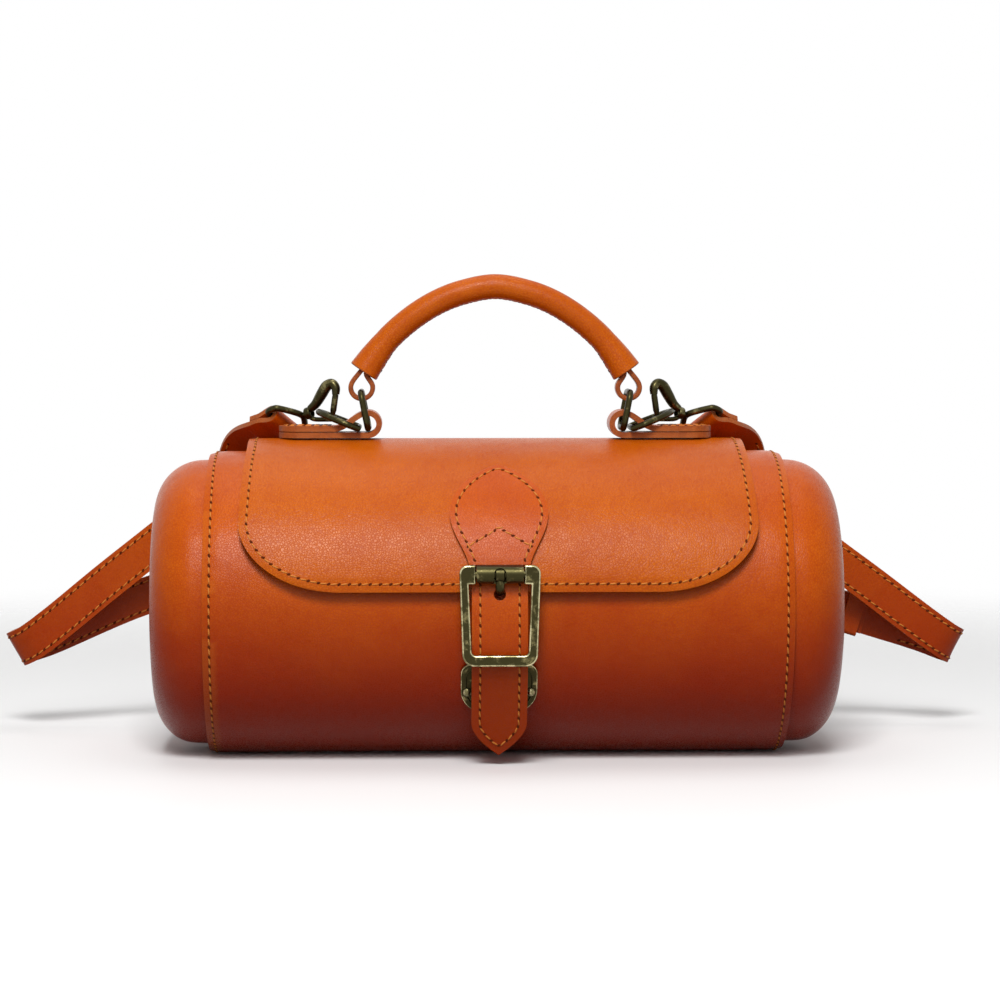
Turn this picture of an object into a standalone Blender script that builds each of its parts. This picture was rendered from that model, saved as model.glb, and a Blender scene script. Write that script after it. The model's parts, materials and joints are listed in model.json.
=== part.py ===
# Barrel handbag in leather, with a flap, a buckled closure strap, a top handle and a shoulder strap.
# Units are metres, +Z is up, and the front of the bag faces -Y.
# The origin is the middle of the flat strip that the barrel rests on.

import math

import bmesh
import bpy
from mathutils import Matrix, Vector

# Clearance between pieces that touch
GAP = 0.0003

# Barrel
BARREL_LENGTH = 0.213
BARREL_RADIUS = 0.057
BASE_FLAT = 0.002            # how far the underside is flattened
PANEL_WALL = 0.003
HOOP_STEPS = 44
CAP_STEPS = 36
LINING_WALL = 0.001
MOUTH_LENGTH = 0.166
MOUTH_OPENING = 0.036
MOUTH_ANGLE = math.radians(50.5)
MOUTH_CORNER = 0.009

# End caps, moulded cups whose flange sits inside the panel
CAP_REACH = 0.022
CAP_FILLET = 0.0175
CAP_DOME = 0.0009
CAP_WALL = 0.0022
CAP_FLANGE = 0.012
BOARD_WALL = 0.0015
BOARD_MARGIN = 0.0025

# Flap, measured along its outer face from the lip
FLAP_WALL = 0.0028
FLAP_LINING_WALL = 0.0012
FLAP_HALF_WIDTH = 0.0945
FLAP_TOP_HALF_WIDTH = 0.0920
FLAP_CORNER_WIDTH = 0.0305
FLAP_CORNER_HEIGHT = 0.0229
FLAP_LIP_ANGLE = math.radians(8.4)
FLAP_HINGE_FORWARD = 0.0175
FLAP_LINING_INSET = 0.004
ROOT_SETBACK = 0.0025
ROOT_END_ANGLE = math.radians(142)

# Closure tab, a stitched teardrop on the flap
TAB_WALL = 0.0022
TAB_LOWER_ANGLE = math.radians(17.1)
TAB_NECK_HALF = 0.0110
TAB_HALF_WIDTH = 0.0177
TAB_NECK_LENGTH = 0.020
TAB_CROWN_LENGTH = 0.0231
LEAF_CLEARANCE = 0.0003

# Closure strap, buckled under the tab and snapped to the catch
STRAP_WALL = 0.0022
STRAP_HALF_WIDTH = 0.010
STRAP_TOP_ANGLE = math.radians(14.6)
STRAP_TIP_LENGTH = 0.0185
STRAP_FLAT_LENGTH = 0.008      # straight stretch above the middle of the catch
STRAP_TIP_HEIGHT = 0.0042
STRAP_HOLE_RADIUS = 0.0022

# Buckle
BUCKLE_WIDTH = 0.029
BUCKLE_FOOT_WIDTH = 0.027
BUCKLE_PITCH = 0.0308        # from the top bar's axis to the bottom bar's middle
BUCKLE_SIDE_BAR = 0.0034
BUCKLE_FOOT_BAR = 0.0040
BUCKLE_THICKNESS = 0.0030
BUCKLE_CORNER = 0.0045
BUCKLE_AXLE_RADIUS = 0.0015
SLEEVE_RADIUS = 0.00325
SLEEVE_HALF_LENGTH = 0.0083
SLEEVE_NOTCH_HALF = 0.0022
BUCKLE_ANGLE = math.radians(13.5)
LEAF_WALL = 0.0008
LEAF_LENGTH = 0.012
LEAF_ROOT = (0.0022, 0.0010)  # depth below the axle and rise round the barrel, as for the others
LEAF_BEND = (0.0004, 0.0030)
LEAF_TURN_RISE = 0.0041
LEAF_SEAT_RISE = 0.0052
PRONG_RADIUS = 0.00095
PRONG_RING_RADIUS = 0.0027
PRONG_HALF_WIDTH = 0.0017
PRONG_LINE = ((0.0, 0.0021), (0.0003, 0.0038), (0.0015, 0.0054))  # depth and fall from the axle
PRONG_TIP_ANGLE = math.radians(7.6)

# Catch on the barrel, behind the closure strap
CATCH_ANGLE = math.radians(-27)
CATCH_WIDTH = 0.0276
CATCH_LENGTH = 0.0208
CATCH_WALL = 0.0012
CATCH_RIVET_SPREAD = 0.0114
CATCH_RIVET_RADIUS = 0.0017
CATCH_RIVET_DROP = 0.0015
CATCH_RIVET_HEIGHT = 0.0011
SNAP_RADIUS = 0.0075
SNAP_THICKNESS = 0.0020

# Folded leather tabs on top, which hold the link rings and D-rings
ANCHOR_SHEET = 0.0021
ANCHOR_WIDTH = 0.016
ANCHOR_OUTER_X = 0.081
ANCHOR_LOOP_X = 0.0476
ANCHOR_LOOP_RADIUS = 0.0031  # inside the loop
ANCHOR_CLOSE_X = 0.0600

# Link rings between the tabs and the handle
WIRE_RADIUS = 0.0012
LINK_PITCH = 0.0136
LINK_LEAN = math.radians(11)
LINK_SIDE = 0.0096
LINK_CORNER = 0.0030

# D-rings
D_BAR_SPACING = 0.0036
D_HALF_WIDTH = 0.0123
D_DEPTH = 0.0160

# Handle
HANDLE_RISE = 0.0528         # from the link rings' lower bars to the handle's middle at its top
HANDLE_PATH = ((0.0, 0.0), (0.0120, 0.0021), (0.0210, 0.0055), (0.0300, 0.0109),
               (0.0390, 0.0185), (0.0450, 0.0257), (0.0492, 0.0318))
HANDLE_RADIUS = 0.0047
HANDLE_END_RADIUS = 0.0059
HANDLE_WALL = 0.0014
HANDLE_CORE_RADIUS = 0.0029
HANDLE_CORE_INSET = 0.014
LOOP_SHEET = 0.0018
LOOP_WIDTH = 0.0064
LOOP_RADIUS = 0.0032         # inside the loop
LOOP_ENTRY = 0.0030          # how far the loop's ends reach into the handle

# Swivel hooks, drawn in the plane of each hook around the D-ring's wire
HOOK_STATION = math.radians(25)
HOOK_LIFT = 0.0012           # of the hook's foot above the tab
HOOK_BACK = ((-0.0056, 0.0079, 0.0011), (-0.0055, 0.0096, 0.0013), (-0.0040, 0.0111, 0.0015),
             (-0.0018, 0.0103, 0.0018), (0.0008, 0.0068, 0.0019), (0.0032, 0.0034, 0.0019),
             (0.0056, 0.0014, 0.0015))
HOOK_FOOT = ((-0.0022, -0.0024), (0.0036, -0.0024), (0.0050, -0.0020), (0.0060, -0.0014))
HOOK_FOOT_RADIUS = 0.0009
FORK_SIZE = (0.0033, 0.0032, 0.0024)
FORK_BRIDGE = 0.0006
GATE_PIVOT = (-0.0040, -0.0020)
GATE_TOP = (-0.0055, 0.0070)
GATE_EYE_RADIUS = 0.0012
GATE_EYE_HALF = 0.0007
GATE_PIN_RADIUS = 0.0005
GATE_RADIUS = 0.0007
SWIVEL_DROP = math.radians(18)
SWIVEL_CENTRE = (0.0062, -0.0001)
SWIVEL_RADIUS = 0.0023
SWIVEL_HALF = 0.0013
SWIVEL_LIP = 0.0008          # outer lip that holds the stem's head
STEM_RADIUS = 0.0010
STEM_HEAD_RADIUS = 0.0014
STEM_HEAD_WALL = 0.0007
EYE_BAR = 0.0130             # from the middle of the swivel to the far bar
EYE_OUTLINE = ((0.0032, 0.0), (0.0037, 0.0019), (0.0076, 0.0080), (0.0088, 0.0092),
               (0.0115, 0.0092), (0.01255, 0.00875), (EYE_BAR, 0.0077))
EYE_ROLL = math.radians(32)

# Shoulder strap, a band whose stations are its middle and its width direction
SHOULDER_WALL = 0.0020
SHOULDER_HALF_WIDTH = 0.0073
EYE_FOLD_LENGTH = 0.0095
BUCKLE_FOLD_LENGTH = 0.016
FOLD_TURNS = (-20, 15, 52, 90, 128, 165, 200)
RIGHT_ROUTE = ((0.0968, 0.0330, 0.1125, 0.62, -0.60, 0.50),
               (0.1022, 0.0446, 0.0985, 0.64, -0.50, 0.58),
               (0.1135, 0.0497, 0.0860, 0.62, -0.25, 0.72),
               (0.1280, 0.0517, 0.0728, 0.61, -0.05, 0.79),
               (0.1500, 0.0530, 0.0563, 0.60, 0.0, 0.80),
               (0.1720, 0.0545, 0.0397, 0.60, 0.0, 0.80),
               (0.1805, 0.0570, 0.0338, 0.55, 0.0, 0.83),
               (0.1842, 0.0612, 0.0316, 0.45, 0.0, 0.89),
               (0.1815, 0.0660, 0.0322, 0.35, 0.0, 0.94),
               (0.1740, 0.0682, 0.0350, 0.292, 0.0, 0.956))
LEFT_ROUTE = ((-0.0968, 0.0330, 0.1125, -0.62, -0.60, 0.50),
              (-0.1022, 0.0446, 0.0990, -0.64, -0.50, 0.58),
              (-0.1135, 0.0499, 0.0880, -0.62, -0.25, 0.72),
              (-0.1280, 0.0519, 0.0765, -0.62, -0.05, 0.78),
              (-0.1500, 0.0530, 0.0592, -0.627, 0.0, 0.779),
              (-0.1720, 0.0545, 0.0412, -0.627, 0.0, 0.779),
              (-0.1822, 0.0570, 0.0337, -0.58, 0.0, 0.81),
              (-0.1872, 0.0614, 0.0312, -0.50, 0.0, 0.87),
              (-0.1845, 0.0662, 0.0322, -0.44, 0.0, 0.90),
              (-0.1760, 0.0680, 0.0350, -0.41, 0.0, 0.91),
              (-0.1380, 0.0690, 0.0510, -0.38, 0.0, 0.92),
              (-0.1000, 0.0695, 0.0610, -0.15, 0.0, 0.99),
              (-0.0500, 0.0700, 0.0650, 0.0, 0.0, 1.0),
              (0.0, 0.0700, 0.0660, 0.0, 0.0, 1.0),
              (0.0500, 0.0695, 0.0650, 0.02, 0.0, 1.0),
              (0.0900, 0.0685, 0.0590, 0.20, 0.0, 0.98))

# Buckle of the shoulder strap, along the strap and outward from the bar
BAND_BUCKLE_PLACE = Vector((0.1345, 0.0675, 0.0473))
BAND_BUCKLE_SLOPE = math.radians(17)
BAND_BUCKLE_PITCH = 0.0150
BAND_BUCKLE_HALF = 0.0096
BAND_BUCKLE_WIRE = 0.0011
BAND_BUCKLE_CORNER = 0.0019
BAND_TIP_ROUTE = ((0.0200, -0.0022), (0.0150, -0.00245), (0.0110, -0.0015), (0.0070, 0.0014),
                  (0.0035, 0.0039), (0.0, 0.0048), (-0.0030, 0.0044), (-0.0065, 0.0036),
                  (-0.0110, 0.00345), (-0.0240, 0.00345))
BAND_PRONG_RADIUS = 0.0007
BAND_PRONG_EYE = 0.0021
BAND_PRONG_HALF = 0.0009
BAND_PRONG_TIP = 0.0162
BAND_SLOT_LENGTH = 0.0084
BAND_SLOT_PLACE = 0.0060
KEEPER_WALL = 0.0013
KEEPER_LENGTH = 0.007
KEEPER_PLACE = 0.0105        # along the short strap from the buckle's bar
KEEPER_HALF_HEIGHT = 0.0040

AXIS_HEIGHT = BARREL_RADIUS - BASE_FLAT
PANEL_BORE = BARREL_RADIUS - PANEL_WALL
CAP_RADIUS = PANEL_BORE - GAP
LINING_IN = CAP_RADIUS - LINING_WALL
FLAP_IN = BARREL_RADIUS + FLAP_LINING_WALL + 2 * GAP
FLAP_OUT = FLAP_IN + FLAP_WALL
HINGE_RADIUS = FLAP_IN + FLAP_WALL / 2
HINGE_ANGLE = math.radians(90) - math.asin(FLAP_HINGE_FORWARD / HINGE_RADIUS)
FLAP_ARC = (HINGE_ANGLE - FLAP_LIP_ANGLE) * FLAP_OUT
TAB_IN = FLAP_OUT + GAP
TAB_OUT = TAB_IN + TAB_WALL
STRAP_IN = FLAP_OUT + GAP
STRAP_OUT = STRAP_IN + STRAP_WALL
SLEEVE_DISTANCE = STRAP_OUT + GAP + SLEEVE_RADIUS
CATCH_IN = BARREL_RADIUS + GAP
CATCH_OUT = CATCH_IN + CATCH_WALL
CATCH_STRAP_IN = CATCH_OUT + 3 * GAP + 2 * SNAP_THICKNESS
ANCHOR_BASE = AXIS_HEIGHT + FLAP_OUT + GAP
ANCHOR_TOP = ANCHOR_BASE + 2 * ANCHOR_SHEET + GAP
ANCHOR_LOOP_Z = ANCHOR_BASE + ANCHOR_SHEET + ANCHOR_LOOP_RADIUS
LINK_BASE = Vector((ANCHOR_LOOP_X, 0, ANCHOR_BASE + ANCHOR_SHEET + GAP + WIRE_RADIUS))
LINK_TOP = LINK_BASE + LINK_PITCH * Vector((math.sin(LINK_LEAN), 0, math.cos(LINK_LEAN)))
D_BAR = LINK_BASE + Vector((D_BAR_SPACING, 0, 0))
FOOT_HEIGHT = ANCHOR_TOP + HOOK_LIFT + HOOK_FOOT_RADIUS
D_WIRE_HEIGHT = FOOT_HEIGHT + HOOK_FOOT_RADIUS + GAP + WIRE_RADIUS
D_RISE = math.asin((D_WIRE_HEIGHT - D_BAR.z) / (D_DEPTH * math.cos(HOOK_STATION)))

LEATHER = ((0.58, 0.115, 0.004), 0.42, 0.0)
LEATHER_EDGE = ((0.36, 0.105, 0.028), 0.55, 0.0)
SUEDE = ((0.30, 0.13, 0.05), 0.9, 0.0)
BOARD = ((0.20, 0.12, 0.06), 0.9, 0.0)
ROPE = ((0.45, 0.36, 0.25), 0.95, 0.0)
BRASS = ((0.16, 0.13, 0.055), 0.34, 1.0)
STEEL = ((0.45, 0.45, 0.43), 0.35, 1.0)


def clear_scene():
    """Remove the objects that a new file starts with."""
    for thing in list(bpy.data.objects):
        bpy.data.objects.remove(thing, do_unlink=True)


def make_collection(name):
    """Link a new collection to the scene."""
    group = bpy.data.collections.new(name)
    bpy.context.scene.collection.children.link(group)
    return group


clear_scene()
PARTS = make_collection("barrel_handbag")
CUTTERS = make_collection("cutters")


def make_material(name, finish):
    """A Principled material from a colour, a roughness and a metallic value."""
    colour, roughness, metallic = finish
    material = bpy.data.materials.new(name + "_finish")
    material.use_nodes = True
    shader = material.node_tree.nodes["Principled BSDF"]
    shader.inputs["Base Color"].default_value = (*colour, 1)
    shader.inputs["Roughness"].default_value = roughness
    shader.inputs["Metallic"].default_value = metallic
    return material


def add_part(name, mesh, finish, smooth=True):
    """Place a mesh in the model as a named sub-part with its own material."""
    part = bpy.data.objects.new(name, mesh)
    mesh.name = name
    mesh.materials.clear()
    mesh.materials.append(make_material(name, finish))
    if smooth:
        mesh.shade_smooth()
        mesh.set_sharp_from_angle(angle=math.radians(35))
    PARTS.objects.link(part)
    return part


def add_cutter(name, mesh):
    """Place a mesh among the cutters, where it isn't part of the model."""
    cutter = bpy.data.objects.new(name, mesh)
    cutter.hide_render = True
    cutter.display_type = "WIRE"
    CUTTERS.objects.link(cutter)
    return cutter


def cut(part, cutter, operation="DIFFERENCE"):
    """Cut a part with a cutter, or join the cutter's shape to it."""
    modifier = part.modifiers.new(cutter.name, "BOOLEAN")
    modifier.operation = operation
    modifier.object = cutter


def join(part, name, mesh):
    """Join another closed shape to a part, so that they are one solid."""
    cut(part, add_cutter(name, mesh), "UNION")


def solidify(part, wall, offset=0.0):
    """Give an open surface its wall."""
    modifier = part.modifiers.new("wall", "SOLIDIFY")
    modifier.thickness = wall
    modifier.offset = offset
    modifier.use_even_offset = True


def bevel(part, width, segments=1, angle=40):
    """Round the edges of a part."""
    modifier = part.modifiers.new("edges", "BEVEL")
    modifier.width = width
    modifier.segments = segments
    modifier.limit_method = "ANGLE"
    modifier.angle_limit = math.radians(angle)


def finish_mesh(shape, name):
    """Turn a bmesh into a mesh."""
    mesh = bpy.data.meshes.new(name)
    shape.to_mesh(mesh)
    shape.free()
    return mesh


def evaluated_mesh(thing):
    """The welded mesh of a temporary object, which is then removed."""
    bpy.context.scene.collection.objects.link(thing)
    graph = bpy.context.evaluated_depsgraph_get()
    mesh = bpy.data.meshes.new_from_object(thing.evaluated_get(graph))
    shape = bmesh.new()
    shape.from_mesh(mesh)
    bmesh.ops.remove_doubles(shape, verts=shape.verts, dist=0.00001)
    shape.to_mesh(mesh)
    shape.free()
    bpy.data.objects.remove(thing, do_unlink=True)
    return mesh


def box_mesh(size, matrix):
    """A box of the given size, placed by a matrix."""
    shape = bmesh.new()
    bmesh.ops.create_cube(shape, size=1)
    bmesh.ops.scale(shape, vec=size, verts=shape.verts)
    bmesh.ops.transform(shape, matrix=matrix, verts=shape.verts)
    return finish_mesh(shape, "box")


def along(direction):
    """A rotation that turns +Z to a direction."""
    return Vector(direction).to_track_quat("Z", "Y").to_matrix().to_4x4()


def cylinder_mesh(radius, length, centre, direction, segments=16, tip_radius=None):
    """A cylinder or a cone around a centre, along a direction."""
    shape = bmesh.new()
    far_radius = radius if tip_radius is None else tip_radius
    bmesh.ops.create_cone(shape, cap_ends=True, segments=segments, radius1=radius,
                          radius2=far_radius, depth=length)
    placed = Matrix.Translation(centre) @ along(direction)
    bmesh.ops.transform(shape, matrix=placed, verts=shape.verts)
    return finish_mesh(shape, "cylinder")


def curve_data(points, cyclic, radii=None):
    """A 3D poly curve through points, with a radius factor at each."""
    data = bpy.data.curves.new("path", "CURVE")
    data.dimensions = "3D"
    spline = data.splines.new("POLY")
    spline.points.add(len(points) - 1)
    for index, point in enumerate(points):
        spline.points[index].co = (*point, 1)
        spline.points[index].radius = 1 if radii is None else radii[index]
    spline.use_cyclic_u = cyclic
    return data


def tube_mesh(points, radius, cyclic=False, radii=None, resolution=2, caps=True):
    """A round bar along a line of points."""
    data = curve_data(points, cyclic, radii)
    data.bevel_depth = radius
    data.bevel_resolution = resolution
    data.use_fill_caps = caps
    return evaluated_mesh(bpy.data.objects.new("bar", data))


def plate_mesh(outlines, thickness, matrix):
    """A flat plate from outlines in its own XY plane, the later ones holes."""
    data = bpy.data.curves.new("outline", "CURVE")
    data.dimensions = "2D"
    data.fill_mode = "BOTH"
    data.extrude = thickness / 2
    for outline in outlines:
        spline = data.splines.new("POLY")
        spline.points.add(len(outline) - 1)
        for index, (x, y) in enumerate(outline):
            spline.points[index].co = (x, y, 0, 1)
        spline.use_cyclic_u = True
    mesh = evaluated_mesh(bpy.data.objects.new("plate", data))
    mesh.transform(matrix)
    return mesh


def ribbon_mesh(rail_a, rail_b):
    """The open surface between two rails with as many points each."""
    shape = bmesh.new()
    first = [shape.verts.new(point) for point in rail_a]
    second = [shape.verts.new(point) for point in rail_b]
    for index in range(len(first) - 1):
        shape.faces.new((first[index], second[index], second[index + 1], first[index + 1]))
    return finish_mesh(shape, "ribbon")


def through(points, steps):
    """Points along the smooth curve through a few given points, with steps to each span."""
    points = [Vector(point) for point in points]
    ends = [2 * points[0] - points[1]] + points + [2 * points[-1] - points[-2]]
    fine = []
    for index in range(len(points) - 1):
        before, start, end, after = ends[index:index + 4]
        for step in range(steps):
            t = step / steps
            fine.append(0.5 * (2 * start + (end - before) * t
                               + (2 * before - 5 * start + 4 * end - after) * t ** 2
                               + (3 * start - before - 3 * end + after) * t ** 3))
    return fine + [points[-1]]


def smooth_path(points, count):
    """Even points along the smooth curve through a few given points."""
    fine = through(points, 16)
    travelled = [0.0]
    for index in range(1, len(fine)):
        travelled.append(travelled[-1] + (fine[index] - fine[index - 1]).length)
    even = []
    place = 1
    for step in range(count):
        target = travelled[-1] * step / (count - 1)
        while place < len(fine) - 1 and travelled[place] < target:
            place += 1
        span = travelled[place] - travelled[place - 1]
        share = (target - travelled[place - 1]) / span
        even.append(fine[place - 1].lerp(fine[place], min(share, 1)))
    return even


def arc_points(centre, radius, start, end, steps):
    """Points of an arc in a plane, as pairs."""
    turns = [start + (end - start) * step / steps for step in range(steps + 1)]
    return [(centre[0] + radius * math.cos(turn), centre[1] + radius * math.sin(turn))
            for turn in turns]


def rounded_outline(width_low, width_high, low, high, corner, steps=4):
    """An outline symmetric about its Y axis, with rounded corners."""
    half_low = width_low / 2 - corner
    half_high = width_high / 2 - corner
    quarter = math.pi / 2
    points = arc_points((half_low, low + corner), corner, -quarter, 0, steps)
    points += arc_points((half_high, high - corner), corner, 0, quarter, steps)
    points += arc_points((-half_high, high - corner), corner, quarter, 2 * quarter, steps)
    points += arc_points((-half_low, low + corner), corner, 2 * quarter, 3 * quarter, steps)
    return points


def on_barrel(radius, angle, x=0.0):
    """A point at a distance from the barrel's axis, the angle rising from the front."""
    return Vector((x, -radius * math.cos(angle), AXIS_HEIGHT + radius * math.sin(angle)))


def outward(angle):
    """The direction away from the barrel's axis at an angle."""
    return Vector((0, -math.cos(angle), math.sin(angle)))


def barrel_frame(radius, angle, x=0.0):
    """A frame that lies on the barrel: X along it, Y up round it and Z outward."""
    normal = outward(angle)
    rise = Vector((0, math.sin(angle), math.cos(angle)))
    frame = Matrix((Vector((1, 0, 0)), rise, normal)).transposed().to_4x4()
    return Matrix.Translation(on_barrel(radius, angle, x)) @ frame


def pivot(name, location, parent=None):
    """An empty on a joint's axis, which may hang from another one."""
    empty = bpy.data.objects.new(name, None)
    empty.empty_display_size = 0.01
    PARTS.objects.link(empty)
    empty.location = location
    if parent is not None:
        empty.parent = parent
        empty.matrix_parent_inverse = Matrix.Translation(-Vector(parent["place"]))
    empty["place"] = Vector(location)
    return empty


def hang(part, empty):
    """Parent a part to a joint's empty and leave the part where it is."""
    part.parent = empty
    part.matrix_parent_inverse = Matrix.Translation(-Vector(empty["place"]))


# Barrel: panel, lining, end caps and the boards that stiffen them

def hoop_points(radius, flat_height, x):
    """Points round the barrel at one station, flattened at the given height."""
    drop = AXIS_HEIGHT - flat_height
    half_flat = math.acos(drop / radius)
    first = -math.pi / 2 + half_flat
    sweep = 2 * math.pi - 2 * half_flat
    return [on_barrel(radius, math.pi - (first + sweep * step / HOOP_STEPS), x)
            for step in range(HOOP_STEPS + 1)]


def hoop_mesh(radius, flat_height, length):
    """The open outer surface of a hoop that is flattened below."""
    left = hoop_points(radius, flat_height, -length / 2)
    right = hoop_points(radius, flat_height, length / 2)
    left.append(left[0])
    right.append(right[0])
    mesh = ribbon_mesh(left, right)
    shape = bmesh.new()
    shape.from_mesh(mesh)
    bmesh.ops.remove_doubles(shape, verts=shape.verts, dist=0.00001)
    face_away(shape)
    return finish_mesh(shape, "hoop")


def face_away(shape, centre=Vector((0, 0, AXIS_HEIGHT))):
    """Turn the faces of an open surface away from a centre."""
    bmesh.ops.recalc_face_normals(shape, faces=shape.faces)
    leaning = sum((face.calc_center_median() - centre).dot(face.normal) * face.calc_area()
                  for face in shape.faces)
    if leaning < 0:
        bmesh.ops.reverse_faces(shape, faces=shape.faces)


def mouth_cutter(name):
    """A rounded block that opens the barrel under the flap."""
    reach = 0.030
    frame = barrel_frame(BARREL_RADIUS, MOUTH_ANGLE)
    outline = rounded_outline(MOUTH_LENGTH, MOUTH_LENGTH, -MOUTH_OPENING / 2, MOUTH_OPENING / 2,
                              MOUTH_CORNER)
    return add_cutter(name, plate_mesh([outline], reach, frame))


def build_barrel():
    """The wrapped panel with its mouth, and the lining inside it."""
    panel = add_part("barrel_panel", hoop_mesh(BARREL_RADIUS, 0.0, BARREL_LENGTH), LEATHER)
    solidify(panel, PANEL_WALL, -1)
    cut(panel, mouth_cutter("panel_mouth"))
    lining_length = BARREL_LENGTH - 2 * (CAP_FLANGE + GAP)
    lining = add_part("barrel_lining", hoop_mesh(CAP_RADIUS, PANEL_WALL + GAP, lining_length), SUEDE)
    solidify(lining, LINING_WALL, -1)
    cut(lining, mouth_cutter("lining_mouth"))


def cap_mesh(side):
    """The outer surface of one moulded end, flattened underneath like the panel."""
    edge = BARREL_LENGTH / 2
    face = edge + CAP_REACH - CAP_DOME
    fillet = (face - CAP_FILLET, CAP_RADIUS - CAP_FILLET)
    profile = [(edge - CAP_FLANGE, CAP_RADIUS), (edge, CAP_RADIUS)]
    profile += arc_points(fillet, CAP_FILLET, math.pi / 2, 0, 6)
    profile += [(face + CAP_DOME * 0.7, fillet[1] * 0.5), (face + CAP_DOME, 0)]
    shape = bmesh.new()
    line = [shape.verts.new((side * x, 0, r)) for x, r in profile]
    edges = [shape.edges.new(pair) for pair in zip(line, line[1:])]
    bmesh.ops.spin(shape, geom=line + edges, cent=(0, 0, 0), axis=(1, 0, 0),
                   angle=2 * math.pi, steps=CAP_STEPS, use_duplicate=False)
    bmesh.ops.remove_doubles(shape, verts=shape.verts, dist=0.00001)
    floor = PANEL_WALL + GAP - AXIS_HEIGHT
    for vert in shape.verts:
        vert.co.z = max(vert.co.z, floor)
    bmesh.ops.translate(shape, vec=(0, 0, AXIS_HEIGHT), verts=shape.verts)
    face_away(shape)
    return finish_mesh(shape, "cap")


def build_ends():
    """The moulded end caps and the round boards behind their faces."""
    for side, word in ((-1, "left"), (1, "right")):
        cap = add_part("end_cap_" + word, cap_mesh(side), LEATHER)
        solidify(cap, CAP_WALL, -1)
        board_x = BARREL_LENGTH / 2 + CAP_REACH - CAP_DOME - CAP_WALL - GAP - BOARD_WALL / 2
        board_radius = CAP_RADIUS - CAP_FILLET - BOARD_MARGIN
        centre = Vector((side * board_x, 0, AXIS_HEIGHT))
        disc = cylinder_mesh(board_radius, BOARD_WALL, centre, (1, 0, 0), 32)
        add_part("end_board_" + word, disc, BOARD)


# Flap: the fixed root on top, the hinged panel and its lining

def flap_half_width(travel):
    """Half the flap's width at a distance round the barrel from its lip."""
    taper = (FLAP_HALF_WIDTH - FLAP_TOP_HALF_WIDTH) * min(travel / FLAP_ARC, 1)
    half = FLAP_HALF_WIDTH - taper
    if travel < FLAP_CORNER_HEIGHT:
        share = 1 - travel / FLAP_CORNER_HEIGHT
        half -= FLAP_CORNER_WIDTH * (1 - math.sqrt(1 - share * share))
    return half


def rolled_sheet(radius, rows):
    """An open sheet on the barrel from rows of an angle and a half width."""
    left = [on_barrel(radius, angle, -half) for angle, half in rows]
    right = [on_barrel(radius, angle, half) for angle, half in rows]
    mesh = ribbon_mesh(left, right)
    shape = bmesh.new()
    shape.from_mesh(mesh)
    face_away(shape)
    return finish_mesh(shape, "sheet")


def flap_rows(first, last, inset=0.0):
    """Rows of the flap's outline between two distances from its lip."""
    corner_steps = 9
    straight_steps = 14
    travels = [FLAP_CORNER_HEIGHT * (1 - math.cos(math.pi / 2 * step / corner_steps))
               for step in range(corner_steps)]
    travels += [FLAP_CORNER_HEIGHT + (FLAP_ARC - FLAP_CORNER_HEIGHT) * step / straight_steps
                for step in range(straight_steps + 1)]
    kept = [first] + [travel for travel in travels if first < travel < last] + [last]
    return [(FLAP_LIP_ANGLE + travel / FLAP_OUT, flap_half_width(travel) - inset)
            for travel in kept]


def build_flap(hinge):
    """The flap's fixed root, its hinged panel and the lining under the panel."""
    root_start = HINGE_ANGLE + ROOT_SETBACK / HINGE_RADIUS
    steps = 14
    root_rows = [(root_start + (ROOT_END_ANGLE - root_start) * step / steps, FLAP_TOP_HALF_WIDTH)
                 for step in range(steps + 1)]
    root = add_part("flap_root", rolled_sheet(FLAP_OUT, root_rows), LEATHER)
    solidify(root, FLAP_OUT - BARREL_RADIUS - GAP, -1)

    panel = add_part("flap_panel", rolled_sheet(FLAP_OUT, flap_rows(0, FLAP_ARC)), LEATHER)
    solidify(panel, FLAP_WALL, -1)
    hang(panel, hinge)

    lining_rows = flap_rows(FLAP_LINING_INSET / 2, FLAP_ARC - FLAP_LINING_INSET, FLAP_LINING_INSET / 2)
    lining_out = BARREL_RADIUS + GAP + FLAP_LINING_WALL
    lining = add_part("flap_lining", rolled_sheet(lining_out, lining_rows), SUEDE)
    solidify(lining, FLAP_LINING_WALL, -1)
    hang(lining, hinge)


# Closure: the tab on the flap, the buckle, its strap and the catch behind it

def tab_half_width(travel):
    """Half the teardrop tab's width at a distance above its lower end."""
    if travel < TAB_NECK_LENGTH:
        swell = math.sin(math.pi / 2 * travel / TAB_NECK_LENGTH) ** 1.4
        return TAB_NECK_HALF + (TAB_HALF_WIDTH - TAB_NECK_HALF) * swell
    share = (travel - TAB_NECK_LENGTH) / TAB_CROWN_LENGTH
    return max(TAB_HALF_WIDTH * math.cos(math.pi / 2 * share), TAB_WALL / 6)


def leaf_mesh(half_width):
    """The curved leaf that runs from the sleeve to its seat under the tab."""
    turn = 1 / STRAP_OUT
    seat = TAB_IN + LEAF_WALL / 2
    path = [(SLEEVE_DISTANCE - LEAF_ROOT[0], LEAF_ROOT[1]), (STRAP_OUT - LEAF_BEND[0], LEAF_BEND[1]),
            (TAB_IN + LEAF_WALL * 1.3, LEAF_TURN_RISE), (seat, LEAF_SEAT_RISE),
            (seat, LEAF_SEAT_RISE + LEAF_LENGTH / 2), (seat, LEAF_SEAT_RISE + LEAF_LENGTH)]
    left = [on_barrel(radius, BUCKLE_ANGLE + rise * turn, -half_width) for radius, rise in path]
    right = [on_barrel(radius, BUCKLE_ANGLE + rise * turn, half_width) for radius, rise in path]
    return ribbon_mesh(left, right)


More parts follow.
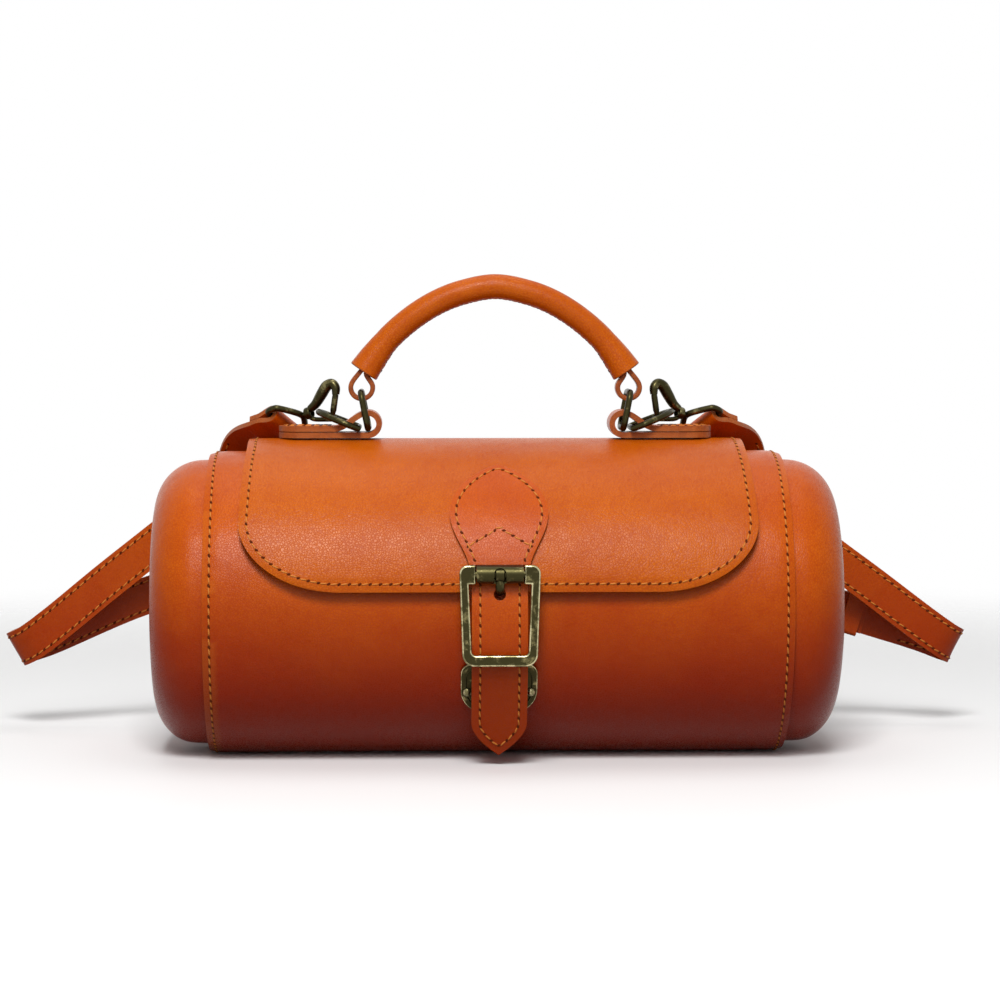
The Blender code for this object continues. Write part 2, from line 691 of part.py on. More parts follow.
def build_tab(hinge):
    """The teardrop tab, hollowed underneath for the leaf."""
    steps = 7
    travels = [TAB_NECK_LENGTH * step / steps for step in range(steps)]
    travels += [TAB_NECK_LENGTH + TAB_CROWN_LENGTH * step / steps for step in range(steps + 1)]
    middle = (TAB_IN + TAB_OUT) / 2
    rows = [(TAB_LOWER_ANGLE + travel / middle, tab_half_width(travel)) for travel in travels]
    tab = add_part("closure_tab", rolled_sheet(TAB_OUT, rows), LEATHER)
    solidify(tab, TAB_WALL, -1)
    seat = add_cutter("leaf_seat", leaf_mesh(SLEEVE_HALF_LENGTH + LEAF_CLEARANCE))
    solidify(seat, LEAF_WALL + 2 * LEAF_CLEARANCE)
    cut(tab, seat)
    hang(tab, hinge)


def strap_radius(angle):
    """Distance of the closure strap's middle from the barrel's axis at an angle."""
    upper = STRAP_IN + STRAP_WALL / 2
    catch = CATCH_STRAP_IN + STRAP_WALL / 2
    lower = math.hypot(catch, STRAP_FLAT_LENGTH)
    lower_angle = CATCH_ANGLE + math.atan(STRAP_FLAT_LENGTH / catch)
    share = (STRAP_TOP_ANGLE - angle) / (STRAP_TOP_ANGLE - lower_angle)
    share = min(max(share, 0), 1)
    return upper + (lower - upper) * share ** 2 * (3 - 2 * share)


def strap_line():
    """Points down the middle of the closure strap in the plane of symmetry."""
    catch_middle = on_barrel(CATCH_STRAP_IN + STRAP_WALL / 2, CATCH_ANGLE)
    lower_angle = CATCH_ANGLE + math.atan(STRAP_FLAT_LENGTH / (CATCH_STRAP_IN + STRAP_WALL / 2))
    steps = 14
    line = []
    for step in range(steps):
        angle = STRAP_TOP_ANGLE + (lower_angle - STRAP_TOP_ANGLE) * step / steps
        line.append(on_barrel(strap_radius(angle), angle))
    rise = Vector((0, math.sin(CATCH_ANGLE), math.cos(CATCH_ANGLE)))
    tip = catch_middle + rise * (STRAP_TIP_HEIGHT - catch_middle.z) / rise.z
    line.append(catch_middle + rise * STRAP_FLAT_LENGTH)
    line.append(tip + rise * STRAP_TIP_LENGTH)
    tip_steps = 6
    for step in range(1, tip_steps + 1):
        left = STRAP_TIP_LENGTH * (1 - step / tip_steps) ** 1.5
        line.append(tip + rise * left)
    return line


def build_closure_strap(hinge):
    """The pointed strap with its prong hole, and the snap disc on its back."""
    line = strap_line()
    tip = line[-1]
    halves = []
    for point in line:
        left = min((point - tip).length / STRAP_TIP_LENGTH, 1)
        halves.append(max(STRAP_HALF_WIDTH * math.sin(math.pi / 2 * left), STRAP_WALL / 6))
    left_rail = [point - Vector((half, 0, 0)) for point, half in zip(line, halves)]
    right_rail = [point + Vector((half, 0, 0)) for point, half in zip(line, halves)]
    strap = add_part("closure_strap", ribbon_mesh(left_rail, right_rail), LEATHER)
    solidify(strap, STRAP_WALL)
    hole = cylinder_mesh(STRAP_HOLE_RADIUS, 4 * STRAP_WALL,
                         on_barrel(strap_radius(PRONG_TIP_ANGLE), PRONG_TIP_ANGLE),
                         outward(PRONG_TIP_ANGLE), 12)
    cut(strap, add_cutter("strap_hole", hole))
    hang(strap, hinge)
    disc_middle = on_barrel(CATCH_STRAP_IN - GAP - SNAP_THICKNESS / 2, CATCH_ANGLE)
    disc = cylinder_mesh(SNAP_RADIUS, SNAP_THICKNESS, disc_middle, outward(CATCH_ANGLE), 24)
    snap = add_part("snap_disc", disc, BRASS)
    hang(snap, hinge)


def build_sleeve(hinge):
    """The sleeve that carries the buckle's axle, with its leaf under the tab."""
    centre = on_barrel(SLEEVE_DISTANCE, BUCKLE_ANGLE)
    length = 2 * SLEEVE_HALF_LENGTH
    sleeve = add_part("buckle_sleeve", cylinder_mesh(SLEEVE_RADIUS, length, centre, (1, 0, 0), 20), BRASS)
    leaf = add_cutter("sleeve_leaf", leaf_mesh(SLEEVE_HALF_LENGTH))
    solidify(leaf, LEAF_WALL)
    cut(sleeve, leaf, "UNION")
    bore = cylinder_mesh(BUCKLE_AXLE_RADIUS + GAP, length * 1.2, centre, (1, 0, 0), 16)
    cut(sleeve, add_cutter("sleeve_bore", bore))
    notch = cylinder_mesh(SLEEVE_RADIUS + GAP, 2 * SLEEVE_NOTCH_HALF, centre, (1, 0, 0), 20)
    cut(sleeve, add_cutter("sleeve_notch", notch))
    hang(sleeve, hinge)


def buckle_foot():
    """The middle of the buckle's bottom bar, where it rests on the strap."""
    top = on_barrel(SLEEVE_DISTANCE, BUCKLE_ANGLE)
    high, low = 0.0, -BUCKLE_ANGLE * 2.5
    for _ in range(40):
        angle = (high + low) / 2
        lift = BUCKLE_FOOT_BAR / 2 * math.sin(abs(angle)) + BUCKLE_THICKNESS / 2 + GAP
        foot = on_barrel(strap_radius(angle) + STRAP_WALL / 2 + lift, angle)
        if (foot - top).length < BUCKLE_PITCH:
            high = angle
        else:
            low = angle
    return foot


def build_buckle(hinge):
    """The buckle's frame and the prong, which turn on the same axle."""
    top = on_barrel(SLEEVE_DISTANCE, BUCKLE_ANGLE)
    rise = (top - buckle_foot()).normalized()
    across = Vector((1, 0, 0))
    rotation = Matrix((across, rise, across.cross(rise))).transposed().to_4x4()
    frame = Matrix.Translation(top) @ rotation
    foot_edge = -BUCKLE_PITCH - BUCKLE_FOOT_BAR / 2
    outer = rounded_outline(BUCKLE_FOOT_WIDTH, BUCKLE_WIDTH, foot_edge, SLEEVE_RADIUS, BUCKLE_CORNER)
    window = rounded_outline(BUCKLE_FOOT_WIDTH - 2 * BUCKLE_SIDE_BAR, BUCKLE_WIDTH - 2 * BUCKLE_SIDE_BAR,
                             -BUCKLE_PITCH + BUCKLE_FOOT_BAR / 2, -SLEEVE_RADIUS - GAP,
                             BUCKLE_CORNER / 3, 2)
    buckle = add_part("buckle_frame", plate_mesh([outer, window], BUCKLE_THICKNESS, frame), BRASS)
    bevel(buckle, BUCKLE_THICKNESS / 6)
    slot_size = (2 * (SLEEVE_HALF_LENGTH + GAP), 4 * SLEEVE_RADIUS, 3 * BUCKLE_THICKNESS)
    slot_frame = frame @ Matrix.Translation((0, SLEEVE_RADIUS / 2, 0))
    cut(buckle, add_cutter("buckle_slot", box_mesh(slot_size, slot_frame)))
    axle_length = 2 * SLEEVE_HALF_LENGTH + BUCKLE_SIDE_BAR
    join(buckle, "buckle_axle", cylinder_mesh(BUCKLE_AXLE_RADIUS, axle_length, top, across, 16))
    frame_pivot = pivot("buckle_frame_hinge", top, hinge)
    hang(buckle, frame_pivot)

    ring = cylinder_mesh(PRONG_RING_RADIUS, 2 * PRONG_HALF_WIDTH, top, across, 20)
    prong = add_part("buckle_prong", ring, BRASS)
    turn = 1 / SLEEVE_DISTANCE
    path = [on_barrel(SLEEVE_DISTANCE - depth, BUCKLE_ANGLE - fall * turn)
            for depth, fall in PRONG_LINE]
    path.append(on_barrel(STRAP_IN + STRAP_WALL / 3, PRONG_TIP_ANGLE))
    tongue = tube_mesh(path, PRONG_RADIUS, radii=(1.3, 1.3, 1.15, 0.85))
    join(prong, "prong_tongue", tongue)
    bore = cylinder_mesh(BUCKLE_AXLE_RADIUS + GAP, PRONG_HALF_WIDTH * 3, top, across, 16)
    cut(prong, add_cutter("prong_bore", bore))
    prong_pivot = pivot("buckle_prong_hinge", top, hinge)
    hang(prong, prong_pivot)


def build_catch():
    """The riveted shield plate on the barrel and the magnet on it."""
    middle = barrel_frame(CATCH_IN + CATCH_WALL / 2, CATCH_ANGLE)
    top = CATCH_LENGTH / 2
    corner = CATCH_LENGTH / 5
    shoulder = -CATCH_LENGTH / 20
    foot_half = CATCH_WIDTH / 5
    half = CATCH_WIDTH / 2
    right = []
    steps = 6
    for step in range(steps + 1):
        turn = math.pi / 2 * (1 - step / steps)
        x = foot_half + (half - foot_half) * math.cos(turn)
        right.append((x, shoulder - (top + shoulder) * math.sin(turn)))
    right += arc_points((half - corner, top - corner), corner, 0, math.pi / 2, 4)
    left = [(-x, y) for x, y in reversed(right)]
    plate = add_part("catch_plate", plate_mesh([right + left], CATCH_WALL, middle), BRASS)
    bevel(plate, CATCH_WALL / 4)
    rivet_lift = CATCH_OUT + GAP + CATCH_RIVET_HEIGHT / 2
    for side, word in ((-1, "left"), (1, "right")):
        place = barrel_frame(rivet_lift, CATCH_ANGLE, side * CATCH_RIVET_SPREAD)
        centre = place @ Vector((0, -CATCH_RIVET_DROP, 0))
        head = cylinder_mesh(CATCH_RIVET_RADIUS, CATCH_RIVET_HEIGHT, centre, outward(CATCH_ANGLE), 14)
        rivet = add_part("catch_rivet_" + word, head, BRASS)
        bevel(rivet, CATCH_RIVET_HEIGHT * 0.45, 2)
    disc_middle = on_barrel(CATCH_OUT + GAP + SNAP_THICKNESS / 2, CATCH_ANGLE)
    disc = cylinder_mesh(SNAP_RADIUS, SNAP_THICKNESS, disc_middle, outward(CATCH_ANGLE), 24)
    add_part("catch_magnet", disc, BRASS)


# Anchor tabs, rings and handle

def mirrored(side, point):
    """A point of the right half, moved to the asked side."""
    return Vector((side * point[0], point[1], point[2]))


def anchor_half(x):
    """Half an anchor tab's width, rounded at its outer end."""
    half = ANCHOR_WIDTH / 2
    past = x - (ANCHOR_OUTER_X - half)
    if past <= 0:
        return half
    return max(math.sqrt(max(half * half - past * past, 0)), ANCHOR_SHEET / 4)


def build_anchor(side, word):
    """A leather tab folded round the bars of its two rings."""
    lower = ANCHOR_BASE + ANCHOR_SHEET / 2
    upper = lower + ANCHOR_SHEET + GAP
    half = ANCHOR_WIDTH / 2
    round_steps = 5
    rounded = [ANCHOR_OUTER_X - half + half * math.sin(math.pi / 2 * step / round_steps)
               for step in range(round_steps, -1, -1)]
    line = [(x, lower) for x in rounded]
    radius = ANCHOR_LOOP_RADIUS + ANCHOR_SHEET / 2
    line += arc_points((ANCHOR_LOOP_X, ANCHOR_LOOP_Z), radius, -math.pi / 2, -math.pi * 1.5, 8)
    fall_steps = 5
    top = ANCHOR_LOOP_Z + radius
    for step in range(1, fall_steps + 1):
        share = step / fall_steps
        x = ANCHOR_LOOP_X + (ANCHOR_CLOSE_X - ANCHOR_LOOP_X) * share
        line.append((x, upper + (top - upper) * (1 + math.cos(math.pi * share)) / 2))
    line += [(x, upper) for x in reversed(rounded)]
    front = [mirrored(side, (x, -anchor_half(x), z)) for x, z in line]
    back = [mirrored(side, (x, anchor_half(x), z)) for x, z in line]
    tab = add_part("anchor_tab_" + word, ribbon_mesh(front, back), LEATHER)
    solidify(tab, ANCHOR_SHEET)


def build_link(side, word):
    """The rounded rectangular ring between a tab and the handle."""
    lean = (LINK_TOP - LINK_BASE).normalized()
    outline = rounded_outline(2 * LINK_SIDE, 2 * LINK_SIDE, 0, LINK_PITCH, LINK_CORNER, 3)
    line = [mirrored(side, LINK_BASE + lean * rise + Vector((0, across, 0)))
            for across, rise in outline]
    ring = add_part("link_ring_" + word, tube_mesh(line, WIRE_RADIUS, cyclic=True), BRASS)
    hinge = pivot("link_hinge_" + word, mirrored(side, LINK_BASE))
    hang(ring, hinge)
    return hinge


def d_point(turn):
    """A point of the D-ring's bow at an angle from its top."""
    depth = D_DEPTH * math.cos(turn)
    across = Vector((0, D_HALF_WIDTH * math.sin(turn), 0))
    return D_BAR + across + depth * Vector((math.cos(D_RISE), 0, math.sin(D_RISE)))


def build_d_ring(side, word):
    """The D-ring whose straight bar shares the tab's loop with the link."""
    last = math.radians(76)
    steps = 12
    bar_half = Vector((0, D_HALF_WIDTH - 1.6 * WIRE_RADIUS, 0))
    bow = [d_point(-last + 2 * last * step / steps) for step in range(steps + 1)]
    line = [mirrored(side, point) for point in [D_BAR - bar_half] + bow + [D_BAR + bar_half]]
    ring = add_part("d_ring_" + word, tube_mesh(line, WIRE_RADIUS, cyclic=True), BRASS)
    hang(ring, pivot("d_ring_hinge_" + word, mirrored(side, D_BAR)))


def handle_line(count):
    """Points along the middle of the handle, from left to right."""
    right = [Vector((x, 0, LINK_BASE.z + HANDLE_RISE - drop)) for x, drop in HANDLE_PATH]
    left = [mirrored(-1, point) for point in reversed(right[1:])]
    return smooth_path(left + right, count)


def build_handle(hinge):
    """The leather tube, the cord inside it and the loops at its ends."""
    line = handle_line(25)
    flare = []
    for point in line:
        near = min((point - line[0]).length, (point - line[-1]).length)
        share = max(1 - near / HANDLE_CORE_INSET, 0)
        radius = HANDLE_RADIUS + (HANDLE_END_RADIUS - HANDLE_RADIUS) * share
        flare.append(radius / HANDLE_RADIUS)
    cover = add_part("handle_cover", tube_mesh(line, HANDLE_RADIUS, radii=flare, caps=False,
                                               resolution=3), LEATHER)
    solidify(cover, HANDLE_WALL, -1)
    hang(cover, hinge)
    inner = [point for point in handle_line(45)
             if (point - line[0]).length > HANDLE_CORE_INSET
             and (point - line[-1]).length > HANDLE_CORE_INSET]
    core = add_part("handle_core", tube_mesh(inner[::2], HANDLE_CORE_RADIUS), ROPE)
    hang(core, hinge)
    for side, word in ((-1, "left"), (1, "right")):
        build_handle_loop(side, word, line[-1], (line[-1] - line[-2]).normalized(), hinge)


def build_handle_loop(side, word, end, along_end, hinge):
    """A strip looped round a link's upper bar, with both ends in the handle."""
    centre = LINK_TOP + (end - LINK_TOP).normalized() * (LOOP_RADIUS - WIRE_RADIUS - GAP)
    across = Vector((along_end.z, 0, -along_end.x)) * (LOOP_SHEET + GAP) / 2
    toward = centre - end
    heading = math.atan2(toward.z, toward.x)
    sweep = math.radians(112)
    radius = LOOP_RADIUS + LOOP_SHEET / 2
    round_bar = arc_points((centre.x, centre.z), radius, heading - sweep, heading + sweep, 8)
    inside = end - along_end * LOOP_ENTRY
    points = [inside + across, end + across]
    points += [Vector((x, 0, z)) for x, z in round_bar]
    points += [end - across, inside - across]
    line = through(points, 2)
    half = Vector((0, LOOP_WIDTH / 2, 0))
    front = [mirrored(side, point - half) for point in line]
    back = [mirrored(side, point + half) for point in line]
    loop = add_part("handle_loop_" + word, ribbon_mesh(front, back), LEATHER)
    solidify(loop, LOOP_SHEET)
    hang(loop, hinge)


# Swivel hooks and the eyes that carry the shoulder strap

HOOK_ORIGIN = d_point(HOOK_STATION)
HOOK_UP = Vector((0, 0, 1))
HOOK_ALONG = Vector((math.cos(HOOK_STATION) / (D_DEPTH * math.cos(D_RISE)),
                     math.sin(HOOK_STATION) / D_HALF_WIDTH, 0)).normalized()
HOOK_NORMAL = HOOK_ALONG.cross(HOOK_UP)
HOOK_TURN = Matrix((HOOK_ALONG, -HOOK_NORMAL, HOOK_UP)).transposed().to_4x4()


def side_mesh(side, mesh):
    """A mesh of the right half, mirrored when it belongs to the left one."""
    if side < 0:
        mesh.transform(Matrix.Scale(-1, 4, Vector((1, 0, 0))))
        mesh.flip_normals()
    return mesh


def hook_point(spot):
    """A point in the plane of the right hook, measured from the D-ring's wire."""
    return HOOK_ORIGIN + HOOK_ALONG * spot[0] + HOOK_UP * spot[1]


SWIVEL_PLACE = hook_point(SWIVEL_CENTRE)
SWIVEL_ALONG = HOOK_ALONG * math.cos(SWIVEL_DROP) - HOOK_UP * math.sin(SWIVEL_DROP)
SWIVEL_RISE = HOOK_NORMAL.cross(SWIVEL_ALONG)
EYE_ACROSS = HOOK_NORMAL * math.cos(EYE_ROLL) + SWIVEL_RISE * math.sin(EYE_ROLL)
EYE_NORMAL = EYE_ACROSS.cross(SWIVEL_ALONG)
EYE_CENTRE = SWIVEL_PLACE + SWIVEL_ALONG * EYE_BAR


def hook_box(low, high, half):
    """A box in the hook's plane between two corners, and as far to both sides of it."""
    middle = [(low[axis] + high[axis]) / 2 for axis in (0, 1)]
    size = (high[0] - low[0], 2 * half, high[1] - low[1])
    return box_mesh(size, Matrix.Translation(hook_point(middle)) @ HOOK_TURN)


def build_hook(side, word, hinge):
    """The cast body of a swivel hook: back, foot, fork and swivel barrel."""
    spots = through(HOOK_BACK, 2)
    back = tube_mesh([hook_point(spot) for spot in spots], HOOK_FOOT_RADIUS,
                     radii=[spot.z / HOOK_FOOT_RADIUS for spot in spots])
    body = add_part("hook_body_" + word, side_mesh(side, back), BRASS)
    foot = tube_mesh([hook_point(spot) for spot in HOOK_FOOT], HOOK_FOOT_RADIUS)
    join(body, "hook_foot_" + word, side_mesh(side, foot))
    barrel = cylinder_mesh(SWIVEL_RADIUS, 2 * SWIVEL_HALF, SWIVEL_PLACE, SWIVEL_ALONG, 14)
    join(body, "hook_barrel_" + word, side_mesh(side, barrel))
    eye_edge = GATE_PIVOT[0] + GATE_EYE_RADIUS + GAP
    fork_high = (eye_edge + FORK_BRIDGE, GATE_PIVOT[1] + FORK_SIZE[2] / 2)
    fork_low = (fork_high[0] - FORK_SIZE[0], GATE_PIVOT[1] - FORK_SIZE[2] / 2)
    fork = hook_box(fork_low, fork_high, FORK_SIZE[1] / 2)
    join(body, "hook_fork_" + word, side_mesh(side, fork))
    slot_low = (fork_low[0] - FORK_SIZE[0], fork_low[1] - FORK_SIZE[2])
    slot = hook_box(slot_low, (eye_edge, fork_high[1] + FORK_SIZE[2]), GATE_EYE_HALF + GAP)
    cut(body, add_cutter("hook_slot_" + word, side_mesh(side, slot)))
    pin = cylinder_mesh(GATE_PIN_RADIUS, FORK_SIZE[1] - FORK_BRIDGE, hook_point(GATE_PIVOT),
                        HOOK_NORMAL, 8)
    join(body, "hook_pin_" + word, side_mesh(side, pin))
    bore = cylinder_mesh(STEM_RADIUS + GAP, 2 * SWIVEL_HALF,
                         SWIVEL_PLACE + SWIVEL_ALONG * SWIVEL_HALF, SWIVEL_ALONG, 14)
    cut(body, add_cutter("hook_bore_" + word, side_mesh(side, bore)))
    lip = SWIVEL_HALF - SWIVEL_LIP
    pocket = cylinder_mesh(STEM_HEAD_RADIUS + GAP, 3 * SWIVEL_HALF,
                           SWIVEL_PLACE + SWIVEL_ALONG * (lip - 1.5 * SWIVEL_HALF),
                           SWIVEL_ALONG, 14)
    cut(body, add_cutter("hook_pocket_" + word, side_mesh(side, pocket)))
    hang(body, hinge)


def build_gate(side, word, hinge):
    """The sprung gate that closes the hook, turning on the fork's pin."""
    centre = hook_point(GATE_PIVOT)
    tip = hook_point(GATE_TOP)
    start = centre + (tip - centre).normalized() * (GATE_PIN_RADIUS + 2 * GAP)
    rod = tube_mesh([start, tip], GATE_RADIUS)
    gate = add_part("hook_gate_" + word, side_mesh(side, rod), BRASS)
    eye = cylinder_mesh(GATE_EYE_RADIUS, 2 * GATE_EYE_HALF, centre, HOOK_NORMAL, 12)
    join(gate, "gate_eye_" + word, side_mesh(side, eye))
    hole = cylinder_mesh(GATE_PIN_RADIUS + GAP, 4 * GATE_EYE_HALF, centre, HOOK_NORMAL, 12)
    cut(gate, add_cutter("gate_hole_" + word, side_mesh(side, hole)))
    hang(gate, hinge)


def build_eye(side, word, hinge):
    """The wire eye of the shoulder strap, with its stem through the swivel."""
    half = list(EYE_OUTLINE)
    outline = half + [(along_eye, -across) for along_eye, across in reversed(half[1:])]
    line = [SWIVEL_PLACE + SWIVEL_ALONG * along_eye + EYE_ACROSS * across
            for along_eye, across in outline]
    eye = add_part("hook_eye_" + word,
                   side_mesh(side, tube_mesh(line, WIRE_RADIUS, cyclic=True)), BRASS)
    head_top = SWIVEL_HALF - SWIVEL_LIP - GAP
    length = EYE_OUTLINE[0][0] - head_top
    stem = cylinder_mesh(STEM_RADIUS, length, SWIVEL_PLACE + SWIVEL_ALONG
                         * (head_top + length / 2), SWIVEL_ALONG, 10)
    join(eye, "eye_stem_" + word, side_mesh(side, stem))
    head_middle = head_top - STEM_HEAD_WALL / 2
    head = cylinder_mesh(STEM_HEAD_RADIUS, STEM_HEAD_WALL, SWIVEL_PLACE + SWIVEL_ALONG
                         * (head_middle + GAP / 10), SWIVEL_ALONG, 10)
    join(eye, "eye_head_" + word, side_mesh(side, head))
    hang(eye, hinge)


# Shoulder strap

BAND_ALONG = Vector((-math.cos(BAND_BUCKLE_SLOPE), 0, math.sin(BAND_BUCKLE_SLOPE)))
BAND_ACROSS = Vector((math.sin(BAND_BUCKLE_SLOPE), 0, math.cos(BAND_BUCKLE_SLOPE)))
BAND_OUT = Vector((0, 1, 0))
BAND_TURN = Matrix((BAND_ACROSS, BAND_OUT, BAND_ALONG)).transposed().to_4x4()


def band_point(along_band, out):
    """A point at the shoulder strap's buckle, measured from its hinge bar."""
    return BAND_BUCKLE_PLACE + BAND_ALONG * along_band + BAND_OUT * out


def fold_stations(centre, width, toward, tail_side, bar_radius, tail):
    """Stations of a folded end, from the end of the tail round a bar to the main layer."""
    radius = bar_radius + GAP + SHOULDER_WALL / 2 + GAP / 6
    layer = (SHOULDER_WALL + GAP) / 2
    settled = 2.1 * radius
    points = [centre + toward * reach + tail_side * layer
              for reach in (tail, (tail + settled) / 2, settled)]
    for turn in FOLD_TURNS:
        angle = math.radians(turn)
        points.append(centre + radius * (tail_side * math.cos(angle) - toward * math.sin(angle)))
    points += [centre + toward * reach - tail_side * layer for reach in (settled, tail)]
    return [(point, width) for point in points]


def route_stations(route):
    """Stations from a list of middles and width directions."""
    return [(Vector(spot[:3]), Vector(spot[3:])) for spot in route]


def band_mesh(stations):
    """The middle surface of the band through its stations."""
    middles = through([station[0] for station in stations], 2)
    widths = through([station[1] for station in stations], 2)
    last = len(middles) - 1
    upper = []
    lower = []
    for index, middle in enumerate(middles):
        ahead = (middles[min(index + 1, last)] - middles[max(index - 1, 0)]).normalized()
        across = widths[index] - ahead * ahead.dot(widths[index])
        across = across.normalized() * SHOULDER_HALF_WIDTH
        upper.append(middle + across)
        lower.append(middle - across)
    return ribbon_mesh(upper, lower)


def eye_fold(side):
    """The stations of the strap's end round the bar of an eye."""
    return fold_stations(mirrored(side, EYE_CENTRE), mirrored(side, EYE_ACROSS),
                         mirrored(side, SWIVEL_ALONG), mirrored(side, EYE_NORMAL), WIRE_RADIUS,
                         EYE_FOLD_LENGTH)


def build_short_strap(hinge):
    """The right part of the shoulder strap, which carries the buckle."""
    buckle_end = fold_stations(BAND_BUCKLE_PLACE, BAND_ACROSS, -BAND_ALONG, -BAND_OUT,
                               BAND_BUCKLE_WIRE, BUCKLE_FOLD_LENGTH)
    layer = (SHOULDER_WALL + GAP) / 2
    straight = [(band_point(reach, layer), BAND_ACROSS) for reach in (-0.032, -0.024)]
    stations = eye_fold(1) + route_stations(RIGHT_ROUTE) + straight + buckle_end[::-1]
    strap = add_part("shoulder_strap_short", band_mesh(stations), LEATHER)
    solidify(strap, SHOULDER_WALL)
    slot = box_mesh((2 * (BAND_PRONG_HALF + GAP), 0.009, 0.0075),
                    Matrix.Translation(band_point(0.0008, 0)) @ BAND_TURN)
    cut(strap, add_cutter("short_strap_slot", slot))
    hang(strap, hinge)


def build_long_strap(hinge):
    """The left part of the shoulder strap, whose tip runs through the buckle."""
    tip = [(band_point(along_band, out), BAND_ACROSS) for along_band, out in BAND_TIP_ROUTE]
    stations = eye_fold(-1) + route_stations(LEFT_ROUTE) + tip
    strap = add_part("shoulder_strap_long", band_mesh(stations), LEATHER)
    solidify(strap, SHOULDER_WALL)
    slot = box_mesh((2 * (BAND_PRONG_HALF + GAP), 0.009, BAND_SLOT_LENGTH),
                    Matrix.Translation(band_point(BAND_SLOT_PLACE, 0.0020)) @ BAND_TURN)
    cut(strap, add_cutter("long_strap_slot", slot))
    hang(strap, hinge)


def build_keeper(hinge):
    """The leather loop that holds the tip against the short strap."""
    half = SHOULDER_HALF_WIDTH + GAP
    outer = rounded_outline(2 * (half + KEEPER_WALL), 2 * (half + KEEPER_WALL),
                            -KEEPER_HALF_HEIGHT - KEEPER_WALL,
                            KEEPER_HALF_HEIGHT + KEEPER_WALL, KEEPER_WALL, 2)
    inner = rounded_outline(2 * half, 2 * half, -KEEPER_HALF_HEIGHT, KEEPER_HALF_HEIGHT,
                            GAP, 1)
    placed = Matrix.Translation(band_point(-KEEPER_PLACE, (SHOULDER_WALL + GAP) / 2))
    keeper = add_part("strap_keeper", plate_mesh([outer, inner], KEEPER_LENGTH,
                                                 placed @ BAND_TURN), LEATHER)
    hang(keeper, hinge)


def build_band_buckle(hinge):
    """The wire frame and the prong of the shoulder strap's buckle."""
    outline = rounded_outline(2 * BAND_BUCKLE_HALF, 2 * BAND_BUCKLE_HALF, 0,
                              BAND_BUCKLE_PITCH, BAND_BUCKLE_CORNER, 3)
    line = [band_point(rise, 0) + BAND_ACROSS * across for across, rise in outline]
    frame = add_part("strap_buckle_frame", tube_mesh(line, BAND_BUCKLE_WIRE, cyclic=True),
                     BRASS)
    frame_hinge = pivot("strap_buckle_hinge", BAND_BUCKLE_PLACE, hinge)
    hang(frame, frame_hinge)
    rest = BAND_BUCKLE_WIRE + GAP + BAND_PRONG_RADIUS
    ring_middle = BAND_PRONG_EYE - BAND_PRONG_RADIUS / 2
    rod = tube_mesh([band_point(0, ring_middle), band_point(BAND_PRONG_TIP, rest)],
                    BAND_PRONG_RADIUS)
    prong = add_part("strap_buckle_prong", rod, BRASS)
    ring = cylinder_mesh(BAND_PRONG_EYE, 2 * BAND_PRONG_HALF, BAND_BUCKLE_PLACE, BAND_ACROSS)
    join(prong, "band_prong_ring", ring)
    hole = cylinder_mesh(BAND_BUCKLE_WIRE + GAP, 4 * BAND_PRONG_HALF, BAND_BUCKLE_PLACE,
                         BAND_ACROSS)
    cut(prong, add_cutter("band_prong_hole", hole))
    hang(prong, pivot("strap_prong_hinge", BAND_BUCKLE_PLACE, frame_hinge))


build_barrel()
build_ends()
FLAP_HINGE = pivot("flap_hinge", on_barrel(HINGE_RADIUS, HINGE_ANGLE))
build_flap(FLAP_HINGE)
build_tab(FLAP_HINGE)
build_closure_strap(FLAP_HINGE)
build_sleeve(FLAP_HINGE)
build_buckle(FLAP_HINGE)
build_catch()
for SIDE, WORD in ((-1, "left"), (1, "right")):
    build_anchor(SIDE, WORD)
    build_d_ring(SIDE, WORD)
LINK_LEFT = build_link(-1, "left")
build_link(1, "right")
HANDLE_HINGE = pivot("handle_hinge", mirrored(-1, LINK_TOP), LINK_LEFT)
build_handle(HANDLE_HINGE)
BAND_HINGE = pivot("shoulder_strap_hinge",
                   (0, HOOK_ORIGIN.y, HOOK_ORIGIN.z - WIRE_RADIUS - GAP / 2))
for SIDE, WORD in ((-1, "left"), (1, "right")):
    SWIVEL_HINGE = pivot("hook_swivel_" + WORD, mirrored(SIDE, SWIVEL_PLACE), BAND_HINGE)
    GATE_HINGE = pivot("hook_gate_hinge_" + WORD, mirrored(SIDE, hook_point(GATE_PIVOT)),
                       SWIVEL_HINGE)
    build_eye(SIDE, WORD, BAND_HINGE)
    build_hook(SIDE, WORD, SWIVEL_HINGE)
    build_gate(SIDE, WORD, GATE_HINGE)
build_short_strap(BAND_HINGE)
build_long_strap(BAND_HINGE)
build_keeper(BAND_HINGE)
build_band_buckle(BAND_HINGE)
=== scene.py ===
"""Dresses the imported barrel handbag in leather, thread and antiqued brass, in a plain studio."""

from __future__ import annotations

import json
import logging
import math
from dataclasses import dataclass
from enum import Enum
from typing import Callable, Sequence

import bmesh  # noqa: E402
import bpy  # noqa: E402
from mathutils import Matrix, Vector, noise  # noqa: E402

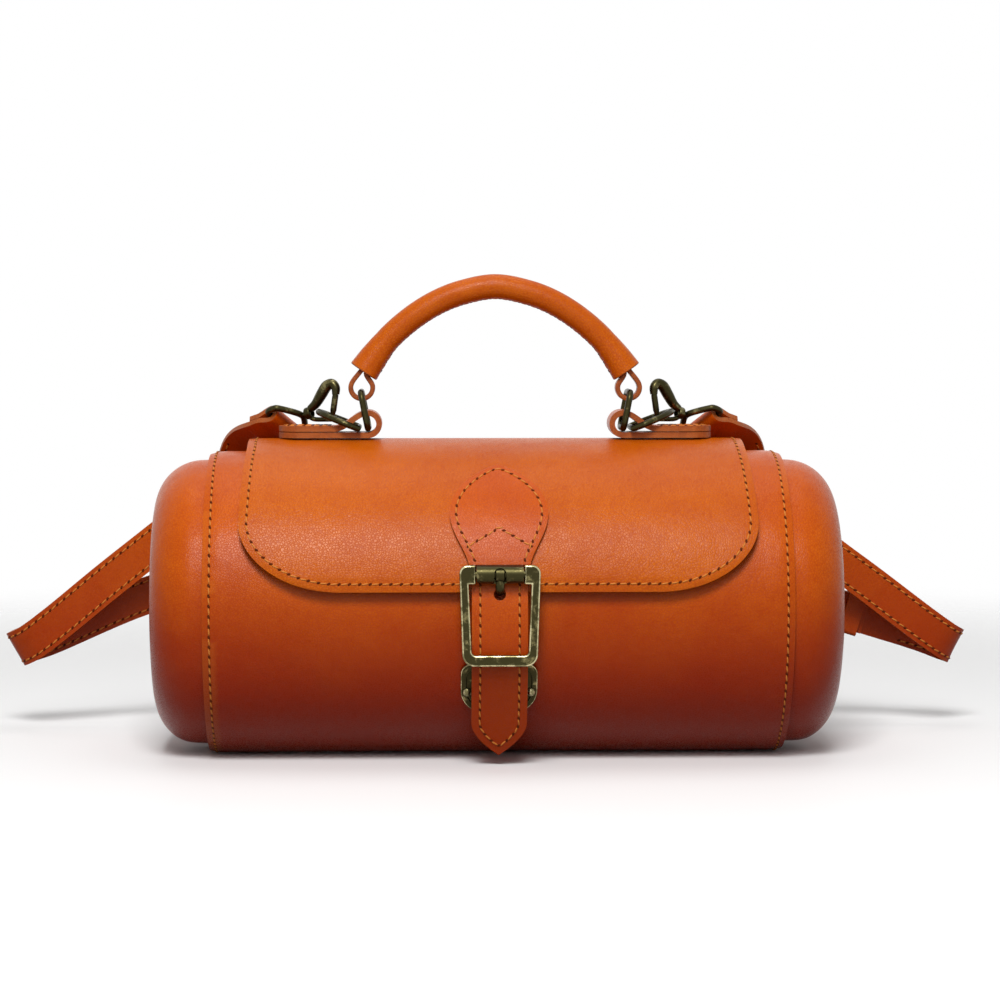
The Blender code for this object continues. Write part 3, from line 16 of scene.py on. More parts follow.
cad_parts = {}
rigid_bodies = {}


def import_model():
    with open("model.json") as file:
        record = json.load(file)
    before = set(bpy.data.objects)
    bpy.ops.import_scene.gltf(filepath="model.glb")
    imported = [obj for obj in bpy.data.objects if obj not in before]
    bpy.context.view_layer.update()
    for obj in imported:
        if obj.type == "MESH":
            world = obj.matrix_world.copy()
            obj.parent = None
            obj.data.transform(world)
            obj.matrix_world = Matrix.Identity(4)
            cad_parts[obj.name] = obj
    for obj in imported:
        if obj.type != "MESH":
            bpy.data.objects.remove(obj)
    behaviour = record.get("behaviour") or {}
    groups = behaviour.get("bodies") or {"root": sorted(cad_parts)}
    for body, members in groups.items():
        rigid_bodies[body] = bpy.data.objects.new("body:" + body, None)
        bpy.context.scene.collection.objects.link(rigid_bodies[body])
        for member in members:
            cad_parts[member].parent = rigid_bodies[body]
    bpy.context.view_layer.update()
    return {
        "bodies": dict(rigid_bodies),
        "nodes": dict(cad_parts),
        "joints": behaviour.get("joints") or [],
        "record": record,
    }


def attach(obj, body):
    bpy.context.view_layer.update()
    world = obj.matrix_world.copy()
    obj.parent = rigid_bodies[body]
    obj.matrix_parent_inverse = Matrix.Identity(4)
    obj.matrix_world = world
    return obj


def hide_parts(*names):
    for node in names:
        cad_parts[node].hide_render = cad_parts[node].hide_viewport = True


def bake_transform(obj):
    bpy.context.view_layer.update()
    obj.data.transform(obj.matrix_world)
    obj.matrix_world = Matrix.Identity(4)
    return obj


LOG = logging.getLogger("handbag")
GAP = 0.0003
AXIS_HEIGHT = 0.055
BARREL_RADIUS = 0.057
ACROSS = Vector((1.0, 0.0, 0.0))
BACK = Vector((0.0, 1.0, 0.0))
UP = Vector((0.0, 0.0, 1.0))
QUARTER = math.pi / 2
SIDES = ((-1, "left"), (1, "right"))


# Places and curves


def on_barrel(radius: float, angle: float, x: float = 0.0) -> Vector:
    """A point at a distance from the barrel's axis."""
    return Vector((x, -radius * math.cos(angle), AXIS_HEIGHT + radius * math.sin(angle)))


def outward(angle: float) -> Vector:
    """The direction away from the barrel's axis."""
    return Vector((0.0, -math.cos(angle), math.sin(angle)))


def barrel_frame(radius: float, angle: float, x: float = 0.0) -> Matrix:
    """A frame that lies on the barrel, with X along it, Y up round it and Z outward.

    Args:
        radius: Distance from the axis.
        angle: Rise from the front.
        x: Place along the barrel.

    Returns:
        The frame as a 4x4 matrix.
    """
    rise = Vector((0.0, math.sin(angle), math.cos(angle)))
    turn = Matrix((ACROSS, rise, outward(angle))).transposed().to_4x4()
    return Matrix.Translation(on_barrel(radius, angle, x)) @ turn


def mirrored(side: int, point: Sequence[float]) -> Vector:
    """A point of the right half, moved to the asked side."""
    return Vector((side * point[0], point[1], point[2]))


def gaps(points: Sequence[Sequence[float]]) -> list[float]:
    """How long a curve may take from each given point to the next."""
    return [math.sqrt((Vector(after) - Vector(before)).length)
            for before, after in zip(points, points[1:])]


def through(points: Sequence[Sequence[float]], steps: int,
            spans: Sequence[float] | None = None) -> list[Vector]:
    """Points along the smooth curve through a few given points.

    Args:
        points: The given points.
        steps: Steps to each span.
        spans: What gaps() gives, where another line sets the pace.

    Returns:
        The finer line.
    """
    knots = [Vector(point) for point in points]
    spans = spans or gaps(points)
    last = len(knots) - 1
    chords = [(knots[i + 1] - knots[i]) / spans[i] for i in range(last)]
    slopes = [chords[0]]
    for i in range(1, last):
        total = spans[i - 1] + spans[i]
        slopes.append(chords[i] * (spans[i - 1] / total) + chords[i - 1] * (spans[i] / total))
    slopes.append(chords[-1])
    fine: list[Vector] = []
    for i in range(last):
        for step in range(steps):
            t = step / steps
            ease = t * t * (3 - 2 * t)
            fine.append(knots[i] * (1 - ease) + knots[i + 1] * ease
                        + slopes[i] * spans[i] * t * (1 - t) ** 2
                        - slopes[i + 1] * spans[i] * t * t * (1 - t))
    return [*fine, knots[-1]]


def travelled(points: Sequence[Vector]) -> list[float]:
    """The distance along a line at each of its points.

    Args:
        points: The line.

    Returns:
        One distance for each point, from 0.
    """
    along = [0.0]
    for before, after in zip(points, points[1:]):
        along.append(along[-1] + (after - before).length)
    return along


def at_distance(points: Sequence[Vector], along: Sequence[float], target: float) -> Vector:
    """The point of a line at a distance from its start.

    Args:
        points: The line.
        along: Its distances, as travelled() gives them.
        target: The wanted distance.

    Returns:
        The point there.
    """
    low, high = 0, len(along) - 1
    while high - low > 1:
        middle = (low + high) // 2
        if along[middle] <= target:
            low = middle
        else:
            high = middle
    span = along[high] - along[low]
    share = (target - along[low]) / span if span else 0.0
    return points[low].lerp(points[high], min(max(share, 0.0), 1.0))


def even_path(points: Sequence[Sequence[float]], count: int) -> list[Vector]:
    """Even points along the smooth curve through a few given points.

    Args:
        points: The given points.
        count: How many points to make.

    Returns:
        The even line.
    """
    fine = through(points, 16)
    along = travelled(fine)
    return [at_distance(fine, along, along[-1] * step / (count - 1)) for step in range(count)]


def arc_points(centre: Sequence[float], radius: float, start: float, end: float,
               steps: int) -> list[tuple[float, float]]:
    """Points of an arc in a plane.

    Args:
        centre: Its middle.
        radius: Its radius.
        start: First angle.
        end: Last angle.
        steps: Steps between them.

    Returns:
        Pairs of plane coordinates.
    """
    turns = [start + (end - start) * step / steps for step in range(steps + 1)]
    return [(centre[0] + radius * math.cos(turn), centre[1] + radius * math.sin(turn))
            for turn in turns]


def rounded_outline(low_width: float, high_width: float, low: float, high: float,
                    corner: float, steps: int = 8) -> list[tuple[float, float]]:
    """A closed outline symmetric about its Y axis, with rounded corners.

    Args:
        low_width: Width at its low end.
        high_width: Width at its high end.
        low: Its lowest coordinate.
        high: Its highest coordinate.
        corner: Radius of its corners.
        steps: Steps to each corner.

    Returns:
        Pairs of plane coordinates.
    """
    half_low = low_width / 2 - corner
    half_high = high_width / 2 - corner
    middles = ((half_low, low + corner), (half_high, high - corner),
               (-half_high, high - corner), (-half_low, low + corner))
    return [point for place, middle in enumerate(middles)
            for point in arc_points(middle, corner, (place - 1) * QUARTER, place * QUARTER, steps)]


def ring_profile(bore: float, radius: float, half: float,
                 edge: float = 0.0) -> list[tuple[float, float]]:
    """The section of a turned ring.

    Args:
        bore: Radius of its hole.
        radius: Its outer radius.
        half: Half its length.
        edge: How far its outer edges are cut off.

    Returns:
        Pairs of a radius and a place along the axis.
    """
    if not edge:
        return [(bore, -half), (radius, -half), (radius, half), (bore, half)]
    return [(bore, -half), (radius - edge, -half), (radius, -half + edge), (radius, half - edge),
            (radius - edge, half), (bore, half)]


def shares(steps: int) -> list[float]:
    """Even numbers from -1 to 1, that many steps apart."""
    return [2 * step / steps - 1 for step in range(steps + 1)]


def ahead_at(points: Sequence[Vector], index: int) -> Vector:
    """The direction of a line at one of its points."""
    return (points[min(index + 1, len(points) - 1)] - points[max(index - 1, 0)]).normalized()


def soft_floor(point: Vector, floor: float) -> Vector:
    """A point kept above a floor, with a soft turn where it meets the floor.

    Args:
        point: The point.
        floor: The height that it stays above.

    Returns:
        The moved point.
    """
    softness = 0.0009
    depth = point.z - floor
    lifted = floor + 0.5 * (depth + math.sqrt(depth * depth + softness * softness))
    return Vector((point.x, point.y, lifted))


# Meshes


def mesh_from(shape: bmesh.types.BMesh, name: str) -> bpy.types.Mesh:
    """Turn a bmesh into a mesh.

    Args:
        shape: The bmesh, which is freed.
        name: Name of the mesh.

    Returns:
        The mesh.
    """
    mesh = bpy.data.meshes.new(name)
    shape.to_mesh(mesh)
    shape.free()
    return mesh


def grid_mesh(name: str, rows: Sequence[Sequence[Vector]], loop_rows: bool = False,
              loop_columns: bool = False) -> bpy.types.Mesh:
    """An open or closed surface from rows of as many points each.

    Args:
        name: Name of the mesh.
        rows: The rows of points.
        loop_rows: Whether the last row meets the first.
        loop_columns: Whether each row closes on itself.

    Returns:
        The mesh.
    """
    shape = bmesh.new()
    verts = [[shape.verts.new(point) for point in row] for row in rows]
    row_count, column_count = len(rows), len(rows[0])
    for i in range(row_count if loop_rows else row_count - 1):
        for j in range(column_count if loop_columns else column_count - 1):
            here, there = verts[i], verts[(i + 1) % row_count]
            after = (j + 1) % column_count
            shape.faces.new((here[j], here[after], there[after], there[j]))
    return mesh_from(shape, name)


def joined(name: str, meshes: Sequence[bpy.types.Mesh]) -> bpy.types.Mesh:
    """Several meshes in one.

    Args:
        name: Name of the new mesh.
        meshes: The meshes, which are used up.

    Returns:
        The new mesh.
    """
    shape = bmesh.new()
    for mesh in meshes:
        shape.from_mesh(mesh)
        bpy.data.meshes.remove(mesh)
    return mesh_from(shape, name)


def face_out(mesh: bpy.types.Mesh) -> bpy.types.Mesh:
    """Turn the faces of closed shells outward.

    Args:
        mesh: The mesh.

    Returns:
        The same mesh.
    """
    shape = bmesh.new()
    shape.from_mesh(mesh)
    bmesh.ops.recalc_face_normals(shape, faces=shape.faces)
    shape.to_mesh(mesh)
    shape.free()
    return mesh


def side_mesh(side: int, mesh: bpy.types.Mesh) -> bpy.types.Mesh:
    """A mesh of the right half, mirrored when it belongs to the left one.

    Args:
        side: 1 for right, -1 for left.
        mesh: The mesh on the right.

    Returns:
        The same mesh.
    """
    if side < 0:
        mesh.transform(Matrix.Scale(-1, 4, ACROSS))
        mesh.flip_normals()
    return mesh


def evaluated(thing: bpy.types.Object,
              tools: Sequence[bpy.types.Object] = ()) -> bpy.types.Mesh:
    """The mesh that a temporary object's modifiers make, after which it is removed.

    Args:
        thing: The temporary object.
        tools: What its modifiers use, which is removed too.

    Returns:
        Its finished mesh.
    """
    bpy.context.scene.collection.objects.link(thing)
    graph = bpy.context.evaluated_depsgraph_get()
    mesh = bpy.data.meshes.new_from_object(thing.evaluated_get(graph))
    for used in (thing, *tools):
        bpy.data.objects.remove(used, do_unlink=True)
    return mesh


def cutting(thing: bpy.types.Object,
            cutters: Sequence[bpy.types.Mesh]) -> list[bpy.types.Object]:
    """Let an object's modifiers cut closed meshes away.

    Args:
        thing: The object.
        cutters: The closed meshes.

    Returns:
        The cutters' objects.
    """
    tools = []
    for cutter in cutters:
        tool = bpy.data.objects.new("cutter", cutter)
        bpy.context.scene.collection.objects.link(tool)
        tools.append(tool)
        carve = thing.modifiers.new("cut", "BOOLEAN")
        carve.operation = "DIFFERENCE"
        carve.solver = "EXACT"
        carve.object = tool
    return tools


def open_slots(mesh: bpy.types.Mesh) -> None:
    """Give a mesh two empty material slots."""
    for _ in range(2):
        mesh.materials.append(None)


def welded(mesh: bpy.types.Mesh, reach: float = 0.000001, flat: bool = False) -> bpy.types.Mesh:
    """Weld the points of a mesh that lie on each other.

    Args:
        mesh: The mesh.
        reach: How near the points are.
        flat: Whether faces in one plane become one face.

    Returns:
        The same mesh.
    """
    shape = bmesh.new()
    shape.from_mesh(mesh)
    bmesh.ops.remove_doubles(shape, verts=shape.verts, dist=reach)
    if flat:
        bmesh.ops.dissolve_limit(shape, angle_limit=0.01, verts=shape.verts, edges=shape.edges)
    shape.to_mesh(mesh)
    shape.free()
    return mesh


def add_line(data: bpy.types.Curve, points: Sequence[Sequence[float]], cyclic: bool,
             radii: Sequence[float] | None = None) -> None:
    """Add a line of straight steps to a curve.

    Args:
        data: The curve.
        points: The line.
        cyclic: Whether it closes on itself.
        radii: A factor on the curve's radius at each point.
    """
    spline = data.splines.new("POLY")
    spline.points.add(len(points) - 1)
    for index, point in enumerate(points):
        spline.points[index].co = (*point, 1)
        spline.points[index].radius = 1 if radii is None else radii[index]
    spline.use_cyclic_u = cyclic


def tube(points: Sequence[Vector], radius: float, cyclic: bool = False,
         radii: Sequence[float] | None = None, smoothness: int = 5) -> bpy.types.Mesh:
    """A round bar along a line of points.

    Args:
        points: The line.
        radius: Radius of the bar.
        cyclic: Whether the bar closes on itself.
        radii: A factor on the radius at each point.
        smoothness: Rounding of the section.

    Returns:
        The bar's mesh.
    """
    data = bpy.data.curves.new("line", "CURVE")
    data.dimensions = "3D"
    add_line(data, points, cyclic, radii)
    data.bevel_depth = radius
    data.bevel_resolution = smoothness
    data.use_fill_caps = True
    return face_out(welded(evaluated(bpy.data.objects.new("line", data))))


def plate(outlines: Sequence[Sequence[tuple[float, float]]], thickness: float,
          matrix: Matrix, edge: float = 0.0) -> bpy.types.Mesh:
    """A flat plate with soft edges.

    Args:
        outlines: Its outline, then the outlines of its holes.
        thickness: Its thickness.
        matrix: Where it goes.
        edge: Radius of its edges.

    Returns:
        The plate's mesh.
    """
    data = bpy.data.curves.new("plate", "CURVE")
    data.dimensions = "2D"
    data.fill_mode = "BOTH"
    data.extrude = thickness / 2
    for outline in outlines:
        add_line(data, [(x, y, 0) for x, y in outline], True)
    mesh = welded(evaluated(bpy.data.objects.new("plate", data)), 0.00001, True)
    if edge:
        thing = bpy.data.objects.new("plate", mesh)
        soften(thing, edge)
        mesh = evaluated(thing)
    mesh.transform(matrix)
    return mesh


def lathe(profile: Sequence[tuple[float, float]], centre: Vector, direction: Vector,
          segments: int = 32, closed: bool = False) -> bpy.types.Mesh:
    """A turned shape.

    Args:
        profile: Pairs of a radius and a place along the axis.
        centre: Where the axis starts.
        direction: Where the axis points.
        segments: Steps round the axis.
        closed: Whether the profile closes on itself, as that of a ring does.

    Returns:
        The turned mesh.
    """
    turn = direction.to_track_quat("Z", "Y").to_matrix().to_4x4()
    place = Matrix.Translation(centre) @ turn
    rows = []
    for step in range(segments):
        angle = 2 * math.pi * step / segments
        rows.append([place @ Vector((radius * math.cos(angle), radius * math.sin(angle), along))
                     for radius, along in profile])
    mesh = grid_mesh("turned", rows, loop_rows=True, loop_columns=closed)
    return face_out(welded(mesh, 0.00001))


def soften(thing: bpy.types.Object, edge: float, segments: int = 3, angle: float = 50,
           rubbed: bool = False) -> None:
    """Round the sharp edges of an object with a modifier.

    Args:
        thing: The object.
        edge: Radius of the rounding.
        segments: Steps of the rounding.
        angle: Least angle of a sharp edge, in degrees.
        rubbed: Whether the rounding takes the second material.
    """
    modifier = thing.modifiers.new("edges", "BEVEL")
    # The second material paints the bevels: on brass a painted highlight with some rubbed wear, on
    # leather the darker cut edge with painted shade along the outline.
    if rubbed:
        modifier.material = 1
    modifier.width = edge
    modifier.segments = segments
    modifier.limit_method = "ANGLE"
    modifier.angle_limit = math.radians(angle)
    modifier.use_clamp_overlap = True


def thick(mesh: bpy.types.Mesh, wall: float, offset: float, edge: float,
          cutters: Sequence[bpy.types.Mesh] = (), segments: int = 3,
          even: bool = True) -> bpy.types.Mesh:
    """A sheet with a wall, holes and soft edges, whose rim takes the second material.

    Args:
        mesh: The open surface.
        wall: Thickness of the sheet.
        offset: Side on which it grows, from -1 to 1.
        edge: Radius of its edges.
        cutters: Closed meshes to cut away.
        segments: Steps round each edge.
        even: Whether the wall keeps its thickness at bends.

    Returns:
        The finished mesh.
    """
    thing = bpy.data.objects.new("sheet", mesh)
    open_slots(mesh)
    grow = thing.modifiers.new("wall", "SOLIDIFY")
    grow.thickness = wall
    grow.offset = offset
    grow.use_even_offset = even
    grow.material_offset_rim = 1
    for cutter in cutters:
        open_slots(cutter)
        for face in cutter.polygons:
            face.material_index = 1
    tools = cutting(thing, cutters)
    if edge:
        soften(thing, edge, segments, rubbed=True)
    return evaluated(thing, tools)


def facing(mesh: bpy.types.Mesh, toward: Callable[[Vector], Vector]) -> bpy.types.Mesh:
    """Turn an open surface so that its faces look the asked way.

    Args:
        mesh: The open surface.
        toward: Gives the wanted direction at a point.

    Returns:
        The same mesh.
    """
    score = sum(face.normal.dot(toward(face.center)) * face.area for face in mesh.polygons)
    if score < 0:
        mesh.flip_normals()
    return mesh


def away_from_axis(point: Vector) -> Vector:
    """The direction away from the barrel's axis at a point."""
    return Vector((0.0, point.y, point.z - AXIS_HEIGHT))


def box_mesh(size: Sequence[float], matrix: Matrix) -> bpy.types.Mesh:
    """A box.

    Args:
        size: Its three sides.
        matrix: Where its middle goes.

    Returns:
        The mesh.
    """
    shape = bmesh.new()
    bmesh.ops.create_cube(shape, size=1.0)
    bmesh.ops.scale(shape, vec=Vector(size), verts=shape.verts)
    bmesh.ops.transform(shape, matrix=matrix, verts=shape.verts)
    return mesh_from(shape, "box")


def bar(radius: float, length: float, centre: Vector, direction: Vector,
        edge: float = 0.0, segments: int = 32) -> bpy.types.Mesh:
    """A turned bar with soft ends.

    Args:
        radius: Its radius.
        length: Its length.
        centre: Its middle.
        direction: Where it points.
        edge: Radius of its end edges.
        segments: Steps round it.

    Returns:
        The mesh.
    """
    half = length / 2
    rim = [(radius, half)]
    if edge:
        rim = [(radius - edge * (1 - math.sin(turn)), half - edge * (1 - math.cos(turn)))
               for turn in (QUARTER, math.pi / 3, math.pi / 6, 0.0)]
    low = [(out, -along) for out, along in reversed(rim)]
    return lathe([(0.0, -half), *low, *rim, (0.0, half)], centre, direction, segments)


def carved(mesh: bpy.types.Mesh, cutters: Sequence[bpy.types.Mesh], edge: float = 0.0,
           segments: int = 3, rubbed: bool = False) -> bpy.types.Mesh:
    """A closed mesh with pieces cut away and its edges softened.

    Args:
        mesh: The closed mesh.
        cutters: Closed meshes to cut away.
        edge: Radius of the edges afterwards.
        segments: Steps round each edge.
        rubbed: Whether the edges take the second material.

    Returns:
        The finished mesh.
    """
    if rubbed:
        open_slots(mesh)
    thing = bpy.data.objects.new("carved", mesh)
    tools = cutting(thing, cutters)
    if edge:
        soften(thing, edge, segments, 40, rubbed)
    return evaluated(thing, tools)


def rippled(point: Vector, direction: Vector, depth: float, pitch: float, seed: float) -> Vector:
    """A point pushed along a direction by slow, even noise.

    Args:
        point: The point.
        direction: Where it may go.
        depth: The most that it moves.
        pitch: Size of the ripples.
        seed: Which ripples they are.

    Returns:
        The moved point.
    """
    spot = point / pitch + Vector((seed, seed * 1.7, seed * 2.3))
    share = 0.5 + 0.5 * noise.noise(spot)
    return point + direction * depth * min(max(share, 0.0), 1.0)


# Materials


class Finish(Enum):
    """What a surface is made of."""

    LEATHER = "leather"
    # Panel and cap leather, painted dark low down: mostly painted shade, with some burnish.
    SHELL = "burnished leather with painted low shade"
    STRAP = "strap leather"
    EDGE = "cut leather edge"
    SUEDE = "suede"
    BRASS = "antiqued brass"
    # Lighter brass for bevels and rivet heads: partly rubbed wear, partly a painted highlight on
    # edges.
    BRIGHT = "rubbed brass with painted highlight"
    MAGNET = "magnet"
    THREAD = "thread"
    # Painted shade of the stitch holes.
    HOLE = "stitch hole shade"
    BOARD = "board"
    ROPE = "rope"


@dataclass(frozen=True)
class LeatherLook:
    """Colours and textures of a leather.

    Attributes:
        tan: The main colour.
        dark: Colour of the darker grain and clouds, and of the painted shade low down and in hollows.
        pale: Colour of the rubbed places.
        grain: Cells of the grain to each metre.
        depth: Depth of the grain in the bump.
        rough: Roughness of the smooth places.
        burnish_and_shade: How far the low places go dark, as painted shade with some burnish, from 0
            to 1.
    """

    tan: tuple[float, float, float] = (0.56, 0.118, 0.002)
    dark: tuple[float, float, float] = (0.30, 0.018, 0.0004)
    pale: tuple[float, float, float] = (0.70, 0.20, 0.02)
    grain: float = 1100.0
    depth: float = 0.17
    rough: float = 0.20
    burnish_and_shade: float = 0.3


@dataclass(frozen=True)
class MetalLook:
    """Colours and textures of a plated metal.

    Attributes:
        dark: Colour of the patina.
        bright: Colour of the rubbed metal.
        share: How much of the surface is rubbed, from 0 to 1.
        rough: Roughness of the rubbed metal.
    """

    dark: tuple[float, float, float] = (0.038, 0.033, 0.013)
    bright: tuple[float, float, float] = (0.20, 0.17, 0.075)
    share: float = 0.25
    rough: float = 0.16


class Tree:
    """Lays out the nodes of a material or a group."""

    def __init__(self, tree: bpy.types.NodeTree) -> None:
        """Start on a node tree."""
        self.tree = tree
        self.count = 0

    def add(self, kind: str, **settings: object) -> bpy.types.Node:
        """Add a node.

        Args:
            kind: Its type.
            settings: Its properties.

        Returns:
            The node.
        """
        node = self.tree.nodes.new(kind)
        node.location = (220 * (self.count % 9), -260 * (self.count // 9))
        self.count += 1
        for key, value in settings.items():
            setattr(node, key, value)
        return node

    def link(self, start: bpy.types.NodeSocket, end: bpy.types.NodeSocket) -> None:
        """Join two sockets."""
        self.tree.links.new(start, end)

    def feed(self, socket: bpy.types.NodeSocket, value: object) -> None:
        """Give an input a constant or the output of another node.

        Args:
            socket: The input.
            value: A number, a tuple or an output socket.
        """
        if isinstance(value, bpy.types.NodeSocket):
            self.link(value, socket)
        else:
            socket.default_value = value

    def math(self, operation: str, *values: object) -> bpy.types.NodeSocket:
        """A number worked out from others.

        Args:
            operation: What is done.
            values: The numbers or sockets.

        Returns:
            The result's socket.
        """
        node = self.add("ShaderNodeMath", operation=operation)
        for socket, value in zip(node.inputs, values):
            self.feed(socket, value)
        return node.outputs[0]

    def part(self, value: object, share: object) -> bpy.types.NodeSocket:
        """A share of a number."""
        return self.math("MULTIPLY", value, share)

    def remap(self, value: object, low: float, high: float, new_low: float = 0.0,
              new_high: float = 1.0) -> bpy.types.NodeSocket:
        """A number moved from one range to another, with eased ends.

        Args:
            value: The number.
            low: Start of its range.
            high: End of its range.
            new_low: Start of the new range.
            new_high: End of the new range.

        Returns:
            The result's socket.
        """
        node = self.add("ShaderNodeMapRange", clamp=True, interpolation_type="SMOOTHSTEP")
        for socket, number in zip(node.inputs, (value, low, high, new_low, new_high)):
            self.feed(socket, number)
        return node.outputs["Result"]

    def mix(self, share: object, first: object, second: object) -> bpy.types.NodeSocket:
        """A colour between two others.

        Args:
            share: How much of the second one.
            first: First colour or socket.
            second: Second colour or socket.

        Returns:
            The colour's socket.
        """
        node = self.add("ShaderNodeMix", data_type="RGBA", clamp_factor=True)
        self.feed(node.inputs[0], share)
        for socket, value in ((node.inputs[6], first), (node.inputs[7], second)):
            self.feed(socket, (*value, 1.0) if isinstance(value, tuple) else value)
        return node.outputs[2]

    def noise(self, vector: object, scale: float, detail: float, rough: float,
              distortion: float = 0.0) -> bpy.types.NodeSocket:
        """Soft noise.

        Args:
            vector: Where it is read.
            scale: Its frequency, for each metre.
            detail: Its octaves.
            rough: Strength of the fine octaves.
            distortion: How twisted it is.

        Returns:
            The value's socket.
        """
        node = self.add("ShaderNodeTexNoise")
        self.feed(node.inputs["Vector"], vector)
        node.inputs["Scale"].default_value = scale
        node.inputs["Detail"].default_value = detail
        node.inputs["Roughness"].default_value = rough
        node.inputs["Distortion"].default_value = distortion
        return node.outputs[0]

    def object_place(self) -> bpy.types.NodeSocket:
        """The place on the object."""
        return self.add("ShaderNodeTexCoord").outputs["Object"]


class GroupMaker:
    """Makes the node groups that several materials share."""

    def __init__(self) -> None:
        """Build the groups."""
        self.grain = self._grain()
        self.patina = self._patina()
        self.wear_and_shade = self._wear_and_shade()

    @staticmethod
    def _group(name: str, inputs: Sequence[tuple[str, str, object]],
               outputs: Sequence[tuple[str, str]]) -> tuple[Tree, bpy.types.Node, bpy.types.Node]:
        """Start a group.

        Args:
            name: Its name.
            inputs: Name, type and default of each input.
            outputs: Name and type of each output.

        Returns:
            The tree helper with the group's input and output nodes.
        """
        group = bpy.data.node_groups.new(name, "ShaderNodeTree")
        for label, kind, default in inputs:
            socket = group.interface.new_socket(label, in_out="INPUT", socket_type=kind)
            if default is not None:
                socket.default_value = default
        for label, kind in outputs:
            group.interface.new_socket(label, in_out="OUTPUT", socket_type=kind)
        tree = Tree(group)
        return tree, tree.add("NodeGroupInput"), tree.add("NodeGroupOutput")

    def _grain(self) -> bpy.types.NodeTree:
        """The pebbled grain of leather, as a height and a mask of its creases.

        Returns:
            The group.
        """
        tree, start, end = self._group(
            "leather_grain",
            [("Vector", "NodeSocketVector", None), ("Scale", "NodeSocketFloat", 800.0)],
            [("Height", "NodeSocketFloat"), ("Creases", "NodeSocketFloat")])
        warp = tree.add("ShaderNodeTexNoise")
        tree.link(start.outputs["Vector"], warp.inputs["Vector"])
        warp.inputs["Scale"].default_value = 210.0
        warp.inputs["Detail"].default_value = 3.0
        moved = tree.add("ShaderNodeVectorMath", operation="MULTIPLY_ADD")
        tree.link(warp.outputs["Color"], moved.inputs[0])
        moved.inputs[1].default_value = (0.0011, 0.0011, 0.0011)
        tree.link(start.outputs["Vector"], moved.inputs[2])
        cells = tree.add("ShaderNodeTexVoronoi", feature="DISTANCE_TO_EDGE")
        tree.link(moved.outputs[0], cells.inputs["Vector"])
        tree.link(start.outputs["Scale"], cells.inputs["Scale"])
        fine = tree.add("ShaderNodeTexVoronoi", feature="SMOOTH_F1")
        tree.link(moved.outputs[0], fine.inputs["Vector"])
        tree.link(tree.part(start.outputs["Scale"], 2.3), fine.inputs["Scale"])
        crease = tree.remap(cells.outputs["Distance"], 0.0, 0.22)
        pores = tree.noise(start.outputs["Vector"], 5200.0, 3.0, 0.6)
        small = tree.part(tree.math("SUBTRACT", 1.0, fine.outputs["Distance"]), 0.28)
        pebbles = tree.math("MULTIPLY_ADD", crease, 0.62, small)
        tree.link(tree.math("ADD", pebbles, tree.part(pores, 0.16)), end.inputs["Height"])
        tree.link(tree.math("SUBTRACT", 1.0, crease), end.inputs["Creases"])
        return tree.tree

    def _patina(self) -> bpy.types.NodeTree:
        """Clouds, scuffs and an underside darkened by painted shade with some burnish, as masks.

        Returns:
            The group.
        """
        tree, start, end = self._group(
            "patina", [("Vector", "NodeSocketVector", None), ("Burnish", "NodeSocketFloat", 0.6)],
            [("Clouds", "NodeSocketFloat"), ("LowBurnishAndShade", "NodeSocketFloat"),
             ("Scuffs", "NodeSocketFloat")])
        slow = tree.noise(start.outputs["Vector"], 26.0, 5.0, 0.6, 0.4)
        quick = tree.noise(start.outputs["Vector"], 120.0, 5.0, 0.65, 0.2)
        clouds = tree.math("ADD", tree.part(slow, 0.62), tree.part(quick, 0.38))
        tree.link(tree.remap(clouds, 0.34, 0.66), end.inputs["Clouds"])
        parts = tree.add("ShaderNodeSeparateXYZ")
        tree.link(start.outputs["Vector"], parts.inputs[0])
        # Painted shade with some burnish: a mask that grows towards the bottom of the object, with
        # slow noise on its edge.
        height = tree.math("MULTIPLY_ADD", slow, 0.03, parts.outputs["Z"])
        low = tree.remap(height, 0.104, 0.034)
        tree.link(tree.part(low, start.outputs["Burnish"]), end.inputs["LowBurnishAndShade"])
        stretch = tree.add("ShaderNodeMapping")
        tree.link(start.outputs["Vector"], stretch.inputs["Vector"])
        stretch.inputs["Rotation"].default_value = (0.5, 0.3, 0.9)
        stretch.inputs["Scale"].default_value = (1.0, 7.0, 2.2)
        lines = tree.noise(stretch.outputs[0], 190.0, 6.0, 0.7, 0.6)
        tree.link(tree.remap(lines, 0.62, 0.78), end.inputs["Scuffs"])
        return tree.tree

    def _wear_and_shade(self) -> bpy.types.NodeTree:
        """Rubbed corners, and hollows darkened as painted shade, as masks.

        Returns:
            The group.
        """
        tree, start, end = self._group(
            "edge_wear_and_hollow_shade", [("Vector", "NodeSocketVector", None),
                          ("Breakup", "NodeSocketFloat", 320.0)],
            [("Rubbed", "NodeSocketFloat"), ("HollowShade", "NodeSocketFloat")])
        shape = tree.add("ShaderNodeNewGeometry").outputs["Pointiness"]
        grit = tree.add("ShaderNodeTexNoise")
        tree.link(start.outputs["Vector"], grit.inputs["Vector"])
        tree.link(start.outputs["Breakup"], grit.inputs["Scale"])
        grit.inputs["Detail"].default_value = 4.0
        uneven = tree.math("MULTIPLY_ADD", grit.outputs[0], 0.09, shape)
        tree.link(tree.remap(uneven, 0.55, 0.64), end.inputs["Rubbed"])
        # Painted shade: this mask darkens concave places.
        tree.link(tree.remap(uneven, 0.535, 0.47), end.inputs["HollowShade"])
        return tree.tree


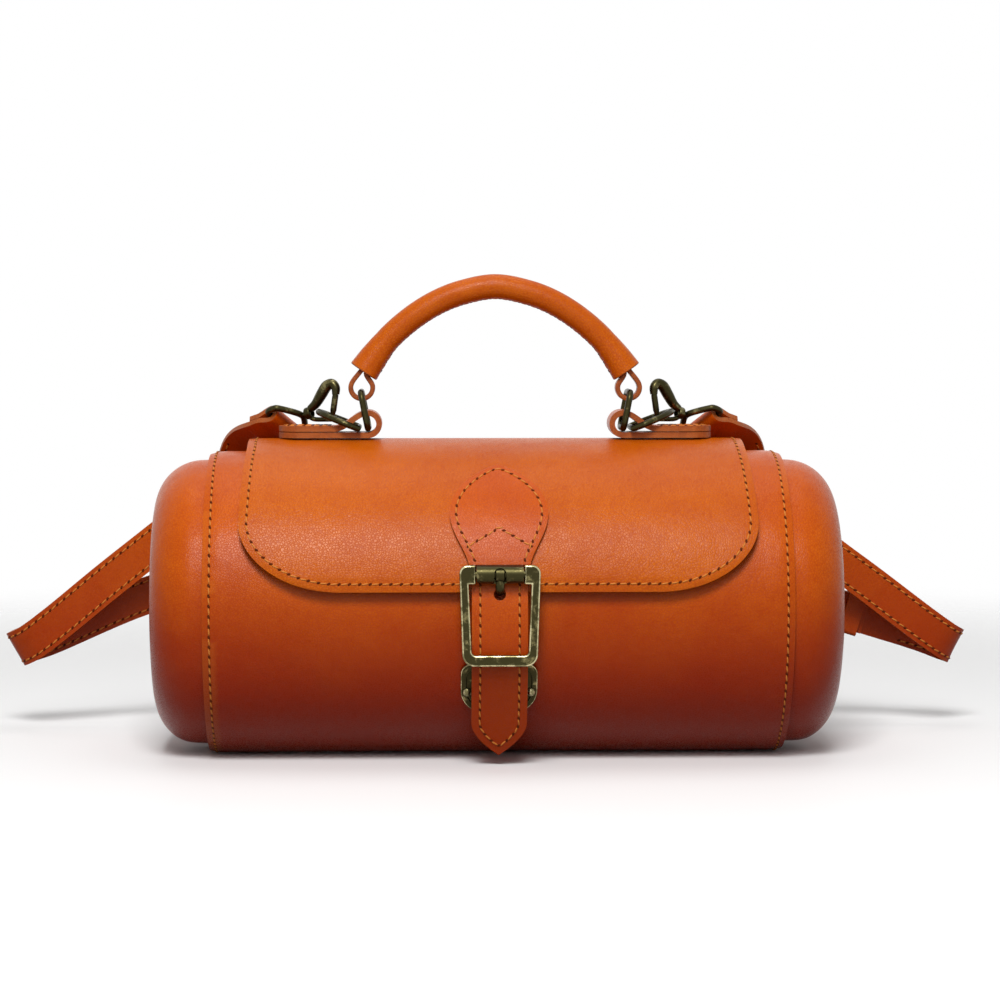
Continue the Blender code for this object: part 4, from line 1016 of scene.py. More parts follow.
class Palette:
    """The finishes of the handbag, each made once."""

    def __init__(self) -> None:
        """Make every material."""
        self.groups = GroupMaker()
        self.made: dict[Finish, bpy.types.Material] = {}
        self._leather(Finish.LEATHER, LeatherLook())
        # The panel and caps take the painted low shade at full strength, with some burnish; the strap
        # leather takes most of it.
        self._leather(Finish.SHELL, LeatherLook(tan=(0.58, 0.108, 0.002), depth=0.15, burnish_and_shade=1.0))
        self._leather(Finish.STRAP, LeatherLook(tan=(0.57, 0.098, 0.002), grain=1250.0, depth=0.15,
                                                burnish_and_shade=0.7))
        self._cut_edge()
        self._suede()
        self._metal(Finish.BRASS, MetalLook())
        # Lighter brass for bevels and rivet heads: partly rubbed wear, partly a painted highlight on
        # edges.
        self._metal(Finish.BRIGHT, MetalLook((0.16, 0.14, 0.065), (0.55, 0.50, 0.29), 0.6, 0.16))
        self._metal(Finish.MAGNET, MetalLook((0.10, 0.10, 0.10), (0.42, 0.42, 0.41), 0.5, 0.34))
        self._thread()
        # Painted shade of the stitch holes, as dark marks on the surface.
        self._plain(Finish.HOLE, (0.070, 0.010, 0.001), (0.13, 0.022, 0.003), 1400.0, 0.85)
        self._plain(Finish.BOARD, (0.14, 0.11, 0.085), (0.24, 0.19, 0.14), 900.0, 0.9)
        self._plain(Finish.ROPE, (0.46, 0.38, 0.27), (0.64, 0.56, 0.43), 2200.0, 0.9)

    def __getitem__(self, finish: Finish) -> bpy.types.Material:
        """The material of a finish."""
        return self.made[finish]

    def _start(self, finish: Finish) -> tuple[Tree, bpy.types.Node]:
        """Keep a new material with one Principled shader.

        Args:
            finish: The finish that it is for.

        Returns:
            The tree helper and the shader.
        """
        material = bpy.data.materials.new(finish.value.replace(" ", "_"))
        self.made[finish] = material
        material.use_nodes = True
        material.node_tree.nodes.clear()
        tree = Tree(material.node_tree)
        shader = tree.add("ShaderNodeBsdfPrincipled")
        tree.link(shader.outputs[0], tree.add("ShaderNodeOutputMaterial").inputs[0])
        return tree, shader

    @staticmethod
    def _use(tree: Tree, group: bpy.types.NodeTree, **values: object) -> bpy.types.Node:
        """Put a group into a material.

        Args:
            tree: The material's tree helper.
            group: The group.
            values: Its inputs by name.

        Returns:
            The group node.
        """
        node = tree.add("ShaderNodeGroup", node_tree=group)
        for name, value in values.items():
            tree.feed(node.inputs[name], value)
        return node

    @staticmethod
    def _bump(tree: Tree, height: bpy.types.NodeSocket, strength: float, distance: float,
              before: bpy.types.NodeSocket | None = None) -> bpy.types.NodeSocket:
        """A normal that follows a height.

        Args:
            tree: The tree helper.
            height: The height.
            strength: How strong it is.
            distance: Its depth in metres.
            before: A normal that it adds to.

        Returns:
            The normal's socket.
        """
        node = tree.add("ShaderNodeBump")
        node.inputs["Strength"].default_value = strength
        node.inputs["Distance"].default_value = distance
        tree.link(height, node.inputs["Height"])
        if before is not None:
            tree.link(before, node.inputs["Normal"])
        return node.outputs[0]

    def _leather(self, finish: Finish, look: LeatherLook) -> None:
        """Vegetable-tanned leather.

        Args:
            finish: The finish.
            look: Its colours and textures.
        """
        tree, shader = self._start(finish)
        place = tree.object_place()
        grain = self._use(tree, self.groups.grain, Vector=place, Scale=look.grain)
        patina = self._use(tree, self.groups.patina, Vector=place, Burnish=look.burnish_and_shade)
        wear_and_shade = self._use(tree, self.groups.wear_and_shade, Vector=place)
        middle = tuple(0.72 * a + 0.28 * b for a, b in zip(look.tan, look.dark))
        colour = tree.mix(patina.outputs["Clouds"], middle, look.tan)
        creases, scuffs = grain.outputs["Creases"], patina.outputs["Scuffs"]
        # Grain creases, scuffs and rubbed edges are the leather's own colour; the low mask is painted
        # shade with some burnish, and the hollows mask is painted shade.
        for mask, tone in ((tree.part(creases, 0.42), look.dark),
                           (tree.part(scuffs, 0.14), look.pale),
                           (patina.outputs["LowBurnishAndShade"], look.dark),
                           (tree.part(wear_and_shade.outputs["HollowShade"], 0.35), look.dark),
                           (tree.part(wear_and_shade.outputs["Rubbed"], 0.16), look.pale)):
            colour = tree.mix(mask, colour, tone)
        tree.link(colour, shader.inputs["Base Color"])
        rough = tree.math("MULTIPLY_ADD", patina.outputs["Clouds"], -0.07, look.rough + 0.08)
        rough = tree.math("ADD", rough, tree.part(creases, 0.10))
        rough = tree.math("ADD", rough, tree.part(scuffs, 0.12))
        tree.link(rough, shader.inputs["Roughness"])
        shader.inputs["Specular IOR Level"].default_value = 0.12
        soft = self._bump(tree, tree.noise(place, 150.0, 3.0, 0.5), 0.2, 0.0012)
        tree.link(self._bump(tree, grain.outputs["Height"], look.depth, 0.00045, soft),
                  shader.inputs["Normal"])

    def _cut_edge(self) -> None:
        """The cut edge of leather, with its fibres."""
        tree, shader = self._start(Finish.EDGE)
        place = tree.object_place()
        fibres = tree.noise(place, 2600.0, 5.0, 0.7)
        tone = tree.noise(place, 240.0, 3.0, 0.6)
        wear_and_shade = self._use(tree, self.groups.wear_and_shade, Vector=place)
        # The cut edge's own darker tone, made darker still as painted shade that outlines the pieces.
        colour = tree.mix(tree.remap(fibres, 0.35, 0.65), (0.22, 0.040, 0.004), (0.38, 0.090, 0.013))
        colour = tree.mix(tree.part(tree.remap(tone, 0.45, 0.7), 0.5), colour, (0.15, 0.022, 0.002))
        colour = tree.mix(tree.part(wear_and_shade.outputs["Rubbed"], 0.2), colour, (0.62, 0.20, 0.04))
        tree.link(colour, shader.inputs["Base Color"])
        shader.inputs["Specular IOR Level"].default_value = 0.25
        tree.link(tree.remap(fibres, 0.3, 0.7, 0.40, 0.6), shader.inputs["Roughness"])
        tree.link(self._bump(tree, fibres, 0.4, 0.0003), shader.inputs["Normal"])

    def _suede(self) -> None:
        """The napped lining."""
        tree, shader = self._start(Finish.SUEDE)
        place = tree.object_place()
        nap = tree.noise(place, 1900.0, 6.0, 0.75)
        brushed = tree.noise(place, 45.0, 4.0, 0.6, 0.8)
        colour = tree.mix(tree.remap(nap, 0.3, 0.7), (0.21, 0.085, 0.035), (0.36, 0.17, 0.08))
        colour = tree.mix(tree.part(tree.remap(brushed, 0.4, 0.65), 0.4), colour, (0.42, 0.21, 0.11))
        tree.link(colour, shader.inputs["Base Color"])
        tree.link(tree.remap(nap, 0.3, 0.7, 0.82, 0.96), shader.inputs["Roughness"])
        shader.inputs["Sheen Weight"].default_value = 0.35
        shader.inputs["Sheen Roughness"].default_value = 0.5
        tree.link(self._bump(tree, nap, 0.5, 0.0004), shader.inputs["Normal"])

    def _metal(self, finish: Finish, look: MetalLook) -> None:
        """Antiqued metal, rubbed bright in places.

        Args:
            finish: The finish.
            look: Its colours and textures.
        """
        tree, shader = self._start(finish)
        place = tree.object_place()
        clouds = tree.noise(place, 260.0, 5.0, 0.65, 0.3)
        specks = tree.noise(place, 2400.0, 4.0, 0.6)
        share = tree.remap(clouds, 0.62 - 0.36 * look.share, 0.80 - 0.36 * look.share)
        colour = tree.mix(share, look.dark, look.bright)
        speck = tree.part(tree.remap(specks, 0.58, 0.7), 0.35)
        colour = tree.mix(speck, colour, tuple(0.5 * part for part in look.dark))
        tree.link(colour, shader.inputs["Base Color"])
        shader.inputs["Metallic"].default_value = 1.0
        rough = tree.math("MULTIPLY_ADD", share, -0.14, look.rough + 0.18)
        tree.link(tree.math("ADD", rough, tree.part(speck, 0.4)), shader.inputs["Roughness"])
        cast = self._bump(tree, clouds, 0.12, 0.0003)
        tree.link(self._bump(tree, specks, 0.08, 0.0001, cast), shader.inputs["Normal"])

    def _thread(self) -> None:
        """Waxed thread with twisted strands."""
        tree, shader = self._start(Finish.THREAD)
        place = tree.object_place()
        strands = tree.add("ShaderNodeTexWave", wave_type="BANDS", bands_direction="DIAGONAL")
        tree.link(place, strands.inputs["Vector"])
        strands.inputs["Scale"].default_value = 950.0
        strands.inputs["Distortion"].default_value = 2.0
        fibres = tree.noise(place, 3200.0, 4.0, 0.7)
        colour = tree.mix(strands.outputs["Fac"], (0.52, 0.15, 0.016), (0.70, 0.27, 0.05))
        colour = tree.mix(tree.part(fibres, 0.35), colour, (0.45, 0.11, 0.010))
        tree.link(colour, shader.inputs["Base Color"])
        shader.inputs["Specular IOR Level"].default_value = 0.2
        tree.link(tree.remap(fibres, 0.3, 0.7, 0.48, 0.7), shader.inputs["Roughness"])
        tree.link(self._bump(tree, strands.outputs["Fac"], 0.4, 0.0001), shader.inputs["Normal"])

    def _plain(self, finish: Finish, low: tuple[float, float, float],
               high: tuple[float, float, float], scale: float, rough: float) -> None:
        """A matt fibrous material of two tones.

        Args:
            finish: The finish.
            low: Its dark tone.
            high: Its light tone.
            scale: Frequency of its fibres.
            rough: Its roughness.
        """
        tree, shader = self._start(finish)
        fibres = tree.noise(tree.object_place(), scale, 5.0, 0.7)
        tree.link(tree.mix(tree.remap(fibres, 0.32, 0.68), low, high), shader.inputs["Base Color"])
        shader.inputs["Specular IOR Level"].default_value = 0.1
        tree.link(tree.remap(fibres, 0.3, 0.7, rough - 0.08, rough), shader.inputs["Roughness"])
        tree.link(self._bump(tree, fibres, 0.4, 0.0003), shader.inputs["Normal"])


# Seams


@dataclass
class Seam:
    """A row of stitches along a line that lies on a surface.

    Attributes:
        points: The line.
        normals: The surface's direction at each point.
        pitch: Wanted distance from stitch to stitch.
        closed: Whether the line comes back to its start.
    """

    points: list[Vector]
    normals: list[Vector]
    pitch: float
    closed: bool

    def stations(self, shift: float) -> list[tuple[Vector, Vector, Vector]]:
        """Even places along the line.

        Args:
            shift: Where the first place is, in pitches.

        Returns:
            A point, the line's direction and the surface's direction for each.
        """
        points = [*self.points, self.points[0]] if self.closed else self.points
        normals = [*self.normals, self.normals[0]] if self.closed else self.normals
        along = travelled(points)
        count = max(int(round(along[-1] / self.pitch)), 1)
        step = along[-1] / count
        made = []
        for index in range(count if shift or self.closed else count + 1):
            target = (index + shift) * step
            point = at_distance(points, along, target)
            ahead = (at_distance(points, along, min(target + 0.0004, along[-1]))
                     - at_distance(points, along, max(target - 0.0004, 0.0)))
            made.append((point, ahead.normalized(),
                         at_distance(normals, along, target).normalized()))
        return made


@dataclass(frozen=True)
class StitchSizes:
    """One stitch, or one hole, on its surface.

    Attributes:
        length: Along the seam.
        width: Across the seam.
        height: Away from the surface.
        lift: How far its middle stands off the surface.
        slant: How far it leans across the seam, in radians.
    """

    length: float
    width: float
    height: float
    lift: float
    slant: float


class StitchNodes:
    """The Geometry Nodes group that sets a small rounded shape on each point of a seam."""

    LABELS = ("Length", "Width", "Height", "Lift", "Slant", "Jitter")

    def __init__(self) -> None:
        """Build the group."""
        self.group = bpy.data.node_groups.new("stitch_row", "GeometryNodeTree")
        self.sockets: dict[str, str] = {}
        face = self.group.interface
        face.new_socket("Geometry", in_out="INPUT", socket_type="NodeSocketGeometry")
        for label in self.LABELS:
            socket = face.new_socket(label, in_out="INPUT", socket_type="NodeSocketFloat")
            self.sockets[label] = socket.identifier
        for label, kind in (("Seed", "NodeSocketInt"), ("Material", "NodeSocketMaterial")):
            socket = face.new_socket(label, in_out="INPUT", socket_type=kind)
            self.sockets[label] = socket.identifier
        face.new_socket("Geometry", in_out="OUTPUT", socket_type="NodeSocketGeometry")
        self._lay_out()

    def _lay_out(self) -> None:
        """Add and join the group's nodes."""
        tree = Tree(self.group)
        start, end = tree.add("NodeGroupInput"), tree.add("NodeGroupOutput")
        ball = tree.add("GeometryNodeMeshUVSphere")
        ball.inputs["Segments"].default_value = 10
        ball.inputs["Rings"].default_value = 6
        ball.inputs["Radius"].default_value = 0.5
        size = tree.add("ShaderNodeCombineXYZ")
        for axis, label in enumerate(("Length", "Width", "Height")):
            tree.link(start.outputs[label], size.inputs[axis])
        shaped = tree.add("GeometryNodeTransform")
        tree.link(ball.outputs["Mesh"], shaped.inputs["Geometry"])
        tree.link(size.outputs[0], shaped.inputs["Scale"])
        along = tree.add("GeometryNodeInputNamedAttribute", data_type="FLOAT_VECTOR")
        along.inputs["Name"].default_value = "along"
        out = tree.add("GeometryNodeInputNamedAttribute", data_type="FLOAT_VECTOR")
        out.inputs["Name"].default_value = "out"
        aimed = tree.add("FunctionNodeAxesToRotation", primary_axis="Z", secondary_axis="X")
        tree.link(out.outputs["Attribute"], aimed.inputs[0])
        tree.link(along.outputs["Attribute"], aimed.inputs[1])
        wobble = tree.add("FunctionNodeRandomValue", data_type="FLOAT")
        floats = [socket for socket in wobble.inputs if socket.type == "VALUE"]
        tree.link(tree.math("MULTIPLY", start.outputs["Jitter"], -1.0), floats[0])
        tree.link(start.outputs["Jitter"], floats[1])
        tree.link(start.outputs["Seed"], wobble.inputs["Seed"])
        value = next(socket for socket in wobble.outputs if socket.type == "VALUE")
        lean = tree.math("ADD", start.outputs["Slant"], value)
        turn = tree.add("ShaderNodeCombineXYZ")
        tree.link(lean, turn.inputs[2])
        turned = tree.add("FunctionNodeRotateRotation", rotation_space="LOCAL")
        tree.link(aimed.outputs[0], turned.inputs[0])
        as_turn = tree.add("FunctionNodeEulerToRotation")
        tree.link(turn.outputs[0], as_turn.inputs[0])
        tree.link(as_turn.outputs[0], turned.inputs[1])
        placed = tree.add("GeometryNodeInstanceOnPoints")
        tree.link(start.outputs["Geometry"], placed.inputs["Points"])
        tree.link(shaped.outputs[0], placed.inputs["Instance"])
        tree.link(turned.outputs[0], placed.inputs["Rotation"])
        rise = tree.add("ShaderNodeCombineXYZ")
        tree.link(start.outputs["Lift"], rise.inputs[2])
        lifted = tree.add("GeometryNodeTranslateInstances")
        tree.link(placed.outputs[0], lifted.inputs["Instances"])
        tree.link(rise.outputs[0], lifted.inputs["Translation"])
        lifted.inputs["Local Space"].default_value = True
        real = tree.add("GeometryNodeRealizeInstances")
        tree.link(lifted.outputs[0], real.inputs[0])
        painted = tree.add("GeometryNodeSetMaterial")
        tree.link(real.outputs[0], painted.inputs["Geometry"])
        tree.link(start.outputs["Material"], painted.inputs["Material"])
        tree.link(painted.outputs[0], end.inputs[0])

    def row(self, stations: Sequence[tuple[Vector, Vector, Vector]], sizes: StitchSizes,
            jitter: float, seed: int, material: bpy.types.Material) -> bpy.types.Mesh:
        """The shapes of one or more rows, as a plain mesh.

        Args:
            stations: A point, the seam's direction and the surface's direction for each.
            sizes: The shape's sizes.
            jitter: How unevenly the shapes lean, in radians.
            seed: Which unevenness it is.
            material: Their material.

        Returns:
            The mesh.
        """
        mesh = bpy.data.meshes.new("stations")
        mesh.from_pydata([station[0] for station in stations], [], [])
        for name, place in (("along", 1), ("out", 2)):
            layer = mesh.attributes.new(name, "FLOAT_VECTOR", "POINT")
            for index, station in enumerate(stations):
                layer.data[index].vector = station[place]
        thing = bpy.data.objects.new("stations", mesh)
        modifier = thing.modifiers.new("stitches", "NODES")
        modifier.node_group = self.group
        numbers = (sizes.length, sizes.width, sizes.height, sizes.lift, sizes.slant, jitter)
        for label, number in zip(self.LABELS, numbers):
            modifier[self.sockets[label]] = number
        modifier[self.sockets["Seed"]] = seed
        modifier[self.sockets["Material"]] = material
        return evaluated(thing)


# Workshop


class Workshop:
    """Puts finished meshes into the scene as pieces of the handbag."""

    THREAD = StitchSizes(0.0027, 0.00062, 0.0005, 0.00008, 0.12)
    # The holes are painted shade: small dark shapes laid on the surface.
    HOLES = StitchSizes(0.00145, 0.00085, 0.0003, 0.00012, 0.55)

    def __init__(self, frame: dict) -> None:
        """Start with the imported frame.
        """
        self.nodes = frame["nodes"]
        self.palette = Palette()
        self.stitches = StitchNodes()
        self.seams: dict[str, list[Seam]] = {}

    def piece(self, name: str, mesh: bpy.types.Mesh, body: str | None,
              finishes: Sequence[Finish], nodes: Sequence[str] = (),
              slot: str | None = None, angle: float = 38.0) -> bpy.types.Object:
        """Add a piece that rides on a body.

        Args:
            name: Its name.
            mesh: Its mesh, in the row frame.
            body: The body that it moves with, or None to leave it on no body.
            finishes: A finish for each of its material slots.
            nodes: The CAD nodes that it stands for.
            slot: The record's slot of its finish, where no node is replaced. Not used.
            angle: The least angle of a sharp edge, in degrees.

        Returns:
            The piece.
        """
        for index, finish in enumerate(finishes):
            if index < len(mesh.materials):
                mesh.materials[index] = self.palette[finish]
            else:
                mesh.materials.append(self.palette[finish])
        mesh.shade_smooth()
        mesh.set_sharp_from_angle(angle=math.radians(angle))
        draft = bpy.data.objects.new("draft", mesh)
        draft.modifiers.new("normals", "WEIGHTED_NORMAL").keep_sharp = True
        mesh = evaluated(draft)
        mesh.name = name
        thing = bpy.data.objects.new(name, mesh)
        bpy.context.scene.collection.objects.link(thing)
        if body is not None:
            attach(thing, body)
        if nodes:
            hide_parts(*nodes)
        LOG.info("%s: %d faces", name, len(mesh.polygons))
        return thing

    def dress(self, node: str, finish: Finish) -> None:
        """Give a CAD node that stays a better material.

        Args:
            node: Its name.
            finish: The finish.
        """
        thing = self.nodes[node]
        for slot in thing.material_slots:
            slot.link = "OBJECT"
            slot.material = self.palette[finish]
        LOG.info("%s keeps its own shape", node)

    def seam(self, key: str, points: Sequence[Vector], normals: Sequence[Vector],
             pitch: float = 0.0037, closed: bool = False) -> None:
        """Note a row of stitches for later.

        Args:
            key: The body, or the name of a piece on no body, that it belongs to.
            points: The line.
            normals: The surface's direction at each point.
            pitch: Wanted distance from stitch to stitch.
            closed: Whether the line comes back to its start.
        """
        self.seams.setdefault(key, []).append(
            Seam([Vector(point) for point in points], [Vector(normal) for normal in normals],
                 pitch, closed))

    def sew(self, key: str, name: str, body: str | None, slot: str) -> list[bpy.types.Object]:
        """Make the thread and the painted shade of the stitch holes of the noted rows of one body.

        Args:
            key: The key that the rows were noted under.
            name: Start of the pieces' names.
            body: The body that they move with, or None to leave them on no body.
            slot: The record's slot of the leather that they hold.

        Returns:
            The thread and the painted hole shade.
        """
        made = []
        plan = ((self.THREAD, 0.5, Finish.THREAD, "_thread"), (self.HOLES, 0.0, Finish.HOLE, "_hole_shades"))
        for sizes, shift, finish, ending in plan:
            stations = [station for seam in self.seams[key] for station in seam.stations(shift)]
            mesh = self.stitches.row(stations, sizes, 0.05, len(self.seams), self.palette[finish])
            made.append(self.piece(name + ending, mesh, body, (finish,), slot=slot, angle=80))
        return made


def inset_line(line: Sequence[tuple[float, float]], distance: float) -> list[tuple[float, float]]:
    """A line beside an open plane line, on its left.

    Args:
        line: The plane line.
        distance: How far beside it.

    Returns:
        The new line, without the places where it would double back.
    """
    moved = []
    for index in range(len(line)):
        before, after = line[max(index - 1, 0)], line[min(index + 1, len(line) - 1)]
        along = Vector((after[0] - before[0], after[1] - before[1]))
        if along.length < 1e-9:
            continue
        along.normalize()
        spot = Vector(line[index]) + Vector((-along.y, along.x)) * distance
        nearest = min((spot - Vector(point)).length for point in line)
        if nearest > distance * 0.985:
            moved.append((spot.x, spot.y))
    return moved


class Assembly:
    """A part of the handbag, with its sizes and the workshop that it is made in."""

    SIZES: object

    def __init__(self, shop: Workshop) -> None:
        """Keep the workshop and the part's own sizes."""
        self.shop = shop
        self.sizes = self.SIZES


# Barrel


@dataclass(frozen=True)
class BarrelSizes:
    """Sizes of the barrel, in metres and radians."""

    length: float = 0.213
    radius: float = BARREL_RADIUS
    wall: float = 0.003
    edge_band: float = 0.0055
    edge_drop: float = 0.0011
    ripple: float = 0.00035
    ripple_pitch: float = 0.042
    lining_wall: float = 0.001
    mouth_length: float = 0.166
    mouth_opening: float = 0.036
    mouth_angle: float = math.radians(50.5)
    mouth_corner: float = 0.009
    mouth_depth: float = 0.030
    cap_radius: float = 0.0537
    cap_reach: float = 0.022
    cap_fillet: float = 0.0175
    cap_dome: float = 0.0009
    cap_sunk: float = 0.0008
    cap_wall: float = 0.0012
    cap_flange: float = 0.012
    cap_ripple: float = 0.0004
    cap_ripple_pitch: float = 0.03
    seam_inset: float = 0.0026
    seam_drop: float = 0.00045


class Barrel(Assembly):
    """The wrapped panel, its lining and the moulded ends."""

    SIZES = BarrelSizes()

    def hoop(self, radius: float, floor: float, x: float, steps: int,
             ripple: float = 0.0) -> list[Vector]:
        """A ring of points round the barrel, flattened underneath.

        Args:
            radius: Distance from the axis.
            floor: Height of the flat.
            x: Place along the barrel.
            steps: How many points.
            ripple: The most that a point sinks inward.

        Returns:
            The points.
        """
        ring = []
        for step in range(steps):
            angle = 2 * math.pi * step / steps
            point = soft_floor(on_barrel(radius, angle, x), floor)
            if ripple:
                point = rippled(point, -outward(angle), ripple, self.sizes.ripple_pitch, 3.1)
                point.z = max(point.z, floor)
            ring.append(point)
        return ring

    def mouth(self) -> bpy.types.Mesh:
        """The block that opens the barrel under the flap.

        Returns:
            The closed mesh.
        """
        size = self.sizes
        outline = rounded_outline(size.mouth_length, size.mouth_length, -size.mouth_opening / 2,
                                  size.mouth_opening / 2, size.mouth_corner)
        return plate([outline], size.mouth_depth, barrel_frame(size.radius, size.mouth_angle))

    def build_panel(self) -> None:
        """The leather that is wrapped round the barrel, and its seams."""
        size = self.sizes
        count = 72
        rows = []
        for step in range(count + 1):
            x = size.length * (step / count - 0.5)
            near = max(1 - (size.length / 2 - abs(x)) / size.edge_band, 0.0)
            radius = size.radius - size.edge_drop * near * near
            rows.append(self.hoop(radius, 0.0, x, 240, size.ripple))
        mesh = facing(grid_mesh("panel", rows, loop_columns=True), away_from_axis)
        mesh = thick(mesh, size.wall, -1, 0.0010, [self.mouth()])
        self.shop.piece("panel", mesh, "bag", (Finish.SHELL, Finish.EDGE), ("barrel_panel",))
        for side in (-1, 1):
            x = side * (size.length / 2 - size.seam_inset)
            ring = self.hoop(size.radius - size.seam_drop, 0.0, x, 240)
            normals = [outward(2 * math.pi * step / 240) for step in range(240)]
            self.shop.seam("bag", ring, normals, closed=True)

    def build_lining(self) -> None:
        """The suede inside the panel."""
        size = self.sizes
        length = size.length - 2 * (size.cap_flange + GAP)
        rows = [self.hoop(size.cap_radius, size.wall + GAP, length * (step / 40 - 0.5), 160)
                for step in range(41)]
        mesh = facing(grid_mesh("lining", rows, loop_columns=True), away_from_axis)
        mesh = thick(mesh, size.lining_wall, -1, 0.0003, [self.mouth()], 2)
        self.shop.piece("lining", mesh, "bag", (Finish.SUEDE, Finish.SUEDE), ("barrel_lining",))

    def build_cap(self, side: int, word: str) -> None:
        """One moulded end.

        Args:
            side: 1 for right, -1 for left.
            word: The side's name.
        """
        size = self.sizes
        edge = size.length / 2
        floor = size.wall + GAP
        face = edge + size.cap_reach - size.cap_dome - size.cap_sunk
        flat_radius = size.cap_radius - size.cap_fillet
        profile = [(edge - size.cap_flange * (1 - step / 6), size.cap_radius) for step in range(6)]
        profile += arc_points((face - size.cap_fillet, flat_radius), size.cap_fillet, QUARTER, 0, 22)
        profile += [(face + size.cap_dome * math.sin(QUARTER * (step / 12)),
                     flat_radius * (1 - step / 12)) for step in range(1, 13)]
        rows = []
        for turn in range(200):
            angle = 2 * math.pi * turn / 200
            row = []
            for x, radius in profile:
                point = soft_floor(on_barrel(max(radius, 0.00001), angle, side * x), floor)
                inward = Vector((-side, 0, 0)) if radius < flat_radius else -outward(angle)
                depth = size.cap_ripple if x > edge else 0.0
                point = rippled(point, inward, depth, size.cap_ripple_pitch, 7.7)
                point.z = max(point.z, floor)
                row.append(point)
            rows.append(row)
        mesh = welded(grid_mesh("cap", rows, loop_rows=True), 0.00003)
        middle = Vector((side * edge, 0, AXIS_HEIGHT))
        mesh = facing(mesh, lambda point: point - middle)
        mesh = thick(mesh, size.cap_wall, -1, 0.0)
        self.shop.piece("cap_" + word, mesh, "bag", (Finish.SHELL, Finish.EDGE),
                        ("end_cap_" + word,))

    def build(self) -> None:
        """Make the panel, its lining and both ends."""
        self.build_panel()
        self.build_lining()
        for side, word in SIDES:
            self.build_cap(side, word)
            self.shop.dress("end_board_" + word, Finish.BOARD)


# Flap and closure


@dataclass(frozen=True)
class FlapSizes:
    """Sizes of the flap, in metres and radians."""

    outside: float = 0.0616
    wall: float = 0.0028
    lining_wall: float = 0.0012
    half_width: float = 0.0945
    top_half_width: float = 0.0920
    corner_width: float = 0.0372
    corner_height: float = 0.0274
    lip_angle: float = math.radians(8.4)
    hinge_radius: float = 0.0602
    hinge_forward: float = 0.0175
    lining_inset: float = 0.004
    root_end_angle: float = math.radians(142)
    underlay_wall: float = 0.0014
    underlay_inset: float = 0.0012
    bend: float = 0.0066
    seam_inset: float = 0.0029
    edge_band: float = 0.005
    edge_drop: float = 0.00025
    ripple: float = 0.0005
    ripple_pitch: float = 0.036
    ripple_fade: float = 0.015

    @property
    def hinge_angle(self) -> float:
        """Angle of the hinge line round the barrel."""
        return math.acos(self.hinge_forward / self.hinge_radius)

    @property
    def arc(self) -> float:
        """Distance from the lip to the hinge line, along the outside."""
        return (self.hinge_angle - self.lip_angle) * self.outside

    @property
    def full(self) -> float:
        """Distance from the lip to the back edge of the root, along the outside."""
        return (self.root_end_angle - self.lip_angle) * self.outside


